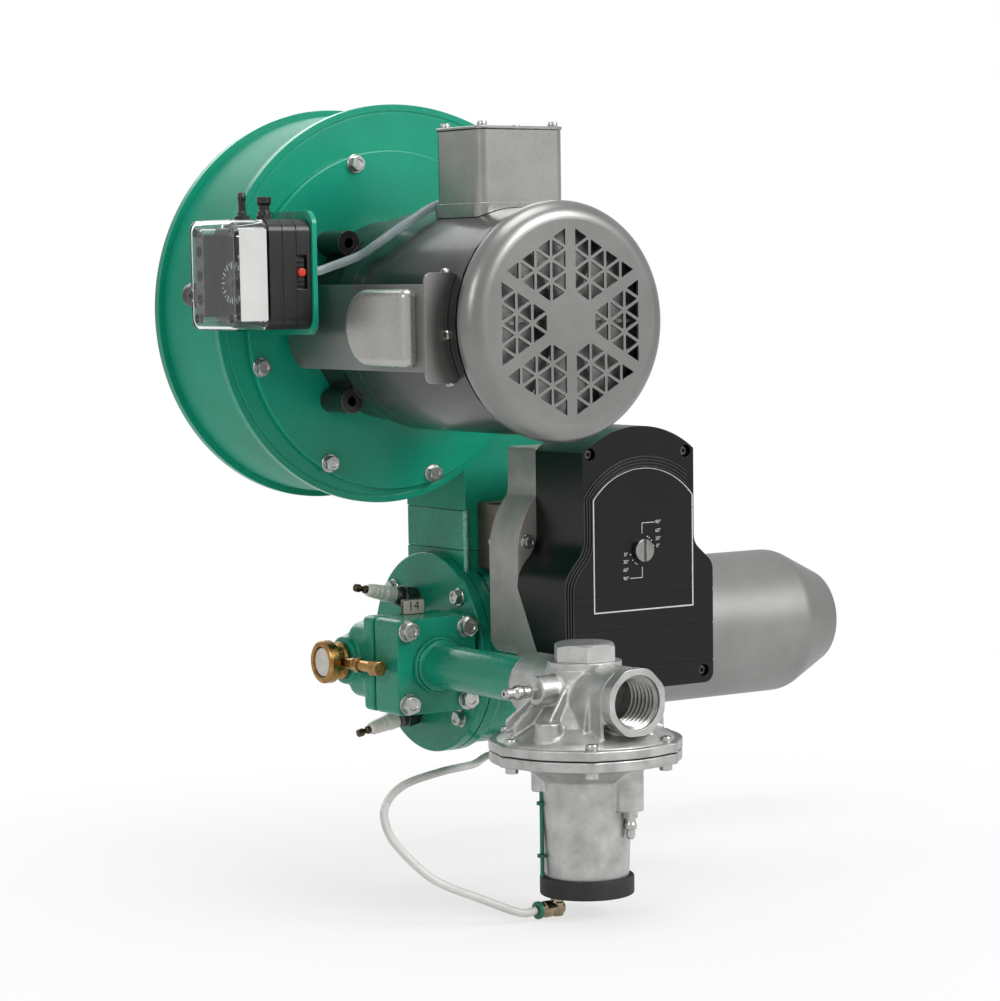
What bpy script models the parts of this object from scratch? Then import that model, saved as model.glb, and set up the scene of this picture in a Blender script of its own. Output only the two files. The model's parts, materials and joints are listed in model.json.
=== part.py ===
"""Packaged gas burner: a drum blower with a flange motor feeds a round burner body through a
motorised butterfly valve, gas comes in at the rear through a zero-pressure ratio regulator, and a
conical alloy tube carries the flame through the furnace wall.

Frame: the origin is the centre of the wall flange's front face, +X runs along the combustion tube
into the furnace, +Z is up, and -Y is the side where the motor's fan cover faces. Metres.
"""

import math

import bmesh
import bpy
from mathutils import Matrix, Vector

# General clearances
gap = 0.0003
running_gap = 0.0015

# Burner body, wall flange and combustion tube
flange_lip = 0.013
flange_thickness = 0.012
flange_bolt_inset = 0.0068
flange_bolt_hole = 0.0034
body_radius = 0.075
body_wall = 0.005
body_length = 0.138
tube_inset = 0.015
tube_wall = 0.004
tube_length = 0.195
tube_rim_height = 0.008
tube_rim_thickness = 0.004
cone_length = 0.043
cone_drop = 0.0205

# Rear cover and the gas train's casting
cover_lip = 0.004
cover_thickness = 0.010
cover_bolt_inset = 0.012
cover_bolts = 4
gas_line_offset = 0.0385
block_width = 0.071
block_height = 0.073
casting_flange_thickness = 0.014
orifice_thickness = 0.0028
block_thickness = 0.033
casting_face = 0.024
gas_bore = 0.0135
elbow_radius = 0.029
sight_boss_radius = 0.020
sight_boss_length = 0.048
gas_pipe_radius = 0.0169
gas_pipe_wall = 0.0034

# Electrodes, both through the rear cover
electrode_tilt = math.radians(9)
electrode_side = 0.017
spark_height = 0.041
flame_rod_height = -0.049

# Gas nozzle and flame holder inside the tube
nozzle_pipe_radius = 0.0165
nozzle_pipe_wall = 0.0025
nozzle_reach = 0.175
flame_holder_thickness = 0.004
flame_holder_slots = 8

# Drum blower
blower_offset = 0.0583
blower_rise = 0.1477
scroll_radius = 0.1366
scroll_growth = 0.00758
scroll_flare = 0.0103
scroll_rim = 0.005
drum_half_depth = 0.042
side_plate = 0.0065
sheet = 0.0025
air_inlet_radius = 0.062
motor_opening_radius = 0.108
motor_plate_radius = 0.1265
motor_plate_thickness = 0.0052
motor_bolt_circle = 0.1205
motor_bolts = 8
motor_bolt_phase = math.radians(15.3)
impeller_radius = 0.112
impeller_depth = 0.056
impeller_blades = 10

# Outlet duct and butterfly valve
duct_offset = 0.0105
duct_width = 0.124
socket_rise = 0.007
valve_depth = 0.0318
valve_bore = 0.0365
valve_shaft_rise = 0.0066
valve_shaft_radius = 0.004
damper_clearance = 0.0008
damper_thickness = 0.003

# Actuator
bracket_depth = 0.046
bracket_width = 0.116
bracket_sheet = 0.003
bracket_drop = 0.0204
bracket_rise = 0.0309
base_depth = 0.038
cover_depth = 0.061
actuator_centre_offset = -0.0025
actuator_top_width = 0.103
actuator_foot_width = 0.139
actuator_dome_height = 0.093
actuator_corner_height = 0.0745
actuator_shoulder_top = 0.003
actuator_shoulder_drop = 0.020
actuator_foot_depth = 0.108
knob_radius = 0.0085
knob_height = 0.004
dial_gear_seat = 0.008

# Motor
motor_neck_inset = 0.014
motor_neck_length = 0.030
motor_radius = 0.080
motor_wall = 0.0035
front_bell_length = 0.064
frame_length = 0.1365
fan_cover_lip = 0.004
fan_cover_sheet = 0.002
fan_cover_depth = 0.0285
fan_cover_bend = 0.013
lug_stand = 0.0016
lug_radius = 0.0092
lug_hole = 0.004
bearing_radius = 0.020
bearing_width = 0.014
motor_shaft_radius = 0.008
stator_depth = 0.034
stator_length = 0.086
winding_depth = 0.014
winding_stand = 0.012
air_gap = 0.0007
fan_room = 0.012

# Grille in the fan cover: a hexagon of triangular holes between six spokes
grille_margin = 0.0045
grille_pitch_share = 0.224
grille_bar = 0.0027
grille_rows = 4

# Boxes on the motor
terminal_width = 0.070
terminal_length = 0.058
terminal_height = 0.060
terminal_wall = 0.0025
terminal_near_y = -0.2185
lid_thickness = 0.0022
capacitor_base_height = 0.058
capacitor_stand = 0.017
capacitor_step = 0.010
capacitor_near_y = -0.2545
capacitor_base_length = 0.193
capacitor_top_length = 0.095
capacitor_radius = 0.0175

# Ratio regulator
regulator_reach = 0.2675
port_reach = 0.063
socket_depth = 0.010
port_radius = 0.0235
port_bore = 0.0195
port_z = -0.0016
regulator_flange_radius = 0.070
regulator_flange_top = -0.033
regulator_flange_thickness = 0.007
diaphragm_thickness = 0.0015
regulator_neck_radius = 0.026
regulator_neck_top = 0.0225
hex_cap_flats = 0.041
hex_cap_height = 0.0125
spring_housing_top_radius = 0.0337
spring_housing_foot_radius = 0.0302
spring_housing_foot = -0.134
end_cap_radius = 0.034
end_cap_height = 0.012

# Air pressure switch and its bracket
switch_bracket_offset = 0.1675
switch_bracket_sheet = 0.0035
switch_near_y = -0.124
switch_width = 0.068
switch_drop = 0.0035
switch_height = 0.078
switch_port_rise = 0.0375
switch_port_inset = 0.012
switch_button_rise = 0.037
switch_dial_rise = 0.030
switch_gland_rise = 0.0215
switch_base_depth = 0.034
switch_cover_depth = 0.0275
switch_wall = 0.0018
switch_corner = 0.009
dial_radius = 0.0155

# Flexible lines
impulse_tube_radius = 0.003
sensing_tube_radius = 0.0032

# Fittings at the lines' ends: on the drum's near side, and under the burner body
air_tap_offset = 0.0565
air_tap_rise = 0.0803
tap_offset = 0.062
body_tap_y = -0.030
tap_drop = 0.014

# Bends of the two lines: offset from the rear cover, Y, and rise over the blower's axis or the origin
sensing_bends = [
    (-0.1492, -0.1130, 0.0405),
    (-0.1310, -0.1235, 0.0480),
    (-0.1262, -0.1400, 0.0560),
    (-0.1160, -0.1500, 0.0655),
    (-0.1035, -0.1540, 0.0735),
    (-0.0850, -0.1545, 0.0830),
    (-0.0580, -0.1535, 0.0875),
    (-0.0200, -0.1460, 0.0875),
    (0.0200, -0.1250, 0.0835),
]
impulse_bends = [
    (-0.122, -0.252, -0.1420),
    (-0.153, -0.245, -0.1270),
    (-0.170, -0.234, -0.1090),
    (-0.176, -0.220, -0.0930),
    (-0.166, -0.200, -0.0790),
    (-0.135, -0.175, -0.0700),
    (-0.080, -0.140, -0.0700),
    (-0.022, -0.095, -0.0760),
    (0.020, -0.046, -0.0815),
]

# Places that follow from the sizes above
flange_radius = body_radius + flange_lip
flange_bolt_circle = flange_radius - flange_bolt_inset
cover_radius = body_radius + cover_lip
cover_bolt_circle = cover_radius - cover_bolt_inset
tube_radius = body_radius - tube_inset
tube_rim_radius = tube_radius + tube_rim_height
cone_tip_radius = tube_radius - cone_drop
valve_bottom = body_radius + socket_rise
duct_top = valve_bottom + valve_depth
valve_shaft_height = valve_bottom + valve_shaft_rise
blower_height = duct_top + blower_rise
rear_x = -(body_length + flange_thickness)
gas_x = rear_x - gas_line_offset
blower_x = rear_x - blower_offset
duct_x = rear_x + duct_offset
valve_x = duct_x + duct_width / 2
blower_front = -(drum_half_depth + side_plate)
motor_neck_radius = motor_radius - motor_neck_inset
fan_cover_radius = motor_radius + fan_cover_lip
fan_face_radius = fan_cover_radius - fan_cover_bend
lug_circle = motor_radius + lug_stand
stator_inner = motor_radius - stator_depth
fan_radius = motor_radius - fan_room
grille_radius = fan_face_radius - grille_margin
grille_pitch = grille_radius * grille_pitch_share
capacitor_base_stand = motor_radius + capacitor_stand
motor_face = blower_front - gap - motor_plate_thickness
front_bell_end = motor_face - gap - front_bell_length
frame_end = front_bell_end - gap - frame_length
fan_cover_open = frame_end - 0.0005
fan_face = fan_cover_open - fan_cover_depth
actuator_x = valve_x + actuator_centre_offset
bracket_front = -(drum_half_depth + gap + bracket_depth)
base_front = bracket_front - gap - base_depth
actuator_front = base_front - gap - cover_depth
casting_flange_y = -(casting_face + casting_flange_thickness)
block_back_y = casting_flange_y - orifice_thickness - 2 * gap
block_front_y = block_back_y - block_thickness
regulator_y = -regulator_reach
regulator_flange_low = regulator_flange_top - regulator_flange_thickness
housing_top = regulator_flange_low - diaphragm_thickness - 2 * gap
switch_x = rear_x - switch_bracket_offset
switch_mid_y = switch_near_y + switch_width / 2
switch_low = blower_height - switch_drop
switch_high = switch_low + switch_height
switch_port_z = blower_height + switch_port_rise
air_tap_x = rear_x + air_tap_offset
air_tap_z = blower_height + air_tap_rise
body_tap_x = rear_x + tap_offset
tap_z = -math.sqrt(body_radius**2 - body_tap_y**2) - tap_drop

# Turns that point an object's local +Z along a world axis, with local +Y up for level axes
turns = {
    "+X": (math.pi / 2, 0, math.pi / 2),
    "-X": (math.pi / 2, 0, -math.pi / 2),
    "+Y": (math.pi / 2, 0, math.pi),
    "-Y": (math.pi / 2, 0, 0),
    "+Z": (0, 0, 0),
    "-Z": (math.pi, 0, 0),
}


def remove_start_objects():
    for old in list(bpy.data.objects):
        bpy.data.objects.remove(old, do_unlink=True)


def new_collection(name):
    made = bpy.data.collections.new(name)
    bpy.context.scene.collection.children.link(made)
    return made


remove_start_objects()
parts = new_collection("gas_burner")
cutters = new_collection("cutters")


def finish(name, colour, roughness, metallic=0.0):
    made = bpy.data.materials.new(name)
    made.use_nodes = True
    shader = made.node_tree.nodes["Principled BSDF"]
    shader.inputs["Base Color"].default_value = (*colour, 1.0)
    shader.inputs["Roughness"].default_value = roughness
    shader.inputs["Metallic"].default_value = metallic
    return made


enamel = finish("green_enamel", (0.02, 0.33, 0.20), 0.35)
motor_paint = finish("motor_paint", (0.13, 0.13, 0.13), 0.4, 0.6)
die_cast = finish("die_cast", (0.48, 0.48, 0.47), 0.45, 0.9)
steel = finish("bright_steel", (0.55, 0.55, 0.53), 0.3, 1.0)
alloy = finish("tube_alloy", (0.33, 0.33, 0.33), 0.45, 1.0)
brass = finish("brass", (0.45, 0.22, 0.05), 0.35, 1.0)
black_plastic = finish("black_plastic", (0.02, 0.02, 0.02), 0.4)
rubber = finish("rubber", (0.03, 0.03, 0.03), 0.8)
ceramic = finish("ceramic", (0.80, 0.78, 0.70), 0.3)
clear_plastic = finish("clear_plastic", (0.8, 0.8, 0.8), 0.1)
glass = finish("glass", (0.7, 0.75, 0.75), 0.05)
milky_plastic = finish("milky_plastic", (0.68, 0.68, 0.64), 0.4)
red_plastic = finish("red_plastic", (0.75, 0.06, 0.04), 0.4)
copper = finish("winding_copper", (0.5, 0.2, 0.08), 0.4, 0.8)


def place(name, mesh, surface, axis="+Z", origin=(0, 0, 0), cutter=False):
    made = bpy.data.objects.new(name, mesh)
    made.rotation_euler = turns[axis]
    made.location = origin
    if cutter:
        cutters.objects.link(made)
        made.hide_render = True
        made.display_type = "WIRE"
    else:
        parts.objects.link(made)
        mesh.materials.append(surface)
        mesh.shade_smooth()
        mesh.set_sharp_from_angle(angle=math.radians(35))
    return made


def signed_area(points):
    turned_points = points[1:] + points[:1]
    return sum(a[0] * b[1] - b[0] * a[1] for a, b in zip(points, turned_points)) / 2


def turned(name, profile, surface, axis="+Z", origin=(0, 0, 0), sides=48, cutter=False):
    """A profile of (radius, height) points turned about the axis; it may start and end on it."""
    points = list(profile)
    if signed_area(points) > 0:
        points.reverse()
    mesh = bpy.data.meshes.new(name)
    on_axis = [point for point in points if point[0] < 1e-9]
    if on_axis:
        while not (points[0][0] < 1e-9 and points[-1][0] < 1e-9):
            points = points[1:] + points[:1]
    count = len(points)
    edges = [(i, i + 1) for i in range(count - 1)]
    if not on_axis:
        edges.append((count - 1, 0))
    mesh.from_pydata([(radius, 0, height) for radius, height in points], edges, [])
    made = place(name, mesh, surface, axis, origin, cutter)
    screw = made.modifiers.new("turn", "SCREW")
    screw.axis = "Z"
    screw.steps = sides
    screw.render_steps = sides
    screw.use_merge_vertices = True
    screw.merge_threshold = 0.00001
    screw.use_smooth_shade = False
    return made


def cylinder(name, radius, length, surface, axis="+Z", origin=(0, 0, 0), sides=32, cutter=False):
    profile = [(0, length), (radius, length), (radius, 0), (0, 0)]
    return turned(name, profile, surface, axis, origin, sides, cutter)


def ring(name, outer, inner, length, surface, axis="+Z", origin=(0, 0, 0), sides=48):
    profile = [(inner, length), (outer, length), (outer, 0), (inner, 0)]
    return turned(name, profile, surface, axis, origin, sides)


def box(name, low, high, surface, bevel=0.0, segments=2, cutter=False):
    mesh = bpy.data.meshes.new(name)
    shape = bmesh.new()
    size = [b - a for a, b in zip(low, high)]
    middle = [(a + b) / 2 for a, b in zip(low, high)]
    scale = Matrix.Diagonal((*size, 1))
    bmesh.ops.create_cube(shape, size=1, matrix=scale)
    shape.to_mesh(mesh)
    shape.free()
    made = place(name, mesh, surface, "+Z", middle, cutter)
    if bevel:
        rounding = made.modifiers.new("edges", "BEVEL")
        rounding.width = bevel
        rounding.segments = segments
    return made


def extruded(name, loops, thickness, surface, axis="+Z", origin=(0, 0, 0), cutter=False):
    """Flat outlines, the first one solid and the rest holes, raised along the axis."""
    curve = bpy.data.curves.new(name, "CURVE")
    curve.dimensions = "2D"
    curve.fill_mode = "BOTH"
    curve.extrude = thickness / 2
    for loop in loops:
        spline = curve.splines.new("POLY")
        spline.points.add(len(loop) - 1)
        for point, (across, up) in zip(spline.points, loop):
            point.co = (across, up, 0, 1)
        spline.use_cyclic_u = True
    holder = bpy.data.objects.new(name + "_outline", curve)
    bpy.context.scene.collection.objects.link(holder)
    seen = bpy.context.evaluated_depsgraph_get()
    mesh = bpy.data.meshes.new_from_object(holder.evaluated_get(seen))
    bpy.data.objects.remove(holder)
    shape = bmesh.new()
    shape.from_mesh(mesh)
    bmesh.ops.remove_doubles(shape, verts=shape.verts, dist=0.000001)
    bmesh.ops.translate(shape, verts=shape.verts, vec=(0, 0, thickness / 2))
    bmesh.ops.recalc_face_normals(shape, faces=shape.faces)
    shape.to_mesh(mesh)
    shape.free()
    return place(name, mesh, surface, axis, origin, cutter)


def arc(centre, radius, start, end, steps):
    """Points of an arc in degrees, both ends included."""
    found = []
    for step in range(steps + 1):
        angle = math.radians(start + (end - start) * step / steps)
        found.append((centre[0] + radius * math.cos(angle), centre[1] + radius * math.sin(angle)))
    return found


def circle(centre, radius, steps):
    return arc(centre, radius, 0, 360 - 360 / steps, steps - 1)


def rounded_rectangle(low, high, radius, steps=3):
    left, bottom = low[0] + radius, low[1] + radius
    right, top = high[0] - radius, high[1] - radius
    return (
        arc((right, bottom), radius, -90, 0, steps)
        + arc((right, top), radius, 0, 90, steps)
        + arc((left, top), radius, 90, 180, steps)
        + arc((left, bottom), radius, 180, 270, steps)
    )


def several(name, shapes, surface, cutter=False):
    """One mesh of round or hexagonal pegs: (centre, axis, radius, length, sides) each."""
    mesh = bpy.data.meshes.new(name)
    shape = bmesh.new()
    for centre, axis, radius, length, sides in shapes:
        turn = Vector(axis).to_track_quat("Z", "Y").to_matrix().to_4x4()
        spot = Matrix.Translation(Vector(centre) + Vector(axis).normalized() * length / 2) @ turn
        bmesh.ops.create_cone(
            shape,
            cap_ends=True,
            segments=sides,
            radius1=radius,
            radius2=radius,
            depth=length,
            matrix=spot,
        )
    shape.to_mesh(mesh)
    shape.free()
    return place(name, mesh, surface, cutter=cutter)


def boolean(target, other, operation):
    step = target.modifiers.new(operation.lower(), "BOOLEAN")
    step.operation = operation
    step.object = other
    step.solver = "EXACT"
    if other.name not in cutters.objects:
        parts.objects.unlink(other)
        cutters.objects.link(other)
    other.hide_render = True
    other.display_type = "WIRE"
    return target


def cut(target, *others):
    for other in others:
        boolean(target, other, "DIFFERENCE")
    return target


def join(target, *others):
    for other in others:
        boolean(target, other, "UNION")
    return target


def round_places(count, circle_radius, phase=0.0):
    """Angles measured from the top towards the left, as (across, up) offsets."""
    spots = []
    for index in range(count):
        angle = phase + 2 * math.pi * index / count
        spots.append((-circle_radius * math.sin(angle), circle_radius * math.cos(angle)))
    return spots


def bolt_heads(name, seats, axis, surface, flats=0.013, height=0.0055):
    """Hexagon heads standing on their seats, each sunk a little to join the carrier."""
    sink = Vector(axis) * -0.001
    heads = [(Vector(seat) + sink, axis, flats / math.sqrt(3), height + 0.001, 6) for seat in seats]
    return several(name + "_heads", heads, surface, True)


def smooth_points(route, spacing):
    """Evenly spaced points on a Catmull-Rom curve through the route."""
    knots = [Vector(point) for point in route]
    knots = [2 * knots[0] - knots[1]] + knots + [2 * knots[-1] - knots[-2]]
    dense = []
    for first, start, end, last in zip(knots, knots[1:], knots[2:], knots[3:]):
        for step in range(24):
            t = step / 24
            dense.append(
                0.5
                * (
                    2 * start
                    + (end - first) * t
                    + (2 * first - 5 * start + 4 * end - last) * t**2
                    + (3 * start - first - 3 * end + last) * t**3
                )
            )
    dense.append(knots[-2])
    total = sum((b - a).length for a, b in zip(dense, dense[1:]))
    count = max(2, round(total / spacing))
    found, travelled, target = [dense[0]], 0.0, total / count
    for a, b in zip(dense, dense[1:]):
        length = (b - a).length
        while length > 0 and travelled + length >= target - 1e-9 and len(found) < count:
            found.append(a.lerp(b, (target - travelled) / length))
            target += total / count
        travelled += length
    found.append(dense[-1])
    return found


def flexible_tube(name, route, radius, surface):
    curve = bpy.data.curves.new(name, "CURVE")
    curve.dimensions = "3D"
    curve.bevel_depth = radius
    curve.bevel_resolution = 1
    curve.use_fill_caps = True
    curve.resolution_u = 1
    points = smooth_points(route, radius * 5.5)
    spline = curve.splines.new("POLY")
    spline.points.add(len(points) - 1)
    for point, spot in zip(spline.points, points):
        point.co = (*spot, 1)
    curve.materials.append(surface)
    made = bpy.data.objects.new(name, curve)
    parts.objects.link(made)
    return made


# Burner body, rear cover and combustion tube


def make_burner_body():
    """Round air chamber welded to the wall flange, with the air socket on its top."""
    rear = rear_x + cover_thickness + gap
    inner = body_radius - body_wall
    hub = tube_radius + gap
    profile = [
        (cover_radius, 0),
        (cover_radius, 0.010),
        (body_radius, 0.012),
        (body_radius, -rear - flange_thickness),
        (flange_radius, -rear - flange_thickness),
        (flange_radius, -rear),
        (hub, -rear),
        (hub, -rear - flange_thickness),
        (inner, -rear - flange_thickness),
        (inner, 0),
    ]
    body = turned("burner_body", profile, enamel, "+X", (rear, 0, 0), 28)
    left, right = duct_x, duct_x + duct_width
    socket_top = valve_bottom - gap
    depth = drum_half_depth
    socket = box("air_socket", (left, -depth, body_radius * 0.6), (right, depth, socket_top), enamel)
    throat = box(
        "socket_throat",
        (left + 0.012, -depth + 0.004, body_radius * 0.3),
        (right - 0.008, depth - 0.004, socket_top + 0.01),
        enamel,
        cutter=True,
    )
    bore = cylinder(
        "chamber_bore", inner, -rear - flange_thickness + 0.002, enamel, "+X", (rear - 0.002, 0, 0), 28, True
    )
    join(body, socket)
    holes = [((-flange_thickness - 0.005, y, z), (1, 0, 0), flange_bolt_hole, 0.03, 10)
             for y, z in round_places(4, flange_bolt_circle, math.radians(45))]
    stem = several(
        "tap_stem", [((body_tap_x, body_tap_y, tap_z - 0.0045), (0, 0, 1), 0.0045, 0.020, 10)], brass
    )
    arm = several(
        "tap_arm", [((body_tap_x + 0.0055, body_tap_y, tap_z), (-1, 0, 0), 0.0055, 0.020, 10)], brass
    )
    return cut(join(body, stem, arm), bore, throat, several("flange_holes", holes, enamel, True))


def make_rear_cover():
    """Disc that closes the chamber, with the gas pipe's hole, two electrode holes and four bolts."""
    cover = cylinder("rear_cover", cover_radius, cover_thickness, enamel, "+X", (rear_x, 0, 0), 28)
    seats = [(rear_x, y, z) for y, z in round_places(cover_bolts, cover_bolt_circle, math.radians(45))]
    join(cover, bolt_heads("cover_bolt", seats, (-1, 0, 0), steel))
    pipe_hole = cylinder(
        "gas_hole", nozzle_pipe_radius + gap, 0.03, enamel, "+X", (rear_x - 0.01, 0, 0), 14, True
    )
    holes = []
    for height in (spark_height, flame_rod_height):
        tilt = electrode_axis(height)
        start = Vector((rear_x, electrode_side, height)) - tilt * 0.02
        holes.append((start, tilt, 0.0065 + gap, 0.04, 10))
    return cut(cover, pipe_hole, several("electrode_holes", holes, enamel, True))


def make_combustion_tube():
    """Alloy tube with a rim clamped behind the flange and a conical tip."""
    start = -flange_thickness - gap - tube_rim_thickness
    end = tube_length
    tip = end + cone_length
    wall = tube_wall
    profile = [
        (tube_rim_radius, 0),
        (tube_rim_radius, tube_rim_thickness),
        (tube_radius, tube_rim_thickness),
        (tube_radius, end - start - 0.003),
        (tube_radius - 0.0025, end - start + 0.002),
        (cone_tip_radius, tip - start),
        (cone_tip_radius - wall, tip - start),
        (tube_radius - wall, end - start - 0.002),
        (tube_radius - wall, 0),
    ]
    return turned("combustion_tube", profile, alloy, "+X", (start, 0, 0), 28)


def electrode_axis(height):
    """Unit vector pointing out of the rear cover, leaning away from the tube's axis."""
    lean = math.copysign(math.sin(electrode_tilt), height)
    return Vector((-math.cos(electrode_tilt), 0, lean))


def make_electrode(name, height, shell_surface):
    """Hexagon shell screwed in the cover with its rod, and the ceramic on the outside."""
    axis = electrode_axis(height)
    seat = Vector((rear_x, electrode_side, height)) + axis * 0.0021
    shell = several(name + "_shell", [(seat, axis, 0.0098, 0.011, 6)], shell_surface)
    neck = several(name + "_neck", [(seat - axis * 0.016, axis, 0.0065, 0.0175, 10)], steel, True)
    collar = several(name + "_collar", [(seat + axis * 0.0105, axis, 0.0082, 0.007, 10)], steel, True)
    rod = several(name + "_rod", [(seat - axis * 0.150, axis, 0.0013, 0.136, 8)], steel, True)
    join(shell, neck, collar, rod)
    start = seat + axis * (0.0175 + gap)
    insulator_profile = [(0, 0), (0.0062, 0), (0.0062, 0.009), (0.0048, 0.0115), (0.0044, 0.026), (0, 0.026)]
    insulator = turned(name + "_insulator", insulator_profile, ceramic, sides=12)
    insulator.rotation_euler = axis.to_track_quat("Z", "Y").to_euler()
    insulator.location = start
    nut = several(name + "_terminal", [(start + axis * 0.025, axis, 0.0032, 0.012, 8)], steel, True)
    join(insulator, nut)


def make_gas_nozzle():
    """Pipe from the casting through the cover to a nozzle head with a ring of gas ports."""
    start = rear_x + gap
    length = nozzle_reach
    inner = nozzle_pipe_radius - nozzle_pipe_wall
    profile = [
        (nozzle_pipe_radius, 0),
        (nozzle_pipe_radius, length),
        (nozzle_pipe_radius + 0.006, length + 0.008),
        (nozzle_pipe_radius + 0.006, length + 0.022),
        (0, length + 0.022),
        (0, length + 0.018),
        (nozzle_pipe_radius + 0.0025, length + 0.018),
        (nozzle_pipe_radius + 0.0025, length + 0.010),
        (inner, length),
        (inner, 0),
    ]
    nozzle = turned("gas_nozzle", profile, steel, "+X", (start, 0, 0), 14)
    ports = []
    for y, z in round_places(6, 1.0):
        ports.append(((start + length + 0.014, y * 0.016, z * 0.016), (0, y, z), 0.0024, 0.012, 6))
    return cut(nozzle, several("gas_ports", ports, steel, True))


def make_flame_holder():
    """Slotted swirl disc round the nozzle, a running fit in the tube."""
    outer = tube_radius - tube_wall - running_gap
    inner = nozzle_pipe_radius + gap
    x = rear_x + nozzle_reach - 0.016
    disc = ring("flame_holder", outer, inner, flame_holder_thickness, steel, "+X", (x, 0, 0), 22)
    rim = ring("holder_rim", outer, outer - 0.0025, 0.012, steel, "+X", (x, 0, 0), 22)
    reach = (outer - inner) * 0.6
    slots = bpy.data.meshes.new("slots")
    shape = bmesh.new()
    for index in range(flame_holder_slots):
        turn = Matrix.Rotation(2 * math.pi * index / flame_holder_slots, 4, "X")
        centre = Matrix.Translation((x + flame_holder_thickness / 2, 0, (outer + inner) / 2))
        spot = turn @ centre @ Matrix.Rotation(math.radians(25), 4, "Z")
        bmesh.ops.create_cube(shape, size=1, matrix=spot @ Matrix.Diagonal((0.03, 0.005, reach, 1)))
    shape.to_mesh(slots)
    shape.free()
    join(disc, rim)
    passages = [
        ((x - 0.01, electrode_side, height * 0.62), (1, 0, 0), 0.006, 0.03, 8)
        for height in (spark_height, flame_rod_height)
    ]
    return cut(
        disc,
        place("slot_cutters", slots, steel, cutter=True),
        several("rod_passages", passages, steel, True),
    )


# Gas train on the rear cover


def make_gas_casting():
    """Elbow casting: square flange on the -Y side, outlet to the cover, sight boss to the rear."""
    half_width, half_height = block_width / 2, block_height / 2
    outline = rounded_rectangle((-half_width, -half_height), (half_width, half_height), 0.004, 2)
    flange = extruded(
        "gas_casting", [outline], casting_flange_thickness, enamel, "-Y", (gas_x, -casting_face, 0)
    )
    elbow_profile = [
        (elbow_radius * math.sin(math.radians(a)), elbow_radius * (1 - math.cos(math.radians(a))))
        for a in (0, 22, 45, 68, 90)
    ]
    length = casting_face + elbow_radius + 0.001
    elbow_profile += [(elbow_radius, length), (0, length)]
    elbow = turned("elbow", elbow_profile, enamel, "-Y", (gas_x, elbow_radius, 0), 18)
    neck = cylinder("neck", elbow_radius - 0.0013, gas_line_offset - gap, enamel, "+X", (gas_x, 0, 0), 18)
    boss_profile = [
        (0, 0),
        (elbow_radius - 0.0026, 0),
        (elbow_radius - 0.0035, elbow_radius * 0.75),
        (sight_boss_radius + 0.002, elbow_radius * 1.15),
        (sight_boss_radius, sight_boss_length),
        (0, sight_boss_length),
    ]
    boss = turned("sight_boss", boss_profile, enamel, "-X", (gas_x, 0, 0), 14)
    join(flange, elbow, neck, boss)
    gas_way = cylinder("gas_way", gas_bore, 0.06, enamel, "-Y", (gas_x, 0.0052, 0), 12, True)
    outlet = cylinder("outlet_way", gas_bore - 0.0007, 0.06, enamel, "+X", (gas_x - 0.0031, 0, 0), 12, True)
    sight_way = cylinder("sight_way", 0.0105, 0.07, enamel, "-X", (gas_x + 0.0017, 0, 0), 12, True)
    return cut(flange, gas_way, outlet, sight_way)


def make_sight_port():
    """Brass body screwed in the boss with a test branch on its near side; it holds the sight glass."""
    start = gas_x - sight_boss_length
    inner = 0.0085
    profile = [
        (0.0100, -0.012),
        (0.0100, 0.0004),
        (0.0135, 0.0004),
        (0.0135, 0.012),
        (0.0170, 0.0145),
        (0.0170, 0.0225),
        (0.0155, 0.024),
        (0.0115, 0.024),
        (0.0115, 0.0185),
        (inner, 0.0185),
        (inner, -0.012),
    ]
    port = turned("sight_port", profile, brass, "-X", (start, 0, 0), 18)
    branch_x = start - 0.0062
    branch = several("test_branch", [((branch_x, -0.0115, 0), (0, -1, 0), 0.0042, 0.047, 10)], brass)
    join(port, branch)
    cylinder("sight_glass", 0.0112, 0.003, glass, "-X", (start - 0.0185 - gap, 0, 0), 14)
    tip = -0.0115 - 0.047
    plug = several("branch_plug", [((branch_x, tip + 0.006, 0), (0, -1, 0), 0.0062, 0.012, 6)], brass)
    socket = several(
        "plug_socket",
        [((branch_x, tip + 0.007, 0), (0, -1, 0), 0.0042 + gap, 0.007 + gap, 10)],
        brass,
        True,
    )
    cut(plug, socket)


def make_orifice_plate():
    half = 0.033
    tab_left, tab_right = -0.004, 0.016
    tab_top = 0.053
    outline = [
        (-half, -half),
        (half, -half),
        (half, half),
        (tab_right, half),
        (tab_right, tab_top),
        (tab_left, tab_top),
        (tab_left, half),
        (-half, half),
    ]
    origin = (gas_x, casting_flange_y - gap, 0)
    return extruded(
        "orifice_plate", [outline, circle((0, 0), 0.009, 16)], orifice_thickness, steel, "-Y", origin
    )


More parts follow.
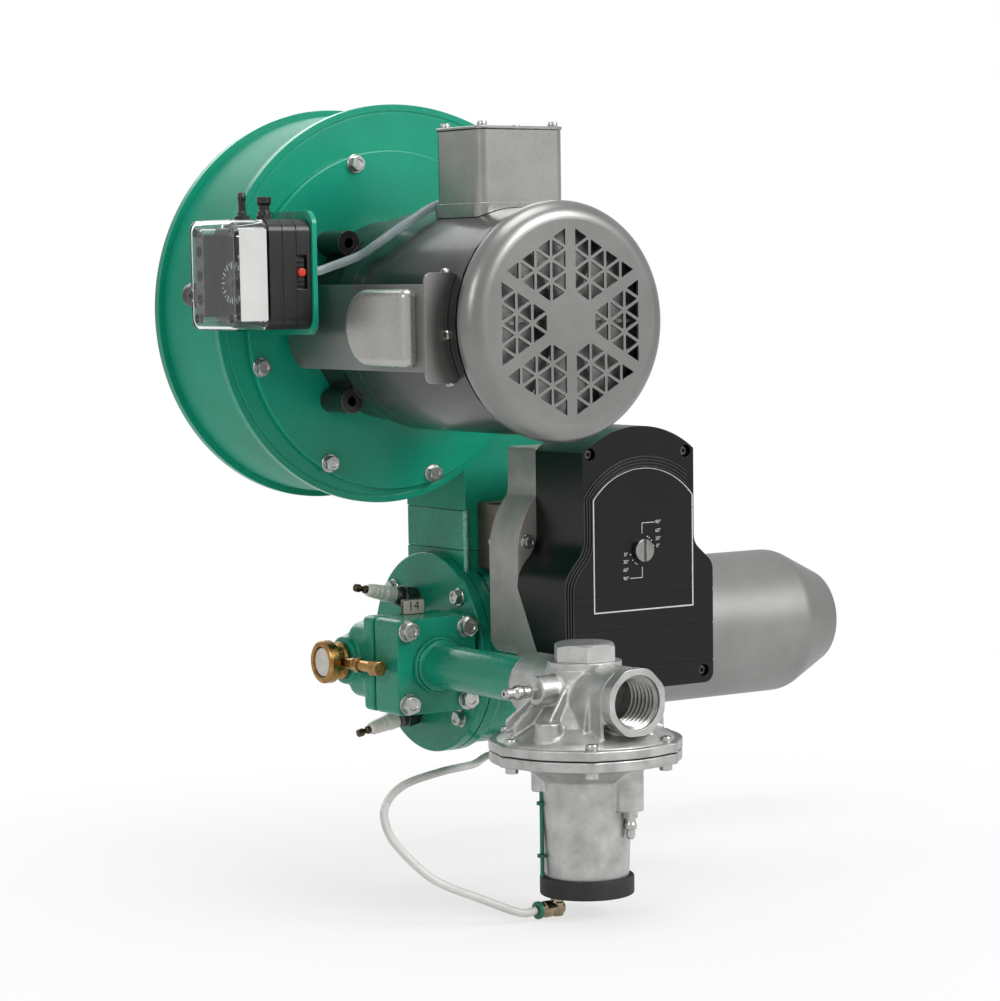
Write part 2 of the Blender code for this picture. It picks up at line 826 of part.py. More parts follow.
def make_gas_block():
    """Companion flange bolted to the casting with four cap screws; the gas pipe is welded in it."""
    half_width, half_height = block_width / 2, block_height / 2
    outline = rounded_rectangle((-half_width, -half_height), (half_width, half_height), 0.005)
    block = extruded(
        "gas_block", [
            outline,
            circle((0, 0), gas_bore, 24),
        ], block_thickness, enamel, "-Y", (gas_x, block_back_y, 0)
    )
    pipe_length = -(block_front_y - 0.001) + regulator_y + port_reach - 0.004
    pipe = ring(
        "gas_pipe_stub",
        gas_pipe_radius,
        gas_pipe_radius - gas_pipe_wall,
        abs(pipe_length),
        enamel,
        "-Y",
        (gas_x, block_front_y + 0.001, 0),
        18,
    )
    weld_profile = [(gas_pipe_radius - 0.001, -0.001), (gas_pipe_radius + 0.004, -0.001),
                    (gas_pipe_radius + 0.003, 0.0025), (gas_pipe_radius - 0.001, 0.005)]
    weld = turned("weld", weld_profile, enamel, "-Y", (gas_x, block_front_y, 0), 18)
    seats = [(gas_x + x, block_front_y, z) for x in (-0.0265, 0.0265) for z in (-0.028, 0.028)]
    join(block, pipe, weld)
    join(block, bolt_heads("block_bolt", seats, (0, -1, 0), steel, 0.013, 0.0075))
    return block


# Drum blower


def scroll_point(angle, inset=0.0):
    """Point of the scroll at an angle from the bottom, growing over the rear side and the top."""
    flare = scroll_flare * max(0.0, angle - math.pi) ** 2
    radius = scroll_radius + scroll_growth * angle + flare - inset
    return (-radius * math.sin(angle), -radius * math.cos(angle))


def scroll_outline(inset, first, last, steps):
    return [scroll_point(first + (last - first) * i / steps, inset) for i in range(steps + 1)]


def side_outline():
    """Edge of the side plates: the scroll, then straight down past the outlet and back in."""
    edge = scroll_outline(0, -1.05, 1.5 * math.pi, 40)
    right = edge[-1][0]
    return edge + [(right, -0.055), (right - 0.045, -0.082)]


def casing_outline(inset):
    """Wrap and outlet duct in one closed outline, about the blower's axis."""
    left = duct_offset + blower_offset + inset
    right = left + duct_width - 2 * inset
    bottom = duct_top - blower_height
    wrap = [point for point in scroll_outline(scroll_rim + inset, -1.0, 1.5 * math.pi, 39)]
    wrap = [point for point in wrap if point[0] < left or point[1] > -0.05]
    wrap = [point for point in wrap if point[0] < right]
    return [(left, bottom), (left, wrap[0][1])] + wrap + [(right, wrap[-1][1]), (right, bottom)]


def make_blower_housing():
    """Sheet-metal wrap of the scroll with the outlet duct, open at both sides and underneath."""
    depth = 2 * drum_half_depth
    bottom = duct_top - blower_height
    inner = [(x, z - (0.01 if z < bottom + 0.001 else 0)) for x, z in casing_outline(sheet)]
    wrap = extruded(
        "blower_housing",
        [casing_outline(0)],
        depth,
        enamel,
        "-Y",
        (blower_x, drum_half_depth, blower_height),
    )
    hollow = extruded(
        "wrap_hollow", [inner], depth + 0.01, enamel, "-Y", (
            blower_x, drum_half_depth + 0.005, blower_height
        ), True
    )
    return cut(wrap, hollow)


def make_side_plates():
    """Rimmed plates that close the wrap: the motor's opening in the near one, the air's in the far one."""
    thickness = side_plate - gap
    seat = drum_half_depth + gap
    near = extruded(
        "near_side_plate", [side_outline()], thickness, enamel, "-Y", (blower_x, -seat, blower_height)
    )
    mirrored = [(-x, z) for x, z in side_outline()]
    far = extruded("far_side_plate", [mirrored], thickness, enamel, "+Y", (blower_x, seat, blower_height))
    spot = (blower_x, -0.03, blower_height)
    opening = cylinder("motor_opening", motor_opening_radius, 0.03, enamel, "-Y", spot, 22, True)
    spot = (blower_x, 0.03, blower_height)
    inlet = cylinder("air_inlet", air_inlet_radius, 0.03, enamel, "+Y", spot, 22, True)
    cut(near, opening)
    cut(far, inlet)


def make_inlet_ring():
    """Rolled inlet cone set in the far side plate."""
    outer = air_inlet_radius - gap
    profile = [
        (outer, -0.020),
        (outer, side_plate + 0.0003),
        (outer + 0.010, side_plate + 0.0003),
        (outer + 0.010, side_plate + 0.0035),
        (outer - 0.001, side_plate + 0.0035),
        (outer - 0.005, side_plate),
        (outer - 0.005, -0.020),
    ]
    return turned("air_inlet_ring", profile, enamel, "+Y", (blower_x, drum_half_depth, blower_height), 22)


def make_motor_plate():
    """Round mounting plate on the near side of the drum, with its eight bolts and washers."""
    plate = ring(
        "motor_plate", motor_plate_radius, 0.030, motor_plate_thickness, enamel, "-Y",
        (blower_x, blower_front - gap, blower_height), 30,
    )
    seats = []
    for index, (x, z) in enumerate(round_places(motor_bolts, motor_bolt_circle, motor_bolt_phase)):
        lift = switch_bracket_sheet + 3 * gap + 0.001 if index == 1 else 0
        seats.append((blower_x + x, motor_face - lift, blower_height + z))
    shank = several(
        "bracket_bolt_shank",
        [(Vector(seats[1]) + Vector((0, 0.006, 0)), (0, -1, 0), 0.004, 0.008, 10)],
        steel,
        True,
    )
    return join(plate, shank, bolt_heads("plate_bolt", seats, (0, -1, 0), steel))


def make_impeller():
    """Backward-curved wheel: back plate and hub on the motor side, shroud towards the inlet."""
    near = -drum_half_depth + sheet + 0.004
    back_profile = [
        (motor_shaft_radius + gap, 0),
        (impeller_radius, 0),
        (impeller_radius, 0.002),
        (0.024, 0.002),
        (0.018, 0.020),
        (motor_shaft_radius + gap, 0.020),
    ]
    wheel = turned("impeller", back_profile, steel, "+Y", (blower_x, near, blower_height), 20)
    shroud_profile = [
        (air_inlet_radius + 0.004, impeller_depth),
        (impeller_radius, impeller_depth - 0.012),
        (impeller_radius, impeller_depth - 0.014),
        (air_inlet_radius + 0.004, impeller_depth - 0.002),
    ]
    shroud = turned("shroud", shroud_profile, steel, "+Y", (blower_x, near, blower_height), 20)
    blades = bpy.data.meshes.new("blades")
    shape = bmesh.new()
    for index in range(impeller_blades):
        start = 2 * math.pi * index / impeller_blades
        rows = []
        for step in range(3):
            share = step / 2
            radius = 0.050 + (impeller_radius - 0.0505) * share
            angle = start + math.radians(52) * share
            height = impeller_depth - 0.001 - 0.012 * max(0.0, (radius - 0.066) / (impeller_radius - 0.066))
            rows.append((radius, angle, height))
        faces = []
        for side in (-0.0009, 0.0009):
            ring_low, ring_high = [], []
            for radius, angle, height in rows:
                shifted = angle + side / radius
                x, z = radius * math.cos(shifted), radius * math.sin(shifted)
                ring_low.append(shape.verts.new((x, 0.001, z)))
                ring_high.append(shape.verts.new((x, height, z)))
            faces.append((ring_low, ring_high))
        (low_a, high_a), (low_b, high_b) = faces
        loop_a = low_a + high_a[::-1]
        loop_b = low_b + high_b[::-1]
        for step in range(2):
            shape.faces.new((low_a[step], low_a[step + 1], high_a[step + 1], high_a[step]))
            shape.faces.new((low_b[step], high_b[step], high_b[step + 1], low_b[step + 1]))
        for i in range(len(loop_a)):
            j = (i + 1) % len(loop_a)
            shape.faces.new((loop_a[i], loop_b[i], loop_b[j], loop_a[j]))
    bmesh.ops.recalc_face_normals(shape, faces=shape.faces)
    shape.to_mesh(blades)
    shape.free()
    vanes = place("vanes", blades, steel, "+Z", (blower_x, near, blower_height))
    return join(wheel, vanes, shroud)


# Motor


def blower_turned(name, profile, surface, y, sides=48):
    """A piece turned about the blower's axis, its heights running towards -Y from y."""
    return turned(name, profile, surface, "-Y", (blower_x, y, blower_height), sides)


def make_front_bell():
    """Drive-end bell with the flange neck, four lugs and the bearing seat."""
    y = motor_face - gap
    seat = bearing_radius + gap
    profile = [
        (motor_neck_radius, 0),
        (motor_neck_radius, motor_neck_length),
        (motor_neck_radius + 0.005, motor_neck_length + 0.001),
        (motor_radius, motor_neck_length + 0.026),
        (motor_radius, front_bell_length),
        (motor_radius - motor_wall, front_bell_length),
        (motor_radius - motor_wall, motor_neck_length + 0.025),
        (motor_neck_radius - 0.004, motor_neck_length),
        (motor_neck_radius - 0.004, 0.010),
        (seat + 0.006, 0.010),
        (seat + 0.006, 0.024),
        (seat, 0.024),
        (seat, 0.008),
        (motor_shaft_radius + 0.002, 0.008),
        (motor_shaft_radius + 0.002, 0),
    ]
    bell = blower_turned("front_end_bell", profile, motor_paint, y, 28)
    lug_length = motor_neck_length + 0.001
    offsets = [
        (sx * lug_circle * math.sqrt(0.5), sz * lug_circle * math.sqrt(0.5))
        for sx in (-1, 1)
        for sz in (-1, 1)
    ]
    lugs = [((blower_x + x, y, blower_height + z), (0, -1, 0), lug_radius, lug_length, 8) for x, z in offsets]
    webs = bpy.data.meshes.new("lug_webs")
    shape = bmesh.new()
    for x, z in offsets:
        turn = Matrix.Rotation(-math.atan2(z, x), 4, "Y")
        middle = Matrix.Translation((blower_x, y - (lug_length - 0.003) / 2, blower_height))
        size = Matrix.Diagonal((0.024, lug_length - 0.003, 0.016, 1))
        bar = Matrix.Translation((lug_circle - 0.012, 0, 0)) @ size
        bmesh.ops.create_cube(shape, size=1, matrix=middle @ turn @ bar)
    shape.to_mesh(webs)
    shape.free()
    join(bell, place("webs", webs, motor_paint), several("lugs", lugs, motor_paint))
    holes = [
        ((blower_x + x, y + 0.004, blower_height + z), (0, -1, 0), lug_hole, 0.05, 6)
        for x, z in offsets
    ]
    return cut(bell, several("lug_holes", holes, motor_paint, True))


def make_motor_frame():
    y = front_bell_end - gap
    return ring("motor_frame", motor_radius, motor_radius - motor_wall, frame_length, motor_paint, "-Y",
                (blower_x, y, blower_height), 28)


def make_rear_bell():
    """Fan-end bell: a disc with a spigot in the frame, the bearing seat and the cover's rim."""
    seat = bearing_radius + gap
    spigot = motor_radius - motor_wall - gap
    rim = fan_cover_radius - fan_cover_sheet - gap
    profile = [
        (spigot, -0.006),
        (spigot, gap),
        (rim, gap),
        (rim, 0.006),
        (motor_shaft_radius + 0.002, 0.009),
        (motor_shaft_radius + 0.002, 0.004),
        (seat, 0.004),
        (seat, -0.010),
        (seat + 0.006, -0.010),
        (seat + 0.006, gap),
        (spigot - 0.004, -0.006),
    ]
    return blower_turned("rear_end_bell", profile, motor_paint, frame_end, 28)


def grille_holes():
    """Fifteen triangular holes in each of six sectors, rows of three, five and seven."""
    side = grille_pitch
    rise = side * math.sqrt(3) / 2
    inset = grille_bar / 2
    outer = grille_radius * math.sqrt(3) / 2
    found = []
    for sector in range(6):
        turn = math.radians(60 * sector)
        for row in range(grille_rows - 1):
            far = outer + inset - row * rise
            near = far - rise
            count = grille_rows - row
            for index in range(2 * count - 1):
                centre = (index - (count - 1)) * side / 2
                points_in = index % 2 == 0
                tip, foot = (near, far) if points_in else (far, near)
                corners = [(tip, centre), (foot, centre - side / 2), (foot, centre + side / 2)]
                middle = (sum(c[0] for c in corners) / 3, sum(c[1] for c in corners) / 3)
                share = 1 - 2 * math.sqrt(3) * inset / side
                shrunk = [
                    (
                        middle[0] + (x - middle[0]) * share, middle[1] + (z - middle[1]) * share
                    ) for x, z in corners
                ]
                hole = [
                    (x * math.cos(turn) - z * math.sin(turn), x * math.sin(turn) + z * math.cos(turn))
                    for x, z in shrunk
                ]
                found.append(hole)
    return found


def make_fan_cover():
    """Domed sheet cover with the hexagonal grille cut in its flat face."""
    skirt = fan_cover_radius
    depth = fan_cover_depth
    bend = 0.0135
    steps = (0, 32, 62, 90)
    outer = [(0, depth)]
    outer += [
        (fan_face_radius + (skirt - fan_face_radius) * math.cos(math.radians(a)),
         depth - bend + bend * math.sin(math.radians(a)))
        for a in steps[::-1]
    ]
    inner = [
        (fan_face_radius + (skirt - fan_face_radius - fan_cover_sheet) * math.cos(math.radians(a)),
         depth - bend + (bend - fan_cover_sheet) * math.sin(math.radians(a)))
        for a in steps
    ]
    profile = outer + [(skirt, 0), (skirt - fan_cover_sheet, 0)] + inner + [(0, depth - fan_cover_sheet)]
    cover = blower_turned("fan_cover", profile, motor_paint, fan_cover_open, 28)
    holes = bpy.data.meshes.new("grille_holes")
    shape = bmesh.new()
    near, far = fan_face - 0.002, fan_face + fan_cover_sheet + 0.002
    for corners in grille_holes():
        front = [shape.verts.new((blower_x + x, near, blower_height + z)) for x, z in corners]
        back = [shape.verts.new((blower_x + x, far, blower_height + z)) for x, z in corners]
        shape.faces.new(front)
        shape.faces.new(back[::-1])
        for i in range(3):
            j = (i + 1) % 3
            shape.faces.new((front[i], back[i], back[j], front[j]))
    bmesh.ops.recalc_face_normals(shape, faces=shape.faces)
    shape.to_mesh(holes)
    shape.free()
    return cut(cover, place("grille_cutters", holes, motor_paint, cutter=True))


def make_motor_inside():
    """Shaft, rotor, stator, bearings and cooling fan, all about the blower's axis."""
    fan_y = frame_end - 0.0125
    impeller_end = 0.012
    shaft_start = -drum_half_depth + sheet + 0.004 + impeller_end
    shaft_length = shaft_start - fan_y + 0.009
    blower_turned(
        "motor_shaft",
        [(0, 0), (motor_shaft_radius, 0), (motor_shaft_radius, shaft_length), (0, shaft_length)],
        steel,
        shaft_start,
        12,
    )
    middle_y = (front_bell_end + frame_end) / 2
    bore = motor_shaft_radius + gap
    rotor = stator_inner - air_gap
    length = stator_length
    blower_turned(
        "rotor_core",
        [(bore, 0), (rotor, 0), (rotor, length), (bore, length)],
        steel,
        middle_y + length / 2,
        28,
    )
    shell = motor_radius - motor_wall - gap
    blower_turned(
        "stator_core",
        [
            (stator_inner, 0),
            (shell - winding_depth, -winding_stand),
            (shell, 0),
            (shell, length),
            (shell - winding_depth, length + winding_stand),
            (stator_inner, length),
        ],
        copper,
        middle_y + length / 2,
        28,
    )
    front_bearing_y = motor_face - gap - 0.010 - gap
    rear_bearing_y = frame_end - 0.004 + gap + bearing_width
    for name, y in (("front_bearing", front_bearing_y), ("rear_bearing", rear_bearing_y)):
        blower_turned(
            name,
            [(bore, 0), (bearing_radius, 0), (bearing_radius, bearing_width), (bore, bearing_width)],
            steel,
            y,
            14,
        )
    fan = blower_turned(
        "cooling_fan",
        [(bore, 0), (0.016, 0), (0.016, 0.0035), (fan_radius, 0.0035), (fan_radius, 0.005), (0.016, 0.005),
         (0.015, 0.011), (bore, 0.011)],
        black_plastic,
        fan_y + 0.0015,
        28,
    )
    blades = bpy.data.meshes.new("fan_blades")
    shape = bmesh.new()
    for index in range(6):
        turn = Matrix.Rotation(2 * math.pi * index / 6, 4, "Y")
        spot = Matrix.Translation((blower_x, fan_y - 0.0062, blower_height)) @ turn
        blade = Matrix.Translation((0.041, 0, 0)) @ Matrix.Diagonal((0.052, 0.0075, 0.0018, 1))
        bmesh.ops.create_cube(shape, size=1, matrix=spot @ blade)
    shape.to_mesh(blades)
    shape.free()
    join(fan, place("blades", blades, black_plastic))


def make_terminal_box():
    """Tapered box saddled on the motor frame, open at the top, with its gasketed lid."""
    left = blower_x - terminal_width / 2 + 0.005
    near, far = terminal_near_y, terminal_near_y + terminal_length
    top = blower_height + motor_radius + terminal_height - 0.003
    bottom = blower_height + motor_radius * 0.82
    body = box("terminal_box", (left, near, bottom), (left + terminal_width, far, top), motor_paint, 0.006, 3)
    body.modifiers["edges"].limit_method = "ANGLE"
    foot = box("box_foot", (left - 0.002, near - 0.002, bottom), (left + terminal_width + 0.002, far + 0.002,
               blower_height + motor_radius + 0.0035), motor_paint)
    wall = terminal_wall
    inside = box(
        "box_inside", (left + wall, near + wall, bottom - 0.02), (
            left + terminal_width - wall, far - wall, top + 0.01
        ),
        motor_paint, cutter=True,
    )
    saddle = cylinder(
        "box_saddle",
        motor_radius + gap,
        0.12,
        motor_paint,
        "-Y",
        (blower_x, near + 0.09, blower_height),
        28,
        True,
    )
    flat_top = box(
        "box_flat_top",
        (left - 0.01, near - 0.01, top - 0.0065),
        (left + 0.09, far + 0.01, top + 0.02),
        motor_paint,
        cutter=True,
    )
    join(body, foot)
    cut(body, inside, saddle, flat_top)
    lid_low = top - 0.0065 + gap
    right = left + terminal_width
    over = 0.001
    lid = box(
        "terminal_box_lid",
        (left - over, near - over, lid_low),
        (right + over, far + over, lid_low + lid_thickness),
        motor_paint,
        0.0008,
        1,
    )
    inset = wall + gap
    rim = box(
        "lid_rim",
        (left + inset, near + inset, lid_low - 0.004),
        (right - inset, far - inset, lid_low + 0.0005),
        motor_paint,
    )
    corner = 0.006
    corners = [(x, y) for y in (near + corner, far - corner) for x in (left + corner, right - corner)]
    screws = [((x, y, lid_low + lid_thickness - 0.0005), (0, 0, 1), 0.0033, 0.0035, 6) for x, y in corners]
    join(lid, rim, several("lid_screws", screws, steel, True))


def make_capacitor():
    """Pressed cover on the motor's rear side with the run capacitor inside."""
    base_x = blower_x - capacitor_base_stand
    half = capacitor_base_height / 2
    near = -capacitor_near_y
    far = near - capacitor_base_length
    middle = blower_height - 0.0025
    reach = capacitor_base_stand - motor_radius * 0.86
    outline = (
        [(near, -half), (near, half)]
        + arc((far + half * 0.8, half * 0.2), half * 0.8, 90, 180, 8)
        + arc((far + half * 0.8, -half * 0.2), half * 0.8, 180, 270, 8)
    )
    cover = extruded("capacitor_cover", [outline], reach, motor_paint, "-X", (base_x + reach, 0, middle))
    top_half = half - 0.002
    top_far = near - capacitor_top_length
    raised = (
        [(near - 0.001, -top_half), (near - 0.001, top_half)]
        + arc((top_far + top_half, 0), top_half, 90, 270, 8)
    )
    raised_depth = capacitor_step + 0.004
    upper = extruded("raised_cover", [raised], raised_depth, motor_paint, "-X", (base_x + 0.004, 0, middle))
    join(cover, upper)
    saddle = cylinder(
        "cover_saddle",
        motor_radius + gap,
        0.30,
        motor_paint,
        "-Y",
        (blower_x, 0.0, blower_height),
        28,
        True,
    )
    seat_y = capacitor_near_y + 0.0165
    pocket = cylinder("capacitor_pocket", capacitor_radius + gap, 0.078, motor_paint, "+Y",
                      (blower_x - motor_radius - 0.006, seat_y - gap, middle), 18, True)
    entry = box("pocket_entry", (blower_x - motor_radius - 0.006, seat_y, middle - 0.014),
                (blower_x - motor_radius * 0.8, seat_y + 0.07, middle + 0.014), motor_paint, cutter=True)
    return cut(cover, saddle, pocket, entry)


# Butterfly valve and actuator


def make_valve_housing():
    """Block between the blower's outlet and the burner body, bored for the butterfly disc."""
    low, high = valve_bottom, duct_top - gap
    block = box(
        "valve_housing",
        (duct_x, -drum_half_depth, low),
        (duct_x + duct_width, drum_half_depth, high),
        enamel,
    )
    bore = cylinder(
        "valve_bore", valve_bore, high - low + 0.02, enamel, "+Z", (valve_x, 0, low - 0.01), 22, True
    )
    shaft_hole = cylinder(
        "shaft_hole", valve_shaft_radius + gap, 0.2, enamel, "-Y", (
            valve_x, 0.1 - drum_half_depth - 0.02, valve_shaft_height
        ),
        20, True,
    )
    return cut(block, bore, shaft_hole)


def make_damper():
    """Butterfly disc with its shaft, coupled to the actuator's dial."""
    shaft_near = base_front - dial_gear_seat
    shaft = cylinder(
        "damper_shaft", valve_shaft_radius, drum_half_depth - 0.008 - shaft_near, steel, "-Y",
        (valve_x, drum_half_depth - 0.008, valve_shaft_height), 20,
    )
    hub = several(
        "damper_hub",
        [((valve_x, bracket_front + 0.012, valve_shaft_height), (0, 1, 0), 0.0085, 0.020, 10)],
        steel,
    )
    join(shaft, hub)
    radius = valve_bore - damper_clearance
    disc = cylinder(
        "damper_disc",
        radius,
        damper_thickness,
        steel,
        "+Z",
        (valve_x, 0, valve_shaft_height - damper_thickness / 2),
        18,
    )
    boss = several(
        "damper_boss",
        [((valve_x, -radius + 0.004, valve_shaft_height), (0, 1, 0), 0.0065, 2 * radius - 0.008, 10)],
        steel,
    )
    join(disc, boss)
    slot = cylinder(
        "damper_slot",
        valve_shaft_radius + gap,
        0.2,
        steel,
        "-Y",
        (valve_x, 0.1, valve_shaft_height),
        10,
        True,
    )
    cut(disc, slot)


def make_actuator_bracket():
    """Bent sheet bracket that stands the actuator off the valve housing, round the coupling."""
    left = valve_x - bracket_width / 2 + 0.002
    right = left + bracket_width
    back = -(drum_half_depth + gap)
    low = valve_shaft_height - bracket_drop
    high = valve_shaft_height + bracket_rise
    bracket = box("actuator_bracket", (left, bracket_front, low), (right, back, high), steel)
    thickness = bracket_sheet
    core = box(
        "bracket_core", (left + thickness, bracket_front + thickness, low - 0.01),
        (right - thickness, back - thickness, high + 0.01), steel, cutter=True,
    )
    way = cylinder(
        "bracket_way", 0.0095, 0.08, steel, "-Y", (valve_x, back + 0.01, valve_shaft_height), 10, True
    )
    cut(bracket, core, way)
    seats = [(x, back - thickness, z) for x in (left + 0.014, right - 0.014) for z in (high - 0.008,)]
    return join(bracket, bolt_heads("bracket_bolt", seats, (0, -1, 0), steel, 0.010, 0.005))


def actuator_outline(grow=0.0):
    """Front view of the cover: domed top, straight sides, shoulders and a wider foot."""
    half = actuator_top_width / 2 + grow
    foot = actuator_foot_width / 2 + grow
    shoulder = actuator_shoulder_top
    low = shoulder - actuator_foot_depth - grow
    corner = actuator_corner_height
    rise = actuator_dome_height - corner
    dome_radius = (half * half + rise * rise) / (2 * rise)
    spread = math.degrees(math.asin(half / dome_radius))
    dome = arc((0, corner + rise - dome_radius + grow), dome_radius, 90 - spread, 90 + spread, 8)
    left_side = [(-half, shoulder), (-foot, shoulder - actuator_shoulder_drop)] + arc(
        (-foot + 0.008, low + 0.008), 0.008, 180, 270, 4
    )
    right_side = arc((foot - 0.008, low + 0.008), 0.008, 270, 360, 4) + [
        (foot, shoulder - actuator_shoulder_drop + 0.004),
        (half, shoulder),
    ]
    return dome + left_side + right_side


def make_actuator():
    """Die-cast gear case, moulded cover and the position dial on the valve's axis."""
    origin = (actuator_x, base_front - gap, valve_shaft_height)
    cover = extruded("actuator_cover", [actuator_outline()], cover_depth, black_plastic, "-Y", origin)
    cover_edge = cover.modifiers.new("edges", "BEVEL")
    cover_edge.width = 0.002
    cover_edge.segments = 2
    cover_edge.limit_method = "ANGLE"
    cover_edge.angle_limit = math.radians(60)
    inner = [(x * 0.95, z * 0.96) for x, z in actuator_outline()]
    cover_room = extruded("cover_room", [inner], cover_depth - 0.003, black_plastic, "-Y",
                          (actuator_x, base_front + 0.001, valve_shaft_height), True)
    stem_hole = cylinder(
        "dial_hole",
        0.0045,
        0.03,
        black_plastic,
        "-Y",
        (valve_x, actuator_front + 0.015, valve_shaft_height),
        10,
        True,
    )
    cut(cover, cover_room, stem_hole)
    half = actuator_top_width / 2
    foot = actuator_foot_width / 2
    top = actuator_corner_height + 0.002
    base_loop = (
        [(half, top), (-half, top), (-half, 0.046)]
        + arc((-foot + 0.066, -0.004), 0.066, 138, 180, 6)
        + [(-foot, -0.072), (-foot + 0.006, -0.080), (foot - 0.010, -0.080), (foot, -0.072)]
        + arc((foot - 0.066, -0.004), 0.066, 0, 42, 6)
        + [(half, 0.046)]
    )
    base = extruded("actuator_base", [base_loop], base_depth, die_cast, "-Y",
                    (actuator_x, bracket_front - gap, valve_shaft_height))
    room_loop = [(x * 0.93, z * 0.93) for x, z in base_loop]
    room = extruded("base_room", [room_loop], base_depth, die_cast, "-Y",
                    (actuator_x, bracket_front - 0.005, valve_shaft_height), True)
    shaft_way = cylinder(
        "base_way",
        0.0095,
        0.02,
        die_cast,
        "-Y",
        (valve_x, bracket_front + 0.005, valve_shaft_height),
        10,
        True,
    )
    cut(base, room, shaft_way)
    dial_start = base_front - dial_gear_seat - gap
    face = cover_depth - dial_gear_seat
    dial_profile = [
        (0, 0),
        (0.024, 0),
        (0.024, 0.006),
        (0.004, 0.006),
        (0.004, face + gap),
        (knob_radius, face + gap),
        (knob_radius, face + knob_height),
        (0, face + knob_height),
    ]
    dial = turned("position_dial", dial_profile, steel, "-Y", (valve_x, dial_start, valve_shaft_height), 14)
    knob_face = actuator_front - knob_height
    grip = box(
        "dial_slot",
        (valve_x - 0.0012, knob_face - 0.002, valve_shaft_height - 0.02),
        (valve_x + 0.0012, knob_face + 0.0015, valve_shaft_height + 0.02),
        steel,
        cutter=True,
    )
    cut(dial, grip)


# Ratio regulator


def regulator_turned(name, profile, surface, sides=48, cutter=False):
    return turned(name, profile, surface, "+Z", (gas_x, regulator_y, 0), sides, cutter)


def make_regulator_body():
    """Die-cast body: diaphragm flange, dome, cross ports along Y and the seat inside."""
    flange = regulator_flange_radius
    low, top = regulator_flange_low, regulator_flange_top
    neck, neck_top = regulator_neck_radius, regulator_neck_top
    profile = [
        (0, low),
        (flange, low),
        (flange, top),
        (flange - 0.006, top + 0.001),
        (flange - 0.010, top + 0.004),
        (0.040, top + 0.014),
        (neck + 0.003, top + 0.026),
        (neck, neck_top),
        (0, neck_top),
    ]
    body = regulator_turned("regulator_body", profile, die_cast, 28)
    near_end = regulator_y - port_reach + socket_depth + gap
    far_end = regulator_y + port_reach
    port = cylinder("ports", port_radius, far_end - near_end, die_cast, "-Y", (gas_x, far_end, port_z), 14)
    ribs = [
        box("near_rib", (gas_x - 0.002, regulator_y - port_reach + socket_depth + 0.001, top - 0.002),
            (gas_x + 0.002, regulator_y - 0.02, -0.015), die_cast),
        box(
            "side_rib",
            (gas_x - 0.060, regulator_y - 0.002, top - 0.002),
            (gas_x - 0.02, regulator_y + 0.002, -0.013),
            die_cast,
        ),
    ]
    nipple_axis = Vector((-1, 0, 0))
    boss = several(
        "nipple_boss", [((gas_x - 0.02, regulator_y, 0.004), nipple_axis, 0.010, 0.024, 10)], die_cast
    )
    test_nipple = several(
        "test_nipple", [((gas_x - 0.040, regulator_y, 0.004), nipple_axis, 0.0042, 0.030, 8)], steel
    )
    nipple_nut = several(
        "nipple_nut", [((gas_x - 0.043, regulator_y, 0.004), nipple_axis, 0.0062, 0.006, 6)], steel
    )
    screw_boss = several(
        "screw_boss",
        [((gas_x - 0.050, regulator_y - 0.020, top - 0.004), (0, 0, 1), 0.011, 0.020, 10)],
        die_cast,
    )
    join(body, port, *ribs, boss, nipple_nut, test_nipple, screw_boss)
    near_bore = cylinder("near_bore", port_bore, port_reach - 0.016, die_cast, "-Y",
                         (gas_x, regulator_y - 0.0165, port_z), 14, True)
    far_bore = cylinder("far_bore", port_bore, port_reach - 0.016, die_cast, "+Y",
                        (gas_x, regulator_y + 0.0165, port_z), 14, True)
    upper_room = cylinder("upper_room", 0.0185, 0.060, die_cast, "+Z", (gas_x, regulator_y, 0.0015), 14, True)
    lower_room = cylinder(
        "lower_room", 0.0185, 0.016, die_cast, "+Z", (gas_x, regulator_y, -0.0185), 14, True
    )
    seat = cylinder("valve_seat", 0.011, 0.03, die_cast, "+Z", (gas_x, regulator_y, -0.012), 14, True)
    stem_way = cylinder("stem_way", 0.0037, 0.05, die_cast, "+Z", (gas_x, regulator_y, -0.050), 10, True)
    chamber_profile = [
        (0, low - 0.002),
        (0.056, low - 0.002),
        (0.056, low + 0.004),
        (0.030, low + 0.009),
        (0, low + 0.009),
    ]
    chamber = regulator_turned("chamber", chamber_profile, die_cast, 22, True)
    cross_in = box(
        "cross_in",
        (gas_x - 0.012, regulator_y - 0.024, 0.002),
        (gas_x + 0.012, regulator_y, 0.014),
        die_cast,
        cutter=True,
    )
    cross_out = box(
        "cross_out",
        (gas_x - 0.012, regulator_y, -0.015),
        (gas_x + 0.012, regulator_y + 0.024, -0.004),
        die_cast,
        cutter=True,
    )
    cut(body, near_bore, far_bore, upper_room, lower_room, seat, stem_way, chamber, cross_in, cross_out)
    return body


def make_inlet_collar():
    """Screwed socket on the body's near port, where the gas supply pipe goes in."""
    start = regulator_y - port_reach + socket_depth
    return ring(
        "inlet_collar", port_radius, port_bore, socket_depth, die_cast, "-Y", (gas_x, start, port_z), 14
    )


def make_regulator_cap():
    """Hexagon cap screwed in the top of the body."""
    seat = regulator_neck_top + gap
    cap = several(
        "regulator_cap",
        [((gas_x, regulator_y, seat), (0, 0, 1), hex_cap_flats / math.sqrt(3), hex_cap_height, 6)],
        die_cast,
    )
    plug = cylinder("cap_plug", 0.0182, 0.008, die_cast, "+Z", (gas_x, regulator_y, seat - 0.007), 14)
    guide = cylinder(
        "cap_guide", 0.0046, 0.0165, die_cast, "+Z", (gas_x, regulator_y, seat - 0.0095), 10, True
    )
    join(cap, plug)
    return cut(cap, guide)


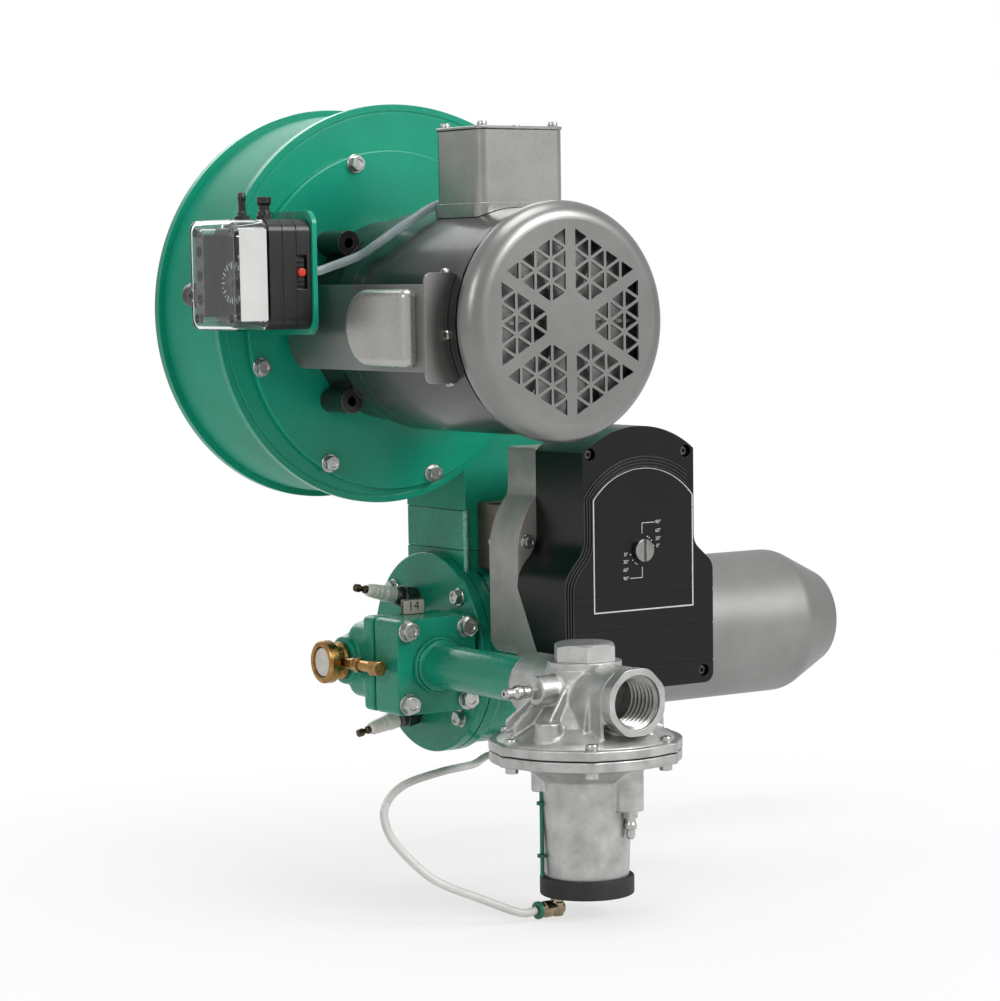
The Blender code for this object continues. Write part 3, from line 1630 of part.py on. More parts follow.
def make_diaphragm():
    """Rubber disc clamped between the castings, with a rolled fold round the stem's plates."""
    outer = regulator_flange_radius - 0.0015
    z = housing_top + gap
    profile = [
        (outer, z),
        (outer, z + diaphragm_thickness),
        (0.054, z + diaphragm_thickness),
        (0.047, z + diaphragm_thickness + 0.0035),
        (0.0395, z + diaphragm_thickness),
        (0.0395, z),
        (0.047, z + 0.0035),
        (0.054, z),
    ]
    return regulator_turned("diaphragm", profile, rubber, 22)


def make_valve_stem():
    """Stem with the valve plug on top and the diaphragm plates at its foot."""
    z = housing_top + gap
    plate = 0.039
    profile = [
        (0, z - 0.0035),
        (0.010, z - 0.0035),
        (0.010, z - 0.0015),
        (plate - 0.004, z - 0.0015),
        (plate, z),
        (plate, z + diaphragm_thickness),
        (plate - 0.004, z + diaphragm_thickness + 0.001),
        (0.006, z + diaphragm_thickness + 0.001),
        (0.0033, z + 0.006),
        (0.0033, 0.0045),
        (0.0135, 0.0045),
        (0.0135, 0.0085),
        (0.0040, 0.0105),
        (0.0038, 0.0215),
        (0, 0.0215),
    ]
    return regulator_turned("valve_stem", profile, brass, 14)


def make_spring_housing():
    """Lower die casting under the diaphragm, with the impulse boss and test nipple."""
    top = housing_top
    foot = spring_housing_foot
    flange = regulator_flange_radius - 0.0005
    wall = 0.003
    outer = [
        (flange, top),
        (flange, top - 0.006),
        (flange - 0.008, top - 0.0075),
        (spring_housing_top_radius + 0.010, top - 0.011),
        (spring_housing_top_radius, top - 0.020),
        (spring_housing_foot_radius, foot),
    ]
    inner = [
        (spring_housing_foot_radius - wall, foot),
        (spring_housing_top_radius - wall, top - 0.022),
        (0.044, top - 0.010),
        (0.056, top - 0.004),
        (0.056, top),
    ]
    housing = regulator_turned("spring_housing", outer + inner, die_cast, 22)
    boss_x, boss_y = gas_x + 0.013, regulator_y - 0.033
    boss = several("side_boss", [((boss_x, boss_y, -0.083), (0, 0, 1), 0.0112, 0.036, 10)], die_cast)
    web = box(
        "boss_web", (boss_x - 0.007, boss_y, -0.083), (boss_x + 0.007, boss_y + 0.010, -0.056), die_cast
    )
    nut = several("low_nut", [((boss_x + 0.002, boss_y, -0.089), (0, 0, 1), 0.0050, 0.0075, 6)], steel)
    stem = several("low_nipple", [((boss_x + 0.002, boss_y, -0.104), (0, 0, 1), 0.0036, 0.017, 8)], steel)
    rear_boss = several(
        "rear_boss",
        [((gas_x - 0.034, regulator_y + 0.010, -0.070), (0, 0, 1), 0.0055, 0.024, 10)],
        die_cast,
    )
    return join(housing, boss, web, nut, stem, rear_boss)


def make_regulator_spring():
    """Compression spring between the diaphragm plates and the end cap's seat."""
    top = housing_top + gap - 0.0035 - gap
    low = spring_housing_foot + 0.012
    turns_count = 6
    wire = 0.0011
    coil = 0.0120
    steps = turns_count * 8
    curve = bpy.data.curves.new("regulator_spring", "CURVE")
    curve.dimensions = "3D"
    curve.bevel_depth = wire
    curve.bevel_resolution = 0
    curve.use_fill_caps = True
    spline = curve.splines.new("POLY")
    spline.points.add(steps)
    rise = top - low - 2 * wire
    for step, point in enumerate(spline.points):
        angle = 2 * math.pi * turns_count * step / steps
        share = step / steps
        point.co = (coil * math.cos(angle), coil * math.sin(angle), low + wire + rise * share, 1)
    made = bpy.data.objects.new("regulator_spring", curve)
    made.location = (gas_x, regulator_y, 0)
    curve.materials.append(steel)
    parts.objects.link(made)
    return made


def make_end_cap():
    """Rubber ring cap over the foot of the spring housing, with the spring's seat inside."""
    foot = spring_housing_foot
    inner_foot = spring_housing_foot_radius - 0.003 - gap
    profile = [
        (0, foot - end_cap_height),
        (end_cap_radius - 0.001, foot - end_cap_height),
        (end_cap_radius, foot - end_cap_height + 0.001),
        (end_cap_radius, foot + 0.0005),
        (end_cap_radius - 0.001, foot + 0.0015),
        (spring_housing_foot_radius + 0.0012, foot + 0.0015),
        (spring_housing_foot_radius + 0.0012, foot - gap),
        (inner_foot, foot - gap),
        (inner_foot, foot + 0.006),
        (0.016, foot + 0.006),
        (0.016, foot + 0.012 - gap),
        (0, foot + 0.012 - gap),
    ]
    return regulator_turned("spring_end_cap", profile, rubber, 22)


def make_impulse_elbow():
    """Push-in elbow screwed up into the end cap, its outlet facing the rear."""
    low = spring_housing_foot - end_cap_height
    x, y = gas_x - 0.024, regulator_y + 0.004
    riser = several("impulse_elbow", [((x, y, low - gap - 0.0105), (0, 0, 1), 0.0048, 0.0105, 10)], brass)
    nut = several("elbow_nut", [((x, y, low - gap - 0.0035), (0, 0, 1), 0.0062, 0.0035, 6)], brass)
    arm = several("elbow_arm", [((x + 0.0055, y, low - 0.0085), (-1, 0, 0), 0.0055, 0.020, 10)], brass)
    collar = several("elbow_collar", [((x - 0.0143, y, low - 0.0085), (-1, 0, 0), 0.0060, 0.004, 10)], brass)
    return join(riser, nut, arm, collar)


# Air pressure switch


def switch_loop(inset=0.0):
    """Side view of the switch as (distance towards -Y, height)."""
    near, far = -switch_near_y, -(switch_near_y + switch_width)
    return rounded_rectangle(
        (far + inset, switch_low + inset), (near - inset, switch_high - inset), switch_corner - inset * 0.8, 3
    )


def make_switch_bracket():
    """Green plate behind the switch with a foot under one of the motor plate's bolts."""
    sheet_x = switch_bracket_sheet
    foot_y = motor_face - gap
    loop = rounded_rectangle(
        (-foot_y, switch_low - 0.004), (-switch_near_y + 0.002, switch_high + 0.006), 0.010, 3
    )
    plate = extruded("switch_bracket", [loop], sheet_x, enamel, "-X", (switch_x, 0, 0))
    bolt_x, bolt_rise = round_places(motor_bolts, motor_bolt_circle, motor_bolt_phase)[1]
    bolt_z = blower_height + bolt_rise
    foot_low = (switch_x - sheet_x + 0.0005, foot_y - sheet_x, bolt_z - 0.0252)
    foot = box("bracket_foot", foot_low, (switch_x + 0.016, foot_y, bolt_z + 0.0168), enamel)
    notch_low = (switch_x - 0.01, foot_y - 0.013, bolt_z - 0.0097)
    notch = box(
        "bolt_notch", notch_low, (switch_x + 0.01, foot_y - sheet_x, bolt_z + 0.0098), enamel, cutter=True
    )
    cut(plate, notch)
    join(plate, foot)
    hole_start = (blower_x + bolt_x, foot_y + 0.01, bolt_z)
    hole = several("foot_hole", [(hole_start, (0, -1, 0), 0.0044, 0.03, 10)], enamel, True)
    port_start = (switch_x + 0.01, switch_near_y + switch_port_inset, switch_port_z)
    port_hole = several("port_hole", [(port_start, (-1, 0, 0), 0.0052, 0.03, 10)], enamel, True)
    return cut(plate, hole, port_hole)


def make_switch():
    base_x = switch_x - switch_bracket_sheet - gap
    base = extruded("switch_base", [switch_loop()], switch_base_depth, black_plastic, "-X", (base_x, 0, 0))
    chassis_near, chassis_far = -switch_near_y - 0.006, -(switch_near_y + switch_width) + 0.006
    chassis_loop = rounded_rectangle(
        (chassis_far, switch_low + 0.006), (chassis_near, switch_high - 0.006), 0.004, 3
    )
    chassis = extruded(
        "chassis", [chassis_loop], 0.010, black_plastic, "-X", (base_x - switch_base_depth + 0.001, 0, 0)
    )
    nipples = [
        (
            (base_x - switch_base_depth * 0.7, switch_mid_y + 0.022, switch_high - 0.001),
            (0, 0, 1),
            0.0028,
            0.022,
            8,
        ),
        (
            (base_x - switch_base_depth * 0.7, switch_mid_y - 0.010, switch_high - 0.001),
            (0, 0, 1),
            0.0042,
            0.018,
            8,
        ),
    ]
    seats = [((x, y, z), axis, 0.0062, 0.005, 6) for (x, y, z), axis, _, _, _ in nipples]
    port_start = (base_x - 0.001, switch_near_y + switch_port_inset, switch_port_z)
    port = several("pressure_port", [(port_start, (1, 0, 0), 0.0045, 0.0055, 10)], black_plastic)
    join(
        base,
        chassis,
        several("switch_nipples", nipples, black_plastic),
        several("nipple_seats", seats, black_plastic),
        port,
    )
    button_x = base_x - 0.0085
    button_z = blower_height + switch_button_rise
    recess = box("button_recess", (button_x - 0.005, switch_near_y - 0.01, button_z - 0.012),
                 (button_x + 0.005, switch_near_y + 0.004, button_z + 0.012), black_plastic, cutter=True)
    shank_hole = several(
        "button_way",
        [((button_x, switch_near_y - 0.01, button_z), (0, 1, 0), 0.0019, 0.022, 8)],
        black_plastic,
        True,
    )
    dial_axis = dial_centre()
    pin_hole = several(
        "dial_pin_way",
        [((dial_axis[0] - 0.001, dial_axis[1], dial_axis[2]), (1, 0, 0), 0.0028, 0.012, 10)],
        black_plastic,
        True,
    )
    cut(base, recess, shank_hole, pin_hole)
    button = several(
        "reset_button",
        [((button_x, switch_near_y + 0.0022, button_z), (0, -1, 0), 0.0030, 0.0042, 14)],
        red_plastic,
    )
    shank = several(
        "button_shank",
        [((button_x, switch_near_y + 0.0085, button_z), (0, -1, 0), 0.0016, 0.007, 8)],
        red_plastic,
    )
    join(button, shank)
    dial = several("setting_dial", [(dial_axis, (-1, 0, 0), dial_radius, 0.004, 28)], black_plastic)
    pin = several(
        "dial_pin",
        [((dial_axis[0] + 0.0085, dial_axis[1], dial_axis[2]), (-1, 0, 0), 0.0025, 0.009, 10)],
        black_plastic,
    )
    knob = several(
        "dial_knob",
        [((dial_axis[0] - 0.0035, dial_axis[1], dial_axis[2]), (-1, 0, 0), 0.004, 0.003, 10)],
        black_plastic,
    )
    join(dial, pin, knob)
    cover_x = base_x - switch_base_depth - gap
    gland_x = cover_x - 0.0170
    gland_y = switch_near_y + switch_width
    gland_z = blower_height + switch_gland_rise
    cover = extruded(
        "switch_cover", [switch_loop()], switch_cover_depth, clear_plastic, "-X", (cover_x, 0, 0)
    )
    edges = cover.modifiers.new("edges", "BEVEL")
    edges.width = 0.003
    edges.segments = 2
    edges.limit_method = "ANGLE"
    edges.angle_limit = math.radians(60)
    room = extruded(
        "cover_inside",
        [switch_loop(switch_wall)],
        switch_cover_depth,
        clear_plastic,
        "-X",
        (cover_x + switch_wall, 0, 0),
        True,
    )
    gland_hole = several(
        "gland_hole",
        [((gland_x, gland_y + 0.01, gland_z), (0, -1, 0), 0.0072, 0.02, 10)],
        clear_plastic,
        True,
    )
    cut(cover, room, gland_hole)
    gland = several(
        "cable_gland", [((gland_x, gland_y + 2 * gap, gland_z), (0, 1, 0), 0.0105, 0.006, 6)], black_plastic
    )
    thread = several(
        "gland_thread", [((gland_x, gland_y - 0.006, gland_z), (0, 1, 0), 0.0066, 0.010, 10)], black_plastic
    )
    dome = several(
        "gland_dome", [((gland_x, gland_y + 0.005, gland_z), (0, 1, 0), 0.0092, 0.008, 10)], black_plastic
    )
    bore = several(
        "gland_bore",
        [((gland_x, gland_y - 0.02, gland_z), (0, 1, 0), 0.0042, 0.05, 8)],
        black_plastic,
        True,
    )
    join(gland, thread, dome)
    cut(gland, bore)


def dial_centre():
    return (
        switch_x - switch_bracket_sheet - gap - switch_base_depth - 0.009 - gap,
        switch_mid_y - 0.004,
        blower_height + switch_dial_rise,
    )


# Lines


def make_air_tap():
    """Barbed nipple on the drum's near side, behind the motor."""
    y = blower_front - gap
    nut = several("air_tap", [((air_tap_x, y, air_tap_z), (0, -1, 0), 0.0070, 0.006, 6)], brass)
    barb = several("air_barb", [((air_tap_x, y - 0.005, air_tap_z), (0, -1, 0), 0.0030, 0.012, 8)], brass)
    return join(nut, barb)


def make_lines():
    port_x = switch_x - switch_bracket_sheet - gap - 0.001 + 0.0055 + 2 * gap
    start_y = switch_near_y + switch_port_inset
    sensing_route = [
        (port_x, start_y, switch_port_z),
        (port_x + 0.004, start_y, switch_port_z),
        (port_x + 0.008, start_y, switch_port_z + 0.0002),
        *[(rear_x + x, y, blower_height + rise) for x, y, rise in sensing_bends],
        (air_tap_x - 0.008, -0.0980, air_tap_z + 0.0012),
        (air_tap_x, -0.0800, air_tap_z),
        (air_tap_x, -0.0720, air_tap_z),
        (air_tap_x, blower_front - gap - 0.017 - gap, air_tap_z),
    ]
    flexible_tube("sensing_tube", sensing_route, sensing_tube_radius, clear_plastic)
    elbow_x = gas_x - 0.024 - 0.0143 - 0.004 - gap
    elbow_y = regulator_y + 0.004
    elbow_z = spring_housing_foot - end_cap_height - 0.0085
    impulse_route = [
        (elbow_x, elbow_y, elbow_z),
        (elbow_x - 0.014, elbow_y, elbow_z + 0.0005),
        *[(rear_x + x, y, z) for x, y, z in impulse_bends],
        (body_tap_x - 0.0260, body_tap_y, tap_z),
        (body_tap_x - 0.0200, body_tap_y, tap_z),
        (body_tap_x - 0.0145 - 2 * gap, body_tap_y, tap_z),
    ]
    flexible_tube("impulse_tube", impulse_route, impulse_tube_radius, milky_plastic)


make_burner_body()
make_rear_cover()
make_combustion_tube()
make_electrode("spark_plug", spark_height, steel)
make_electrode("flame_rod", flame_rod_height, steel)
make_gas_nozzle()
make_flame_holder()
make_gas_casting()
make_sight_port()
make_orifice_plate()
make_gas_block()
make_blower_housing()
make_side_plates()
make_inlet_ring()
make_motor_plate()
make_impeller()
make_front_bell()
make_motor_frame()
make_rear_bell()
make_fan_cover()
make_motor_inside()
make_terminal_box()
make_capacitor()
make_valve_housing()
make_damper()
make_actuator_bracket()
make_actuator()
make_regulator_body()
make_inlet_collar()
make_regulator_cap()
make_diaphragm()
make_valve_stem()
make_spring_housing()
make_regulator_spring()
make_end_cap()
make_impulse_elbow()
make_switch_bracket()
make_switch()
make_air_tap()
make_lines()
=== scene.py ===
import json
import math

import bmesh
import bpy
from mathutils import Euler, Matrix, Vector


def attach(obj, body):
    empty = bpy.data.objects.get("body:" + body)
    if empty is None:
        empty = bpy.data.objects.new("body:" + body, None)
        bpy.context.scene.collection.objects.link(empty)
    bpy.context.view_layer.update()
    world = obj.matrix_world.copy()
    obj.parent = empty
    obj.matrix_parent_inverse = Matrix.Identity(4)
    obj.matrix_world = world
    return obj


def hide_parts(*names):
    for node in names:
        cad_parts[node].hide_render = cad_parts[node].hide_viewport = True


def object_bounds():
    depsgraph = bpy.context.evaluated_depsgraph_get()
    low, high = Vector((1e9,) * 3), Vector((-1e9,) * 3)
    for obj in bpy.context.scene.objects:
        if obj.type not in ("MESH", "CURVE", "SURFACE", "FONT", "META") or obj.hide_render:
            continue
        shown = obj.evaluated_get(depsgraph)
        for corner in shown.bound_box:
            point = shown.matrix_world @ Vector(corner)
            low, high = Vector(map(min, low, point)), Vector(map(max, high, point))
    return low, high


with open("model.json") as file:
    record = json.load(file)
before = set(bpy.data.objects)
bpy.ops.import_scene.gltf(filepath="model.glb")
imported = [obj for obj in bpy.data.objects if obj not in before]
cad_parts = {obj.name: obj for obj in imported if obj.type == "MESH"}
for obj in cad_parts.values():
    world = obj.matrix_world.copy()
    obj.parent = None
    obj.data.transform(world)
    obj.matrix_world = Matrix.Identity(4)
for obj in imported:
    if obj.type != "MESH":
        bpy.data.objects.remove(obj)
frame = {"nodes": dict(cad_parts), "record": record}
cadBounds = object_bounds()
scene = bpy.context.scene
scene.view_settings.view_transform = "Standard"
mm = 0.001


def placed(name, data):
    made = bpy.data.objects.new(name, data)
    scene.collection.objects.link(made)
    return made


# Camera, at the photo's viewing angle

cameraSettings = {
    "place": (-1.46019, -2.04920, 0.29784),
    "azimuth": -34.352,
    "elevation": 7.947,
    "roll": 0.829,
    "lens": 111.49,
    "shift": (-0.02256, 0.2021),
}


def makeCamera(settings):
    turn, rise = math.radians(settings["azimuth"]), math.radians(settings["elevation"])
    roll = math.radians(settings["roll"])
    level = Vector((math.cos(turn), math.sin(turn), 0))
    back = Vector((math.sin(turn) * math.cos(rise), -math.cos(turn) * math.cos(rise), math.sin(rise)))
    above = back.cross(level)
    right = math.cos(roll) * level - math.sin(roll) * above
    up = math.sin(roll) * level + math.cos(roll) * above
    data = bpy.data.cameras.new("camera")
    data.lens, data.sensor_width = settings["lens"], 36
    data.shift_x, data.shift_y = settings["shift"]
    data.clip_start, data.clip_end = 0.05, 60
    made = placed("camera", data)
    made.matrix_world = Matrix.Translation(settings["place"]) @ Matrix((right, up,
        back)).transposed().to_4x4()
    scene.camera = made


makeCamera(cameraSettings)


# Materials: small helpers first

def colour(text):
    channels = [int(text[i:i + 2], 16) / 255 for i in (0, 2, 4)]
    return [c / 12.92 if c <= 0.04045 else ((c + 0.055) / 1.055) ** 2.4 for c in channels] + [1.0]


def addNode(owner, kind, settings=None, values=None, links=None):
    tree = owner.node_tree if hasattr(owner, "node_tree") else owner
    node = tree.nodes.new(kind)
    for key, value in (settings or {}).items():
        setattr(node, key, value)
    for key, value in (values or {}).items():
        node.inputs[key].default_value = value
    for key, source in (links or {}).items():
        tree.links.new(source, node.inputs[key])
    return node


def newMaterial(name):
    made = bpy.data.materials.new(name)
    made.use_nodes = True
    made.node_tree.nodes.clear()
    return made


def objectNoise(material, sizeMm, detail=3.0, roughness=0.5, stretch=(1, 1, 1)):
    place = addNode(material, "ShaderNodeTexCoord").outputs["Object"]
    scaled = addNode(material, "ShaderNodeVectorMath", {"operation": "MULTIPLY"}, {1: stretch}, {0: place})
    values = {"Scale": 1000 / sizeMm, "Detail": detail, "Roughness": roughness}
    noise = addNode(material, "ShaderNodeTexNoise", {}, values, {"Vector": scaled.outputs[0]})
    return noise.outputs["Fac"]


def ranged(material, source, fromLow, fromHigh, toLow, toHigh):
    values = {"From Min": fromLow, "From Max": fromHigh, "To Min": toLow, "To Max": toHigh}
    return addNode(material, "ShaderNodeMapRange", {"clamp": True}, values, {"Value": source}).outputs[0]


def mixed(material, factor, first, second):
    node = addNode(material, "ShaderNodeMix", {"data_type": "RGBA"}, {}, {"Factor": factor})
    for socket, item in ((node.inputs[6], first), (node.inputs[7], second)):
        if isinstance(item, str):
            socket.default_value = colour(item)
        else:
            material.node_tree.links.new(item, socket)
    return node.outputs[2]


# Paler edge mask, part wear, part painted highlight: one where a corner is rounded within the width, zero on
# flat places
def wearAndHighlightEdgeMask(material, widthMm):
    rounded = addNode(material, "ShaderNodeBevel", {"samples": 4}, {"Radius": widthMm * mm})
    flat = addNode(material, "ShaderNodeNewGeometry").outputs["Normal"]
    links = {0: rounded.outputs[0], 1: flat}
    facing = addNode(material, "ShaderNodeVectorMath", {"operation": "DOT_PRODUCT"}, {}, links)
    return ranged(material, facing.outputs["Value"], 0.80, 0.96, 1, 0)


def bumped(material, source, depthMm):
    values = {"Strength": 1.0, "Distance": depthMm * mm}
    return addNode(material, "ShaderNodeBump", {}, values, {"Height": source}).outputs[0]


# A painted, plated or moulded skin: two tones in slow patches, paler edges of wear and painted highlight, and
# a fine grain
def surface(name, base, dark, metallic, roughness, mottleMm, grainMm, grainDepthMm, edge=None, edgeMm=0.7,
        coat=0.0, specular=0.5, stretch=(1, 1, 1)):
    made = newMaterial(name)
    mottle = objectNoise(made, mottleMm, 4, 0.6)
    grain = objectNoise(made, grainMm, 3, 0.55, stretch)
    tone = mixed(made, ranged(made, mottle, 0.35, 0.65, 0, 1), base, dark)
    # Paler edges: part wear, part painted highlight along the rounded corners
    if edge:
        tone = mixed(made, wearAndHighlightEdgeMask(made, edgeMm), tone, edge)
    rough = ranged(made, grain, 0.3, 0.7, *roughness)
    normal = bumped(made, grain, grainDepthMm)
    links = {"Base Color": tone, "Roughness": rough, "Normal": normal}
    values = {"Metallic": metallic, "Coat Weight": coat, "Coat Roughness": 0.12}
    if not metallic:
        values["Specular IOR Level"] = specular
    shader = addNode(made, "ShaderNodeBsdfPrincipled", {}, values, links)
    addNode(made, "ShaderNodeOutputMaterial", {}, {}, {"Surface": shader.outputs[0]})
    return made


# Gloss enamel sprayed over cast iron: the sand-cast skin shows as a slow orange peel under the shine
castEnamel = surface("castIronEnamel", "1A9F80", "158D70", 0, (0.22, 0.30), 55, 5.0, 0.08, "48B495", 0.8,
    0.10, 0.30)
# The same enamel on sheet steel: flatter, with a fine orange peel
sheetEnamel = surface("sheetSteelEnamel", "17A484", "139778", 0, (0.22, 0.28), 90, 2.4, 0.02, "52BFA0", 0.7,
    0.10, 0.30)
# The scroll's wrap, brushed by hand and duller than the plates
wrapEnamel = surface("brushedEnamel", "17A081", "139273", 0, (0.44, 0.54), 80, 2.0, 0.02, "5CC4A6", 0.8,
    0.0, 0.30)
# Enamel run thick over the weld beads: wetter, and painted paler as a painted highlight, so that the beads
# catch the light
highlightWeldEnamel = surface("enamelOverWeld", "9ED8C4", "4FAE92", 0, (0.18, 0.28), 3, 1.0, 0.05, "CDEFE4", 0.8,
    0.2, 0.5)
# Metallic grey lacquer on cast aluminium: a silvery sheen over a slightly lumpy casting
motorLacquer = surface("metallicGreyLacquer", "50504E", "444442", 0.85, (0.27, 0.36), 45, 1.6, 0.02,
    "9A9A97", 0.8, 0.25)
# The same lacquer on pressed sheet, smoother, and painted paler as painted light, so that the grille reads
# against its dark inside
fanCoverLacquer = surface("paleGreyLacquer", "8C8C8A", "828280", 0.80, (0.30, 0.38), 50, 1.4, 0.012,
    "ACACA9", 0.7, 0.2)
# On the terminal box it is painted palest, as painted light on its brightly lit sides, with a soft even shine
# on its flat sides
boxLacquer = surface("boxLacquer", "A2A29F", "969693", 0.85, (0.26, 0.34), 40, 1.2, 0.012, "BEBEBA", 0.6, 0.2)
# Sand-cast aluminium, tumbled: pale, matt and pebbled
castAluminium = surface("sandCastAluminium", "C6C6C4", "A8A8A6", 0.9, (0.36, 0.50), 18, 1.0, 0.10, "E6E6E4",
    0.8)
# Die-cast metal left bare: a matt warm grey skin with hardly any metal shine
dieCastGrey = surface("dieCastAluminium", "B2AFAA", "A09D98", 0.25, (0.42, 0.54), 22, 0.9, 0.03, "D6D6D2",
    0.6)
# Zinc plate on steel: white metal, nearly smooth
zincSteel = surface("zincPlatedSteel", "C6C7C4", "ABACA8", 1.0, (0.24, 0.36), 6, 0.5, 0.008, "E2E2DE", 0.3)
# Galvanised sheet, dulled and a little brown
bareSheet = surface("galvanisedSheet", "7A7268", "665F56", 0.9, (0.35, 0.5), 12, 0.8, 0.01, "C9C5BB", 0.4)
# Turned steel: darker than zinc, with fine marks of the tool in its shine
turnedSteel = surface("turnedSteel", "9C9C99", "868683", 1.0, (0.26, 0.36), 9, 0.6, 0.006, "C8C8C4", 0.3)
# Heat-resisting alloy tube, rolled and satin ground
satinAlloy = surface("satinHeatAlloy", "9B9B9A", "8E8E8C", 0.9, (0.42, 0.50), 80, 0.8, 0.012, "B8B8B6", 0.6)
# Turned brass: warm, with bright corners, part wear and part painted highlight
brassLook = surface("turnedBrass", "B08A52", "8E683A", 1.0, (0.22, 0.34), 8, 0.7, 0.008, "DDB776", 0.35)
# Moulded black plastic with an eggshell shine and paler edges
blackAbs = surface("blackAbs", "151515", "101010", 0, (0.30, 0.42), 30, 0.7, 0.015, "363636", 0.4, 0.1)
# Rubber: the only matt black, slightly grey with dust
softRubber = surface("blackRubber", "2B2B2B", "222222", 0, (0.60, 0.75), 10, 0.8, 0.03, "454545", 0.6)
# Glazed ceramic: warm white under a clear soft shine
glazedCeramic = surface("glazedCeramic", "FFF6F0", "F8ECE4", 0, (0.25, 0.34), 12, 2.0, 0.01)
# Milky tube: even, nearly white, with a long soft highlight
milkyPolyethylene = surface("milkyPolyethylene", "DEDEDA", "D2D2CC", 0, (0.3, 0.4), 20, 2.0, 0.01)
# The button's red, the one strong accent
redAbs = surface("redAbs", "D9402F", "C23325", 0, (0.3, 0.4), 10, 1.0, 0.01)
# Copper windings, seen only through openings
copperWire = surface("windingCopper", "B5713F", "8E5127", 0.9, (0.3, 0.42), 6, 0.8, 0.05)
# Stacked electrical sheet: thin lines across the axis, far coarser than real so that they show
laminations = surface("laminatedSteel", "8A8A88", "70706E", 0.9, (0.35, 0.5), 10, 0.5, 0.03,
    stretch=(0.1, 8, 0.1))
# The capacitor's pressed dome is the brightest of the lacquered parts: the same lacquer painted paler as
# painted light
litDomeLacquer = surface("brightGreyLacquer", "BEBEBB", "B2B2AF", 0.80, (0.26, 0.34), 50, 1.4, 0.010,
    "D0D0CE", 0.7, 0.2)


# A clear or hazy plastic, its shine a little uneven
def clearMaterial(name, tint, roughness, ior, clear=1.0):
    made = newMaterial(name)
    haze = ranged(made, objectNoise(made, 25), 0.3, 0.7, roughness, roughness * 1.8)
    values = {"Base Color": colour(tint), "Transmission Weight": clear, "IOR": ior}
    shader = addNode(made, "ShaderNodeBsdfPrincipled", {}, values, {"Roughness": haze})
    addNode(made, "ShaderNodeOutputMaterial", {}, {}, {"Surface": shader.outputs[0]})
    return made


# Clear moulding: almost invisible but for its edges and a sharp highlight
clearCover = clearMaterial("clearPolycarbonate", "F2F5F5", 0.03, 1.3)
# Sight glass over a pale inside: a small bright disc with a hard shine
sightGlass = surface("sightGlass", "EAE5DD", "DCD6CC", 0, (0.06, 0.12), 8, 2.0, 0.004, None, 0.7, 0.3)
# Clear tube with some haze, so that it reads as a pale line before green and grey
sensingPvc = clearMaterial("translucentPvc", "C0CCD0", 0.06, 1.38, 0.45)

nodeFinishes = {
    "burner_body": castEnamel, "rear_cover": castEnamel, "combustion_tube": satinAlloy,
    "spark_plug_shell": zincSteel, "spark_plug_insulator": glazedCeramic,
    "flame_rod_shell": zincSteel, "flame_rod_insulator": glazedCeramic,
    "gas_nozzle": turnedSteel, "flame_holder": turnedSteel, "gas_casting": castEnamel,
    "sight_port": brassLook, "sight_glass": sightGlass, "branch_plug": brassLook,
    "orifice_plate": zincSteel, "gas_block": castEnamel, "blower_housing": sheetEnamel,
    "near_side_plate": sheetEnamel, "far_side_plate": sheetEnamel, "inlet_collar": castAluminium,
    "air_inlet_ring": sheetEnamel, "motor_plate": sheetEnamel, "impeller": zincSteel,
    "motor_shaft": turnedSteel, "rotor_core": laminations, "cooling_fan": fanCoverLacquer,
    "motor_frame": motorLacquer, "front_end_bell": motorLacquer, "rear_end_bell": motorLacquer,
    "fan_cover": fanCoverLacquer, "stator_core": copperWire, "front_bearing": turnedSteel,
    "rear_bearing": turnedSteel, "terminal_box": boxLacquer, "terminal_box_lid": boxLacquer,
    "capacitor_cover": fanCoverLacquer, "valve_housing": castEnamel, "damper_disc": zincSteel,
    "damper_shaft": turnedSteel, "position_dial": turnedSteel, "actuator_bracket": bareSheet,
    "actuator_base": dieCastGrey, "actuator_cover": blackAbs, "regulator_body": castAluminium,
    "regulator_cap": castAluminium, "diaphragm": softRubber, "valve_stem": brassLook,
    "spring_housing": castAluminium, "regulator_spring": zincSteel, "spring_end_cap": softRubber,
    "impulse_elbow": brassLook, "switch_bracket": sheetEnamel, "switch_base": blackAbs,
    "switch_cover": clearCover, "setting_dial": blackAbs, "reset_button": redAbs,
    "cable_gland": blackAbs, "air_tap": brassLook, "sensing_tube": sensingPvc,
    "impulse_tube": milkyPolyethylene,
}


def camelName(node):
    first, *rest = node.split("_")
    return first + "".join(word.capitalize() for word in rest)


bodyOf = {node: body for body, nodes in frame["record"]["behaviour"]["bodies"].items() for node in nodes}
slotOf = {row["node"]: row["material_slot"] for row in frame["record"]["subparts"]}
dressed = set()


def linked(name, mesh, material):
    made = placed(name, mesh)
    mesh.materials.clear()
    mesh.materials.append(material)
    return made


def meshFrom(name, shape):
    mesh = bpy.data.meshes.new(name)
    shape.to_mesh(mesh)
    shape.free()
    return mesh


# The mesh that an object's modifiers, or its curve, make
def frozen(obj):
    return bpy.data.meshes.new_from_object(obj.evaluated_get(bpy.context.evaluated_depsgraph_get()))


def softShaded(mesh, angle):
    mesh.shade_smooth()
    mesh.set_sharp_from_angle(angle=math.radians(angle))


def polar(radius, angle):
    return (radius * math.cos(angle), radius * math.sin(angle))


def settle(obj, bevel=0.0, angle=35, segments=2, weighted=True):
    if bevel:
        step = obj.modifiers.new("edges", "BEVEL")
        step.width, step.segments, step.limit_method = bevel, segments, "ANGLE"
        step.angle_limit = math.radians(angle)
        step.miter_outer = "MITER_ARC"
    if weighted:
        softShaded(obj.data, angle)
        step = obj.modifiers.new("flatness", "WEIGHTED_NORMAL")
        step.keep_sharp = True
    material = obj.data.materials[0] if obj.data.materials else None
    made = frozen(obj)
    obj.modifiers.clear()
    obj.data = made
    made.name = obj.name
    if material and not made.materials:
        made.materials.append(material)
    return obj


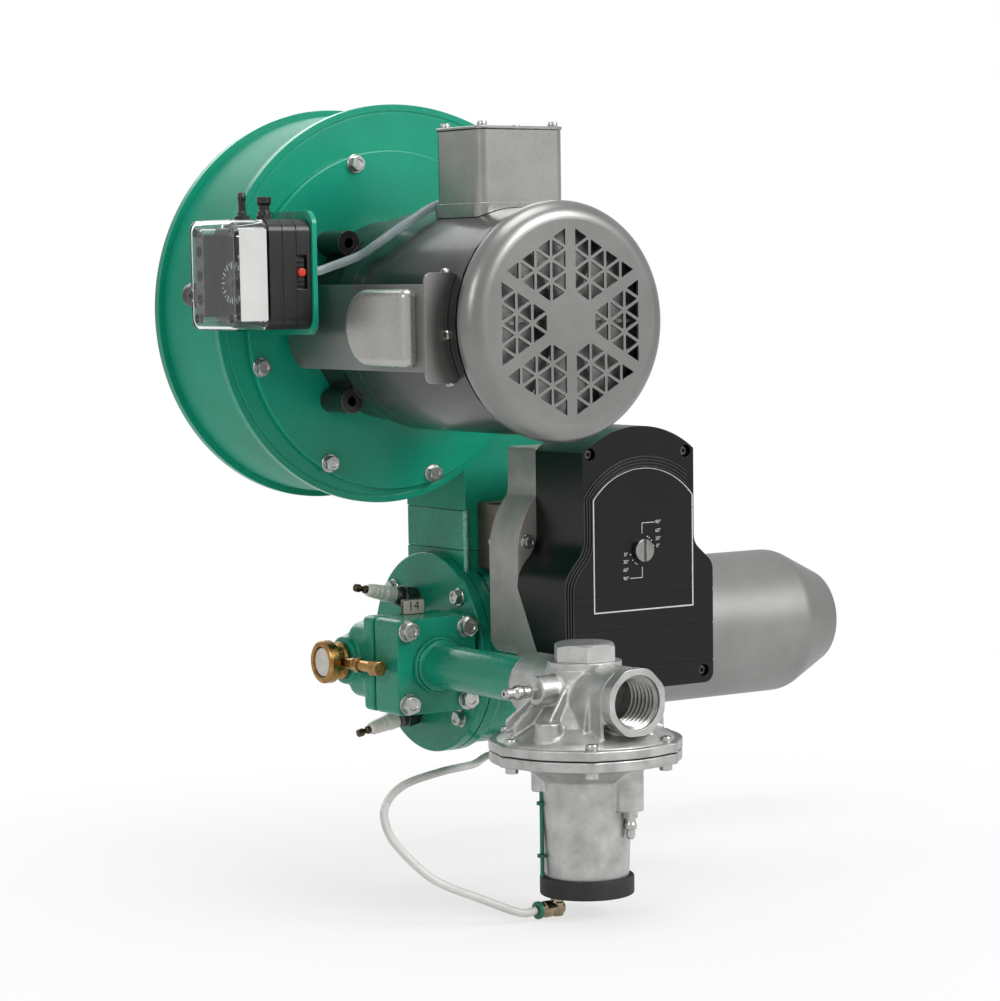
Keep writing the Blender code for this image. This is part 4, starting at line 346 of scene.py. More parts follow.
# Every made piece rides a body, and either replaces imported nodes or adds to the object
def finished(obj, nodes=(), slot=None, body="burner"):
    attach(obj, body)
    if nodes:
        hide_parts(*nodes)
        dressed.update(nodes)
        slot = slot or slotOf[nodes[0]]
    return obj


def fromShape(name, shape, material, matrix=None):
    if matrix is not None:
        bmesh.ops.transform(shape, matrix=matrix, verts=shape.verts)
    bmesh.ops.remove_doubles(shape, verts=shape.verts, dist=1e-6)
    bmesh.ops.recalc_face_normals(shape, faces=shape.faces)
    return linked(name, meshFrom(name, shape), material)


turns = {
    "+X": (math.pi / 2, 0, math.pi / 2), "-X": (math.pi / 2, 0, -math.pi / 2),
    "+Y": (math.pi / 2, 0, math.pi), "-Y": (math.pi / 2, 0, 0),
    "+Z": (0, 0, 0), "-Z": (math.pi, 0, 0),
}


def placing(axis, origin):
    return Matrix.Translation(origin) @ Euler(turns[axis]).to_matrix().to_4x4()


def eased(points, radius, steps=4, closed=True, keep=()):
    found = []
    count = len(points)
    for index, point in enumerate(points):
        if (not closed and index in (0, count - 1)) or index in keep:
            found.append(tuple(point))
            continue
        here = Vector(point)
        before, after = Vector(points[index - 1]), Vector(points[(index + 1) % count])
        reach = min(radius, (before - here).length * 0.45, (after - here).length * 0.45)
        start = here + (before - here).normalized() * reach
        end = here + (after - here).normalized() * reach
        for step in range(steps + 1):
            t = step / steps
            found.append(tuple(start * (1 - t) ** 2 + here * 2 * t * (1 - t) + end * t ** 2))
    return found


def turned(name, profile, material, axis="+Z", origin=(0, 0, 0), sides=128):
    shape = bmesh.new()
    rings = []
    for radius, height in profile:
        if radius < 1e-7:
            rings.append([shape.verts.new((0, 0, height))] * sides)
            continue
        rings.append([shape.verts.new((*polar(radius, 2 * math.pi * i / sides), height))
            for i in range(sides)])
    count = len(rings)
    isOpen = profile[0][0] < 1e-7 and profile[-1][0] < 1e-7
    for a in range(count - 1 if isOpen else count):
        low, high = rings[a], rings[(a + 1) % count]
        for i in range(sides):
            j = (i + 1) % sides
            corners = []
            for vert in (low[i], low[j], high[j], high[i]):
                if vert not in corners:
                    corners.append(vert)
            if len(corners) > 2:
                shape.faces.new(corners)
    return fromShape(name, shape, material, placing(axis, origin))


def raised(name, loops, thickness, material, axis="+Z", origin=(0, 0, 0)):
    curve = bpy.data.curves.new(name, "CURVE")
    curve.dimensions, curve.fill_mode, curve.extrude = "2D", "BOTH", thickness / 2
    for loop in loops:
        spline = curve.splines.new("POLY")
        spline.points.add(len(loop) - 1)
        for point, (across, up) in zip(spline.points, loop):
            point.co = (across, up, 0, 1)
        spline.use_cyclic_u = True
    holder = placed(name + "Outline", curve)
    mesh = frozen(holder)
    bpy.data.objects.remove(holder)
    shape = bmesh.new()
    shape.from_mesh(mesh)
    bmesh.ops.translate(shape, verts=shape.verts, vec=(0, 0, thickness / 2))
    made = fromShape(name, shape, material, placing(axis, origin))
    flat = bmesh.new()
    flat.from_mesh(made.data)
    bmesh.ops.dissolve_limit(flat, angle_limit=math.radians(0.3), verts=flat.verts, edges=flat.edges,
        delimit={"NORMAL"})
    flat.to_mesh(made.data)
    flat.free()
    return made


def block(name, low, high, material):
    shape = bmesh.new()
    size = Matrix.Diagonal([b - a for a, b in zip(low, high)] + [1])
    middle = Matrix.Translation([(a + b) / 2 for a, b in zip(low, high)])
    bmesh.ops.create_cube(shape, size=1, matrix=middle @ size)
    return fromShape(name, shape, material)


def peg(name, start, axis, radius, length, material, sides=48):
    spot = Vector(start)
    turn = Vector(axis).to_track_quat("Z", "Y").to_matrix().to_4x4()
    shape = bmesh.new()
    bmesh.ops.create_cone(shape, cap_ends=True, segments=sides, radius1=radius, radius2=radius,
        depth=length, matrix=Matrix.Translation(spot + Vector(axis).normalized() * length / 2) @ turn)
    return fromShape(name, shape, material)


def combined(target, operation, *others):
    for other in others:
        step = target.modifiers.new(operation.lower(), "BOOLEAN")
        step.operation, step.object, step.solver = operation, other, "EXACT"
        step.material_mode = "INDEX"
    made = frozen(target)
    target.modifiers.clear()
    target.data = made
    for other in others:
        bpy.data.objects.remove(other)
    shape = bmesh.new()
    shape.from_mesh(made)
    bmesh.ops.remove_doubles(shape, verts=shape.verts, dist=2e-6)
    bmesh.ops.dissolve_degenerate(shape, edges=shape.edges, dist=2e-6)
    shape.to_mesh(made)
    shape.free()
    return target


def turnedBy(obj, place, degrees, axis):
    obj.data.transform(Matrix.Translation(place) @ Matrix.Rotation(math.radians(degrees), 4, axis))
    return obj


def cut(target, *others):
    return combined(target, "DIFFERENCE", *others)


def join(target, *others):
    return combined(target, "UNION", *others)


def arc(centre, radius, start, end, steps):
    angles = [math.radians(start + (end - start) * step / steps) for step in range(steps + 1)]
    return [(centre[0] + radius * math.cos(a), centre[1] + radius * math.sin(a)) for a in angles]


def circle(centre, radius, steps=96):
    return arc(centre, radius, 0, 360 - 360 / steps, steps - 1)


def roundedRectangle(low, high, radius, steps=8):
    (left, bottom), (right, top) = [v + radius for v in low], [v - radius for v in high]
    return (arc((right, bottom), radius, -90, 0, steps) + arc((right, top), radius, 0, 90, steps)
        + arc((left, top), radius, 90, 180, steps) + arc((left, bottom), radius, 180, 270, steps))


def roundPlaces(count, radius, phase=0.0):
    angles = [phase + 2 * math.pi * index / count for index in range(count)]
    return [(-radius * math.sin(angle), radius * math.cos(angle)) for angle in angles]


# One tree for all that repeats: the points of a small mesh each get a copy of a shape

def repeatTree():
    tree = bpy.data.node_groups.new("repeatOnPoints", "GeometryNodeTree")
    face = tree.interface
    kinds = {"Points": "Geometry", "Shape": "Object", "Turn": "Vector", "Spin jitter": "Float",
        "Material": "Material"}
    for name, kind in kinds.items():
        face.new_socket(name, in_out="INPUT", socket_type="NodeSocket" + kind)
    face.new_socket("Geometry", in_out="OUTPUT", socket_type="NodeSocketGeometry")
    start = addNode(tree, "NodeGroupInput")
    info = addNode(tree, "GeometryNodeObjectInfo", {}, {}, {"Object": start.outputs["Shape"]})
    turn = addNode(tree, "FunctionNodeEulerToRotation", {}, {}, {"Euler": start.outputs["Turn"]})
    low = addNode(tree, "ShaderNodeMath", {"operation": "MULTIPLY"}, {1: -1},
        {0: start.outputs["Spin jitter"]})
    random = addNode(tree, "FunctionNodeRandomValue", {"data_type": "FLOAT"}, {"Seed": 7},
        {2: low.outputs[0], 3: start.outputs["Spin jitter"]})
    about = addNode(tree, "ShaderNodeCombineXYZ", {}, {}, {"Z": random.outputs[1]})
    spin = addNode(tree, "FunctionNodeEulerToRotation", {}, {}, {"Euler": about.outputs[0]})
    both = addNode(tree, "FunctionNodeRotateRotation", {"rotation_space": "LOCAL"}, {},
        {0: turn.outputs[0], 1: spin.outputs[0]})
    copies = addNode(tree, "GeometryNodeInstanceOnPoints", {}, {}, {
        "Points": start.outputs["Points"], "Instance": info.outputs["Geometry"], "Rotation": both.outputs[0]})
    real = addNode(tree, "GeometryNodeRealizeInstances", {}, {}, {0: copies.outputs[0]})
    paint = addNode(tree, "GeometryNodeSetMaterial", {}, {}, {
        "Geometry": real.outputs[0], "Material": start.outputs["Material"]})
    addNode(tree, "NodeGroupOutput", {}, {}, {0: paint.outputs[0]})
    return tree


repeater = repeatTree()


def repeated(name, places, shape, material, axis="+Z", jitter=0.0):
    mesh = bpy.data.meshes.new(name)
    mesh.from_pydata([tuple(place) for place in places], [], [])
    made = linked(name, mesh, material)
    step = made.modifiers.new("copies", "NODES")
    step.node_group = repeater
    values = {"Shape": shape, "Turn": Vector(turns[axis]) if isinstance(axis, str) else Vector(axis),
        "Spin jitter": jitter, "Material": material}
    for item in repeater.interface.items_tree:
        if item.in_out == "INPUT" and item.name in values:
            step[item.identifier] = values[item.name]
    whole = frozen(made)
    made.modifiers.clear()
    made.data = whole
    whole.name = name
    softShaded(whole, 24)
    return made


def fastened(name, seats, shape, axis, jitter=0.0, material=zincSteel):
    return finished(repeated(name, seats, shape, material, axis, jitter), slot="bright_steel")


# Lines: the two free tubes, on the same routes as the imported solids

rearX = -0.150
lines = {
    "sensingTube": {
        "node": "sensing_tube", "radius": 0.0032, "material": sensingPvc,
        "route": [
            (-0.3162, -.112, .299), (-0.3122, -.112, .299), (-0.3082, -.112, .2992),
            (rearX - .1492, -.1130, .3020), (rearX - .1310, -.1235, .3095), (rearX - .1262, -.1400, .3175),
            (rearX - .1160, -.1500, .3270), (rearX - .1035, -.1540, .3350), (rearX - .0850, -.1545, .3445),
            (rearX - .0580, -.1535, .3490), (rearX - .0200, -.1460, .3490), (rearX + .0200, -.1250, .3450),
            (-.1015, -.0980, .3430), (-.0935, -.0800, .3418), (-.0935, -.0720, .3418),
            (-.0935, -.0661, .3418),
        ],
    },
    "impulseTube": {
        "node": "impulse_tube", "radius": 0.003, "material": milkyPolyethylene,
        "route": [
            (-.2311, -.2635, -.1545), (-.2451, -.2635, -.1540), (rearX - .122, -.252, -.1420),
            (rearX - .153, -.245, -.1270), (rearX - .170, -.234, -.1090), (rearX - .176, -.220, -.0930),
            (rearX - .166, -.200, -.0790), (rearX - .135, -.175, -.0700), (rearX - .080, -.140, -.0700),
            (rearX - .022, -.095, -.0760), (rearX + .020, -.046, -.0815), (-.1140, -.030, -.0827),
            (-.1080, -.030, -.0827), (-.1031, -.030, -.0827),
        ],
    },
}


def smoothRoute(route, spacing):
    knots = [Vector(point) for point in route]
    knots = [2 * knots[0] - knots[1]] + knots + [2 * knots[-1] - knots[-2]]
    dense = []
    for first, start, end, last in zip(knots, knots[1:], knots[2:], knots[3:]):
        for step in range(24):
            t = step / 24
            dense.append(0.5 * (2 * start + (end - first) * t + (2 * first - 5 * start + 4 * end - last)
                * t ** 2 + (3 * start - first - 3 * end + last) * t ** 3))
    dense.append(knots[-2])
    total = sum((b - a).length for a, b in zip(dense, dense[1:]))
    count = max(2, round(total / spacing))
    found, travelled, target = [dense[0]], 0.0, total / count
    for a, b in zip(dense, dense[1:]):
        length = (b - a).length
        while length > 0 and travelled + length >= target - 1e-9 and len(found) < count:
            found.append(a.lerp(b, (target - travelled) / length))
            target += total / count
        travelled += length
    found.append(dense[-1])
    return found, total


def makeLine(name, line):
    points, total = smoothRoute(line["route"], line["radius"] * 1.5)
    curve = bpy.data.curves.new(name, "CURVE")
    curve.dimensions = "3D"
    curve.bevel_depth = line["radius"]
    curve.bevel_resolution = 6
    curve.use_fill_caps = True
    spline = curve.splines.new("POLY")
    spline.points.add(len(points) - 1)
    for point, spot in zip(spline.points, points):
        point.co = (*spot, 1)
    spline.use_smooth = True
    curve.materials.append(line["material"])
    made = placed(name, curve)
    finished(made, [line["node"]])
    print(name, round(total, 4))


for lineName, line in lines.items():
    makeLine(lineName, line)


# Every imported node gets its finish, and the round ones a smoothed copy over the facets

def smoothCopy(node, material):
    source = frame["nodes"][node]
    mesh = source.data.copy()
    mesh.name = camelName(node)
    shape = bmesh.new()
    shape.from_mesh(mesh)
    bmesh.ops.remove_doubles(shape, verts=shape.verts, dist=0.000002)
    bmesh.ops.dissolve_limit(shape, angle_limit=math.radians(0.5), verts=shape.verts, edges=shape.edges)
    bmesh.ops.triangulate(shape, faces=[face for face in shape.faces if len(face.verts) > 4])
    shape.to_mesh(mesh)
    shape.free()
    while mesh.attributes.get("custom_normal"):
        mesh.attributes.remove(mesh.attributes["custom_normal"])
    softShaded(mesh, 32)
    return finished(linked(camelName(node), mesh, material), [node], body=bodyOf[node])


def dressNodes():
    for node, finish in nodeFinishes.items():
        if node not in frame["nodes"]:
            continue
        obj = frame["nodes"][node]
        obj.data.materials.clear()
        obj.data.materials.append(finish)
        if node not in dressed:
            smoothCopy(node, finish)
    print("nodes dressed")


# Bolts: hexagon heads with a chamfer, on plain washers, and round screws with a recess

bolt = {"flats": 0.013, "height": 0.0055, "washer": 0.0083, "washerThickness": 0.0012}
sideSlope = math.tan(math.radians(28))


def lathe(shape, rows):
    count = len(rows[0][0])
    loops = []
    for radii, heights in rows:
        spots = [(*polar(radii[i], 2 * math.pi * i / count), heights[i]) for i in range(count)]
        loops.append([shape.verts.new(spot) for spot in spots])
    for low, high in zip(loops, loops[1:]):
        for i in range(count):
            j = (i + 1) % count
            shape.faces.new((low[i], low[j], high[j], high[i]))
    shape.faces.new(loops[0][::-1])
    shape.faces.new(loops[-1])


def levels(profile, count):
    return [([radius] * count, [height] * count) for radius, height in profile]


def patternFrom(name, shape):
    bmesh.ops.recalc_face_normals(shape, faces=shape.faces)
    made = placed(name, meshFrom(name, shape))
    made.hide_render = True
    return made


def boltShape(name, flats, height, washer, washerThickness):
    shape = bmesh.new()
    sides, inner = 48, flats / 2 * 0.94
    top = washerThickness + height
    reaches = [flats / 2 / math.cos((2 * math.pi * i / sides) % (math.pi / 3) - math.pi / 6)
        for i in range(sides)]
    lathe(shape, levels([(washer, 0), (washer, washerThickness - 0.0004),
        (washer - 0.0004, washerThickness)], 32))
    drops = [top - max(0.0, reach - inner) * sideSlope for reach in reaches]
    dish = [(inner, top), (inner * 0.66, top), (inner * 0.56, top - 0.0007), (inner * 0.1, top - 0.0007)]
    lathe(shape, [(reaches, [washerThickness] * sides), (reaches, drops)] + levels(dish, sides))
    return patternFrom(name, shape)


hexBolt = boltShape("boltPattern", **bolt)
plateBolt = boltShape("plateBoltPattern", 0.0102, 0.0048, 0.0071, 0.001)
smallBolt = boltShape("smallBoltPattern", 0.008, 0.004, 0.0055, 0.0009)


def screwShape(name, radius, height, recess):
    shape = bmesh.new()
    profile = [(radius * 0.96, 0), (radius, height * 0.3), (radius * 0.98, height * 0.7),
        (radius * 0.86, height), (recess, height), (recess, height * 0.35)]
    lathe(shape, levels(profile, 20))
    return patternFrom(name, shape)


capScrew = screwShape("capScrewPattern", 0.0036, 0.0034, 0.0018)
flangeScrew = screwShape("flangeScrewPattern", 0.0046, 0.0042, 0.0022)


# Drum blower: sheet scroll with rimmed side plates and a round motor plate, and the bead helper for welded
# seams

blower = {
    "x": rearX - 0.0583, "z": 0.2615, "scroll": 0.1366, "growth": 0.00758, "flare": 0.0103, "rim": 0.005,
    "half": 0.042, "plate": 0.0065, "sheet": 0.0025, "ductLeft": rearX + 0.0105, "ductWidth": 0.124,
    "ductTop": 0.1138, "motorHole": 0.108, "inlet": 0.062, "motorPlate": 0.1265, "plateThickness": 0.0052,
    "bolts": 8, "boltCircle": 0.1205, "footThickness": 0.0035, "boltPhase": math.radians(15.3),
}
blowerX, blowerZ = blower["x"], blower["z"]
gap = 0.0003
blowerFront = -(blower["half"] + blower["plate"])
motorFace = blowerFront - gap - blower["plateThickness"]


def scrollPoint(angle, inset=0.0):
    flare = blower["flare"] * max(0.0, angle - math.pi) ** 2
    radius = blower["scroll"] + blower["growth"] * angle + flare - inset
    return (-radius * math.sin(angle), -radius * math.cos(angle))


def scrollLine(inset, first, last, steps):
    return [scrollPoint(first + (last - first) * i / steps, inset) for i in range(steps + 1)]


def sideOutline(inset=0.0, steps=200):
    edge = scrollLine(inset, -1.05, 1.5 * math.pi, steps)
    right = edge[-1][0]
    return edge + [(right, -0.055), (right - 0.045, -0.082 + inset)]


def wrapOutline(inset, steps=196):
    left = blower["ductLeft"] - blowerX + inset
    right = left + blower["ductWidth"] - 2 * inset
    bottom = blower["ductTop"] - blowerZ
    wrap = [p for p in scrollLine(blower["rim"] + inset, -1.0, 1.5 * math.pi, steps)
        if (p[0] < left or p[1] > -0.05) and p[0] < right]
    return [(left, bottom), (left, wrap[0][1])] + wrap + [(right, wrap[-1][1]), (right, bottom)]


def makeBlower():
    half, thin = blower["half"], blower["sheet"]
    inner = [(x, z - (0.01 if z < blower["ductTop"] - blowerZ + 0.001 else 0)) for x, z in wrapOutline(thin)]
    wrap = raised("scrollWrap", [wrapOutline(0)], 2 * half, wrapEnamel, "-Y", (blowerX, half, blowerZ))
    hollow = raised("wrapHollow", [inner], 2 * half + 0.01, wrapEnamel, "-Y",
        (blowerX, half + 0.005, blowerZ))
    cut(wrap, hollow)
    left, bottom = blower["ductLeft"] - blowerX, blower["ductTop"] - blowerZ
    right = left + blower["ductWidth"]
    ductSide = [(left, bottom), (right, bottom), (right, -0.040)] + arc((0, 0), 0.125, -18.7, -56.6, 12)
    join(wrap, *[raised("ductSide", [ductSide], thin, wrapEnamel, "-Y", (blowerX, y, blowerZ))
        for y in (thin - half, half)])
    finished(settle(wrap, 0.0006, 50), ["blower_housing"])


# Both side plates follow the scroll; the far one is the same outline seen from behind
def makeSidePlates():
    half = blower["half"]
    for name, node, axis, sign, hole in (("nearSidePlate", "near_side_plate", "-Y", 1, blower["motorHole"]),
            ("farSidePlate", "far_side_plate", "+Y", -1, blower["inlet"])):
        loop = [(sign * x, z) for x, z in sideOutline()]
        groove = [(sign * x, z) for x, z in sideOutline(0.0062)]
        seat = (blowerX, -sign * (half + gap), blowerZ)
        depth = blower["plate"] - gap
        plate = raised(name, [loop, circle((0, 0), hole, 128)], depth, sheetEnamel, axis, seat)
        lipSeat = (blowerX, -sign * (half + gap + depth - 0.0007), blowerZ)
        lip = raised(name + "Lip", [[(sign * x, z) for x, z in sideOutline(0.0048)], groove], 0.002,
            sheetEnamel, axis, lipSeat)
        cut(plate, lip)
        finished(settle(plate, 0.0009, 50, 3), [node])


# A weld seam: overlapping beads along a route, coarser than a real seam's ripples so that they show
def seamBeads(name, route, spacing, radius, material):
    shape = bmesh.new()
    bmesh.ops.create_icosphere(shape, subdivisions=1, radius=radius)
    mesh = meshFrom(name + "Pattern", shape)
    mesh.shade_smooth()
    pattern = placed(name + "Pattern", mesh)
    points, _ = smoothRoute(route, spacing)
    made = repeated(name, points, pattern, material, "+Z", 0.8)
    bpy.data.objects.remove(pattern)
    made.data.set_sharp_from_angle(angle=math.radians(60))
    return finished(made, slot="green_enamel")


def plateBoltPlaces():
    return roundPlaces(blower["bolts"], blower["boltCircle"], blower["boltPhase"])


# The bolt that also holds the switch bracket's foot sits higher by the foot's thickness
def makeBlowerPlates():
    plate = turned("motorMountPlate", eased([(blower["motorPlate"], 0),
        (blower["motorPlate"], blower["plateThickness"]), (0.030, blower["plateThickness"]), (0.030, 0)],
        0.0012, 3), sheetEnamel, "-Y", (blowerX, blowerFront - gap, blowerZ), 160)
    finished(settle(plate, 0, 30), ["motor_plate"])
    seats = []
    for index, (x, z) in enumerate(plateBoltPlaces()):
        lift = blower["footThickness"] + 3 * gap if index == 1 else 0
        seats.append((blowerX + x, motorFace - lift, blowerZ + z))
    fastened("motorPlateBolts", seats, plateBolt, "-Y", 0.5)
    edge = blower["inlet"]
    profile = eased([(edge - gap, -0.020), (edge - gap, 0.0003), (edge + 0.010, 0.0003),
        (edge + 0.010, 0.0035), (edge - 0.001, 0.0035), (edge - 0.0053, -0.0005), (edge - 0.0053, -0.020)],
        0.0016, 4)
    inlet = turned("inletCone", profile, sheetEnamel, "+Y", (blowerX, -blowerFront, blowerZ), 128)
    finished(settle(inlet, 0, 30), ["air_inlet_ring"])


makeBlower()
makeSidePlates()
makeBlowerPlates()
print("blower ready")


# Flange motor: lacquered end bells and frame, pressed capacitor cover, terminal box and fan cover

motor = {
    "radius": 0.080, "neck": 0.0745, "neckLength": 0.030, "wall": 0.0035, "frontBell": 0.064, "frame": 0.1365,
    "cover": 0.084, "coverSheet": 0.002, "coverDepth": 0.0285, "face": 0.071, "lugCircle": 0.0816,
    "lug": 0.0092, "lugHole": 0.004, "bearing": 0.020, "shaft": 0.008,
    "grille": 0.0670, "pitch": 0.0152, "bar": 0.0019, "skirtStart": 0.012, "rows": 4,
}
frontBellEnd = motorFace - gap - motor["frontBell"]
frameEnd = frontBellEnd - gap - motor["frame"]
fanCoverOpen = frameEnd - 0.0005
fanFace = fanCoverOpen - motor["coverDepth"]


def motorTurned(name, profile, material, y, sides=128):
    return turned(name, profile, material, "-Y", (blowerX, y, blowerZ), sides)


def makeMotorBells():
    y = motorFace - gap
    radius, wall, neck, neckLength = motor["radius"], motor["wall"], motor["neck"], motor["neckLength"]
    seat = motor["bearing"] + gap
    outer = eased([(neck, 0), (neck, neckLength), (neck + 0.001, neckLength + 0.004),
        (radius, neckLength + 0.014), (radius, motor["frontBell"])], 0.006, 6, False)
    inner = [(radius - wall, motor["frontBell"]), (radius - wall, neckLength + 0.025),
        (neck - 0.004, neckLength), (neck - 0.004, 0.010), (seat + 0.006, 0.010), (seat + 0.006, 0.024),
        (seat, 0.024), (seat, 0.008), (motor["shaft"] + 0.002, 0.008), (motor["shaft"] + 0.002, 0)]
    bell = motorTurned("driveEndBell", outer + inner, motorLacquer, y)
    offsets = [(sx * motor["lugCircle"] * math.sqrt(0.5), sz * motor["lugCircle"] * math.sqrt(0.5))
        for sx in (-1, 1) for sz in (-1, 1)]
    for x, z in offsets:
        spot = (blowerX + x, y, blowerZ + z)
        lug = peg("lug", spot, (0, -1, 0), motor["lug"], neckLength + 0.001, motorLacquer, 40)
        web = block("web", (-0.012, -neckLength / 2 + 0.0015, -0.008),
            (0.012, neckLength / 2 - 0.0015, 0.008), motorLacquer)
        turn = Matrix.Rotation(-math.atan2(z, x), 4, "Y")
        web.data.transform(Matrix.Translation((blowerX, y - neckLength / 2 + 0.001, blowerZ)) @ turn
            @ Matrix.Translation((motor["lugCircle"] - 0.012, 0, 0)))
        join(bell, web, lug)
    for x, z in offsets:
        cut(bell, peg("hole", (blowerX + x, y + 0.004, blowerZ + z), (0, -1, 0), motor["lugHole"], 0.05,
            motorLacquer, 24))
    finished(settle(bell, 0.0012, 40, 3), ["front_end_bell"])


def makeMotorFrame():
    radius, wall = motor["radius"], motor["wall"]
    long = motor["frame"] + motor["skirtStart"] + 0.001
    frameProfile = eased([(radius, 0), (radius, long), (radius - wall, long), (radius - wall, 0)], 0.0008, 3)
    shell = motorTurned("motorFrame", frameProfile, motorLacquer, frontBellEnd - gap)
    finished(settle(shell, 0, 40), ["motor_frame"])
    for index, angle in enumerate((-5, 115, 235)):
        x, z = polar(radius, math.radians(angle))
        spot = (blowerX - x, frameEnd + 0.004, blowerZ + z)
        out = (Vector(spot) - Vector((blowerX, spot[1], blowerZ))).normalized()
        turn = out.to_track_quat("Z", "Y").to_euler()
        fastened(f"frameScrew{index}", [spot], capScrew, tuple(turn))


def grilleHoles():
    side = motor["pitch"]
    rise, inset = side * math.sqrt(3) / 2, motor["bar"] / 2
    outer = motor["grille"] * math.sqrt(3) / 2
    found = []
    for sector in range(6):
        turn = math.radians(60 * sector)
        for row in range(motor["rows"] - 1):
            far = outer + inset - row * rise
            near = far - rise
            count = motor["rows"] - row
            for index in range(2 * count - 1):
                centre = (index - (count - 1)) * side / 2
                tip, foot = (near, far) if index % 2 == 0 else (far, near)
                corners = [(tip, centre), (foot, centre - side / 2), (foot, centre + side / 2)]
                middle = (sum(c[0] for c in corners) / 3, sum(c[1] for c in corners) / 3)
                share = 1 - 2 * math.sqrt(3) * inset / side
                loop = [(middle[0] + (x - middle[0]) * share, middle[1] + (z - middle[1]) * share)
                    for x, z in corners]
                loop = [(x * math.cos(turn) - z * math.sin(turn), x * math.sin(turn) + z * math.cos(turn))
                    for x, z in loop]
                found.append(eased(loop, 0.0009, 3))
    return found


def makeFanCover():
    skirt, sheet, depth, face = motor["cover"], motor["coverSheet"], motor["coverDepth"], motor["face"]
    bend, steps = 0.0135, [90 * i / 12 for i in range(13)]
    disc = raised("fanCoverGrille", [circle((0, 0), face, 144)] + grilleHoles(), sheet, fanCoverLacquer,
        "-Y", (blowerX, fanFace + sheet, blowerZ))
    outer = [(face + (skirt - face) * math.cos(math.radians(a)),
        depth - bend + bend * math.sin(math.radians(a))) for a in steps[::-1]]
    inner = [(face + (skirt - face - sheet) * math.cos(math.radians(a)),
        depth - bend + (bend - sheet) * math.sin(math.radians(a))) for a in steps]
    low = motor["skirtStart"]
    ring = motorTurned("fanCoverSkirt", outer + [(skirt, low + 0.0004), (skirt - 0.0004, low),
        (skirt - sheet, low)] + inner, fanCoverLacquer, fanCoverOpen, 144)
    settle(ring, 0, 40)
    shape = bmesh.new()
    shape.from_mesh(ring.data)
    shape.from_mesh(disc.data)
    shape.to_mesh(disc.data)
    shape.free()
    bpy.data.objects.remove(ring)
    for face in disc.data.polygons:
        face.use_smooth = face.normal.y > -0.999 and (face.center
            - Vector((blowerX, 0, blowerZ))).xz.length > motor["face"]
    finished(disc, ["fan_cover"])


capacitor = {
    "stand": 0.097, "half": 0.030, "near": 0.2480, "length": 0.1865, "drop": 0.0025,
    "domeLength": 0.095, "domeHeight": 0.0138, "rimThickness": 0.0022, "screwSide": 0.0075,
}


# The motor's round side, to cut whatever sits on it
def saddle(y, length, material):
    return peg("saddle", (blowerX, y, blowerZ), (0, -1, 0), motor["radius"] + gap, length, material, 128)


def makeCapacitorCover():
    stand, half, near = capacitor["stand"], capacitor["half"], capacitor["near"]
    reach = stand - motor["radius"] * 0.86
    far, middle = near - capacitor["length"], blowerZ - capacitor["drop"]
    outline = ([(near, -half), (near, half)] + arc((far + half * 0.8, half * 0.2), half * 0.8, 90, 180, 24)
        + arc((far + half * 0.8, -half * 0.2), half * 0.8, 180, 270, 24))
    # Painted light: the cover and rim take the paler fan cover lacquer, and the dome the palest one, for
    # their brightly lit sides
    cover = raised("capacitorCover", [outline], reach, fanCoverLacquer, "-X",
        (blowerX - stand + reach, 0, middle))
    cut(cover, saddle(0, 0.3, motorLacquer))
    settle(cover, 0.0075, 50, 5)
    top = half - 0.002
    topFar = near - capacitor["domeLength"]
    loop = [(near - 0.012, -top + 0.001), (near - 0.012, top - 0.001)] + arc((topFar + top, 0), top - 0.001,
        90, 270, 28)
    dome = raised("capacitorDome", [loop], capacitor["domeHeight"], litDomeLacquer, "-X",
        (blowerX - stand + 0.004, 0, middle))
    settle(dome, 0.0062, 50, 6)
    finished(cover, ["capacitor_cover"])
    finished(dome, slot="motor_paint")
    rim = raised("capacitorRim", [roundedRectangle((-stand - 0.0012, -half - 0.008), (-0.070, half + 0.008),
        0.006)], capacitor["rimThickness"], fanCoverLacquer, "-Y", (blowerX, -near + 0.0002, middle))
    cut(rim, saddle(0, 0.3, motorLacquer))
    finished(settle(rim, 0.0008), slot="motor_paint")
    seats = []
    for z in (middle - half - capacitor["screwSide"], middle + half + capacitor["screwSide"]):
        seats.append((blowerX - math.sqrt(motor["radius"] ** 2 - (z - blowerZ) ** 2) - 0.0004,
            -near + 0.0095, z))
    fastened("capacitorScrews", seats, capScrew, "-X")


terminalBox = {
    "left": -0.030, "near": -0.2185, "width": 0.0725, "length": 0.059, "rise": 0.061, "lidHeight": 0.0065,
    "lid": 0.0022, "screwCorner": 0.006,
}


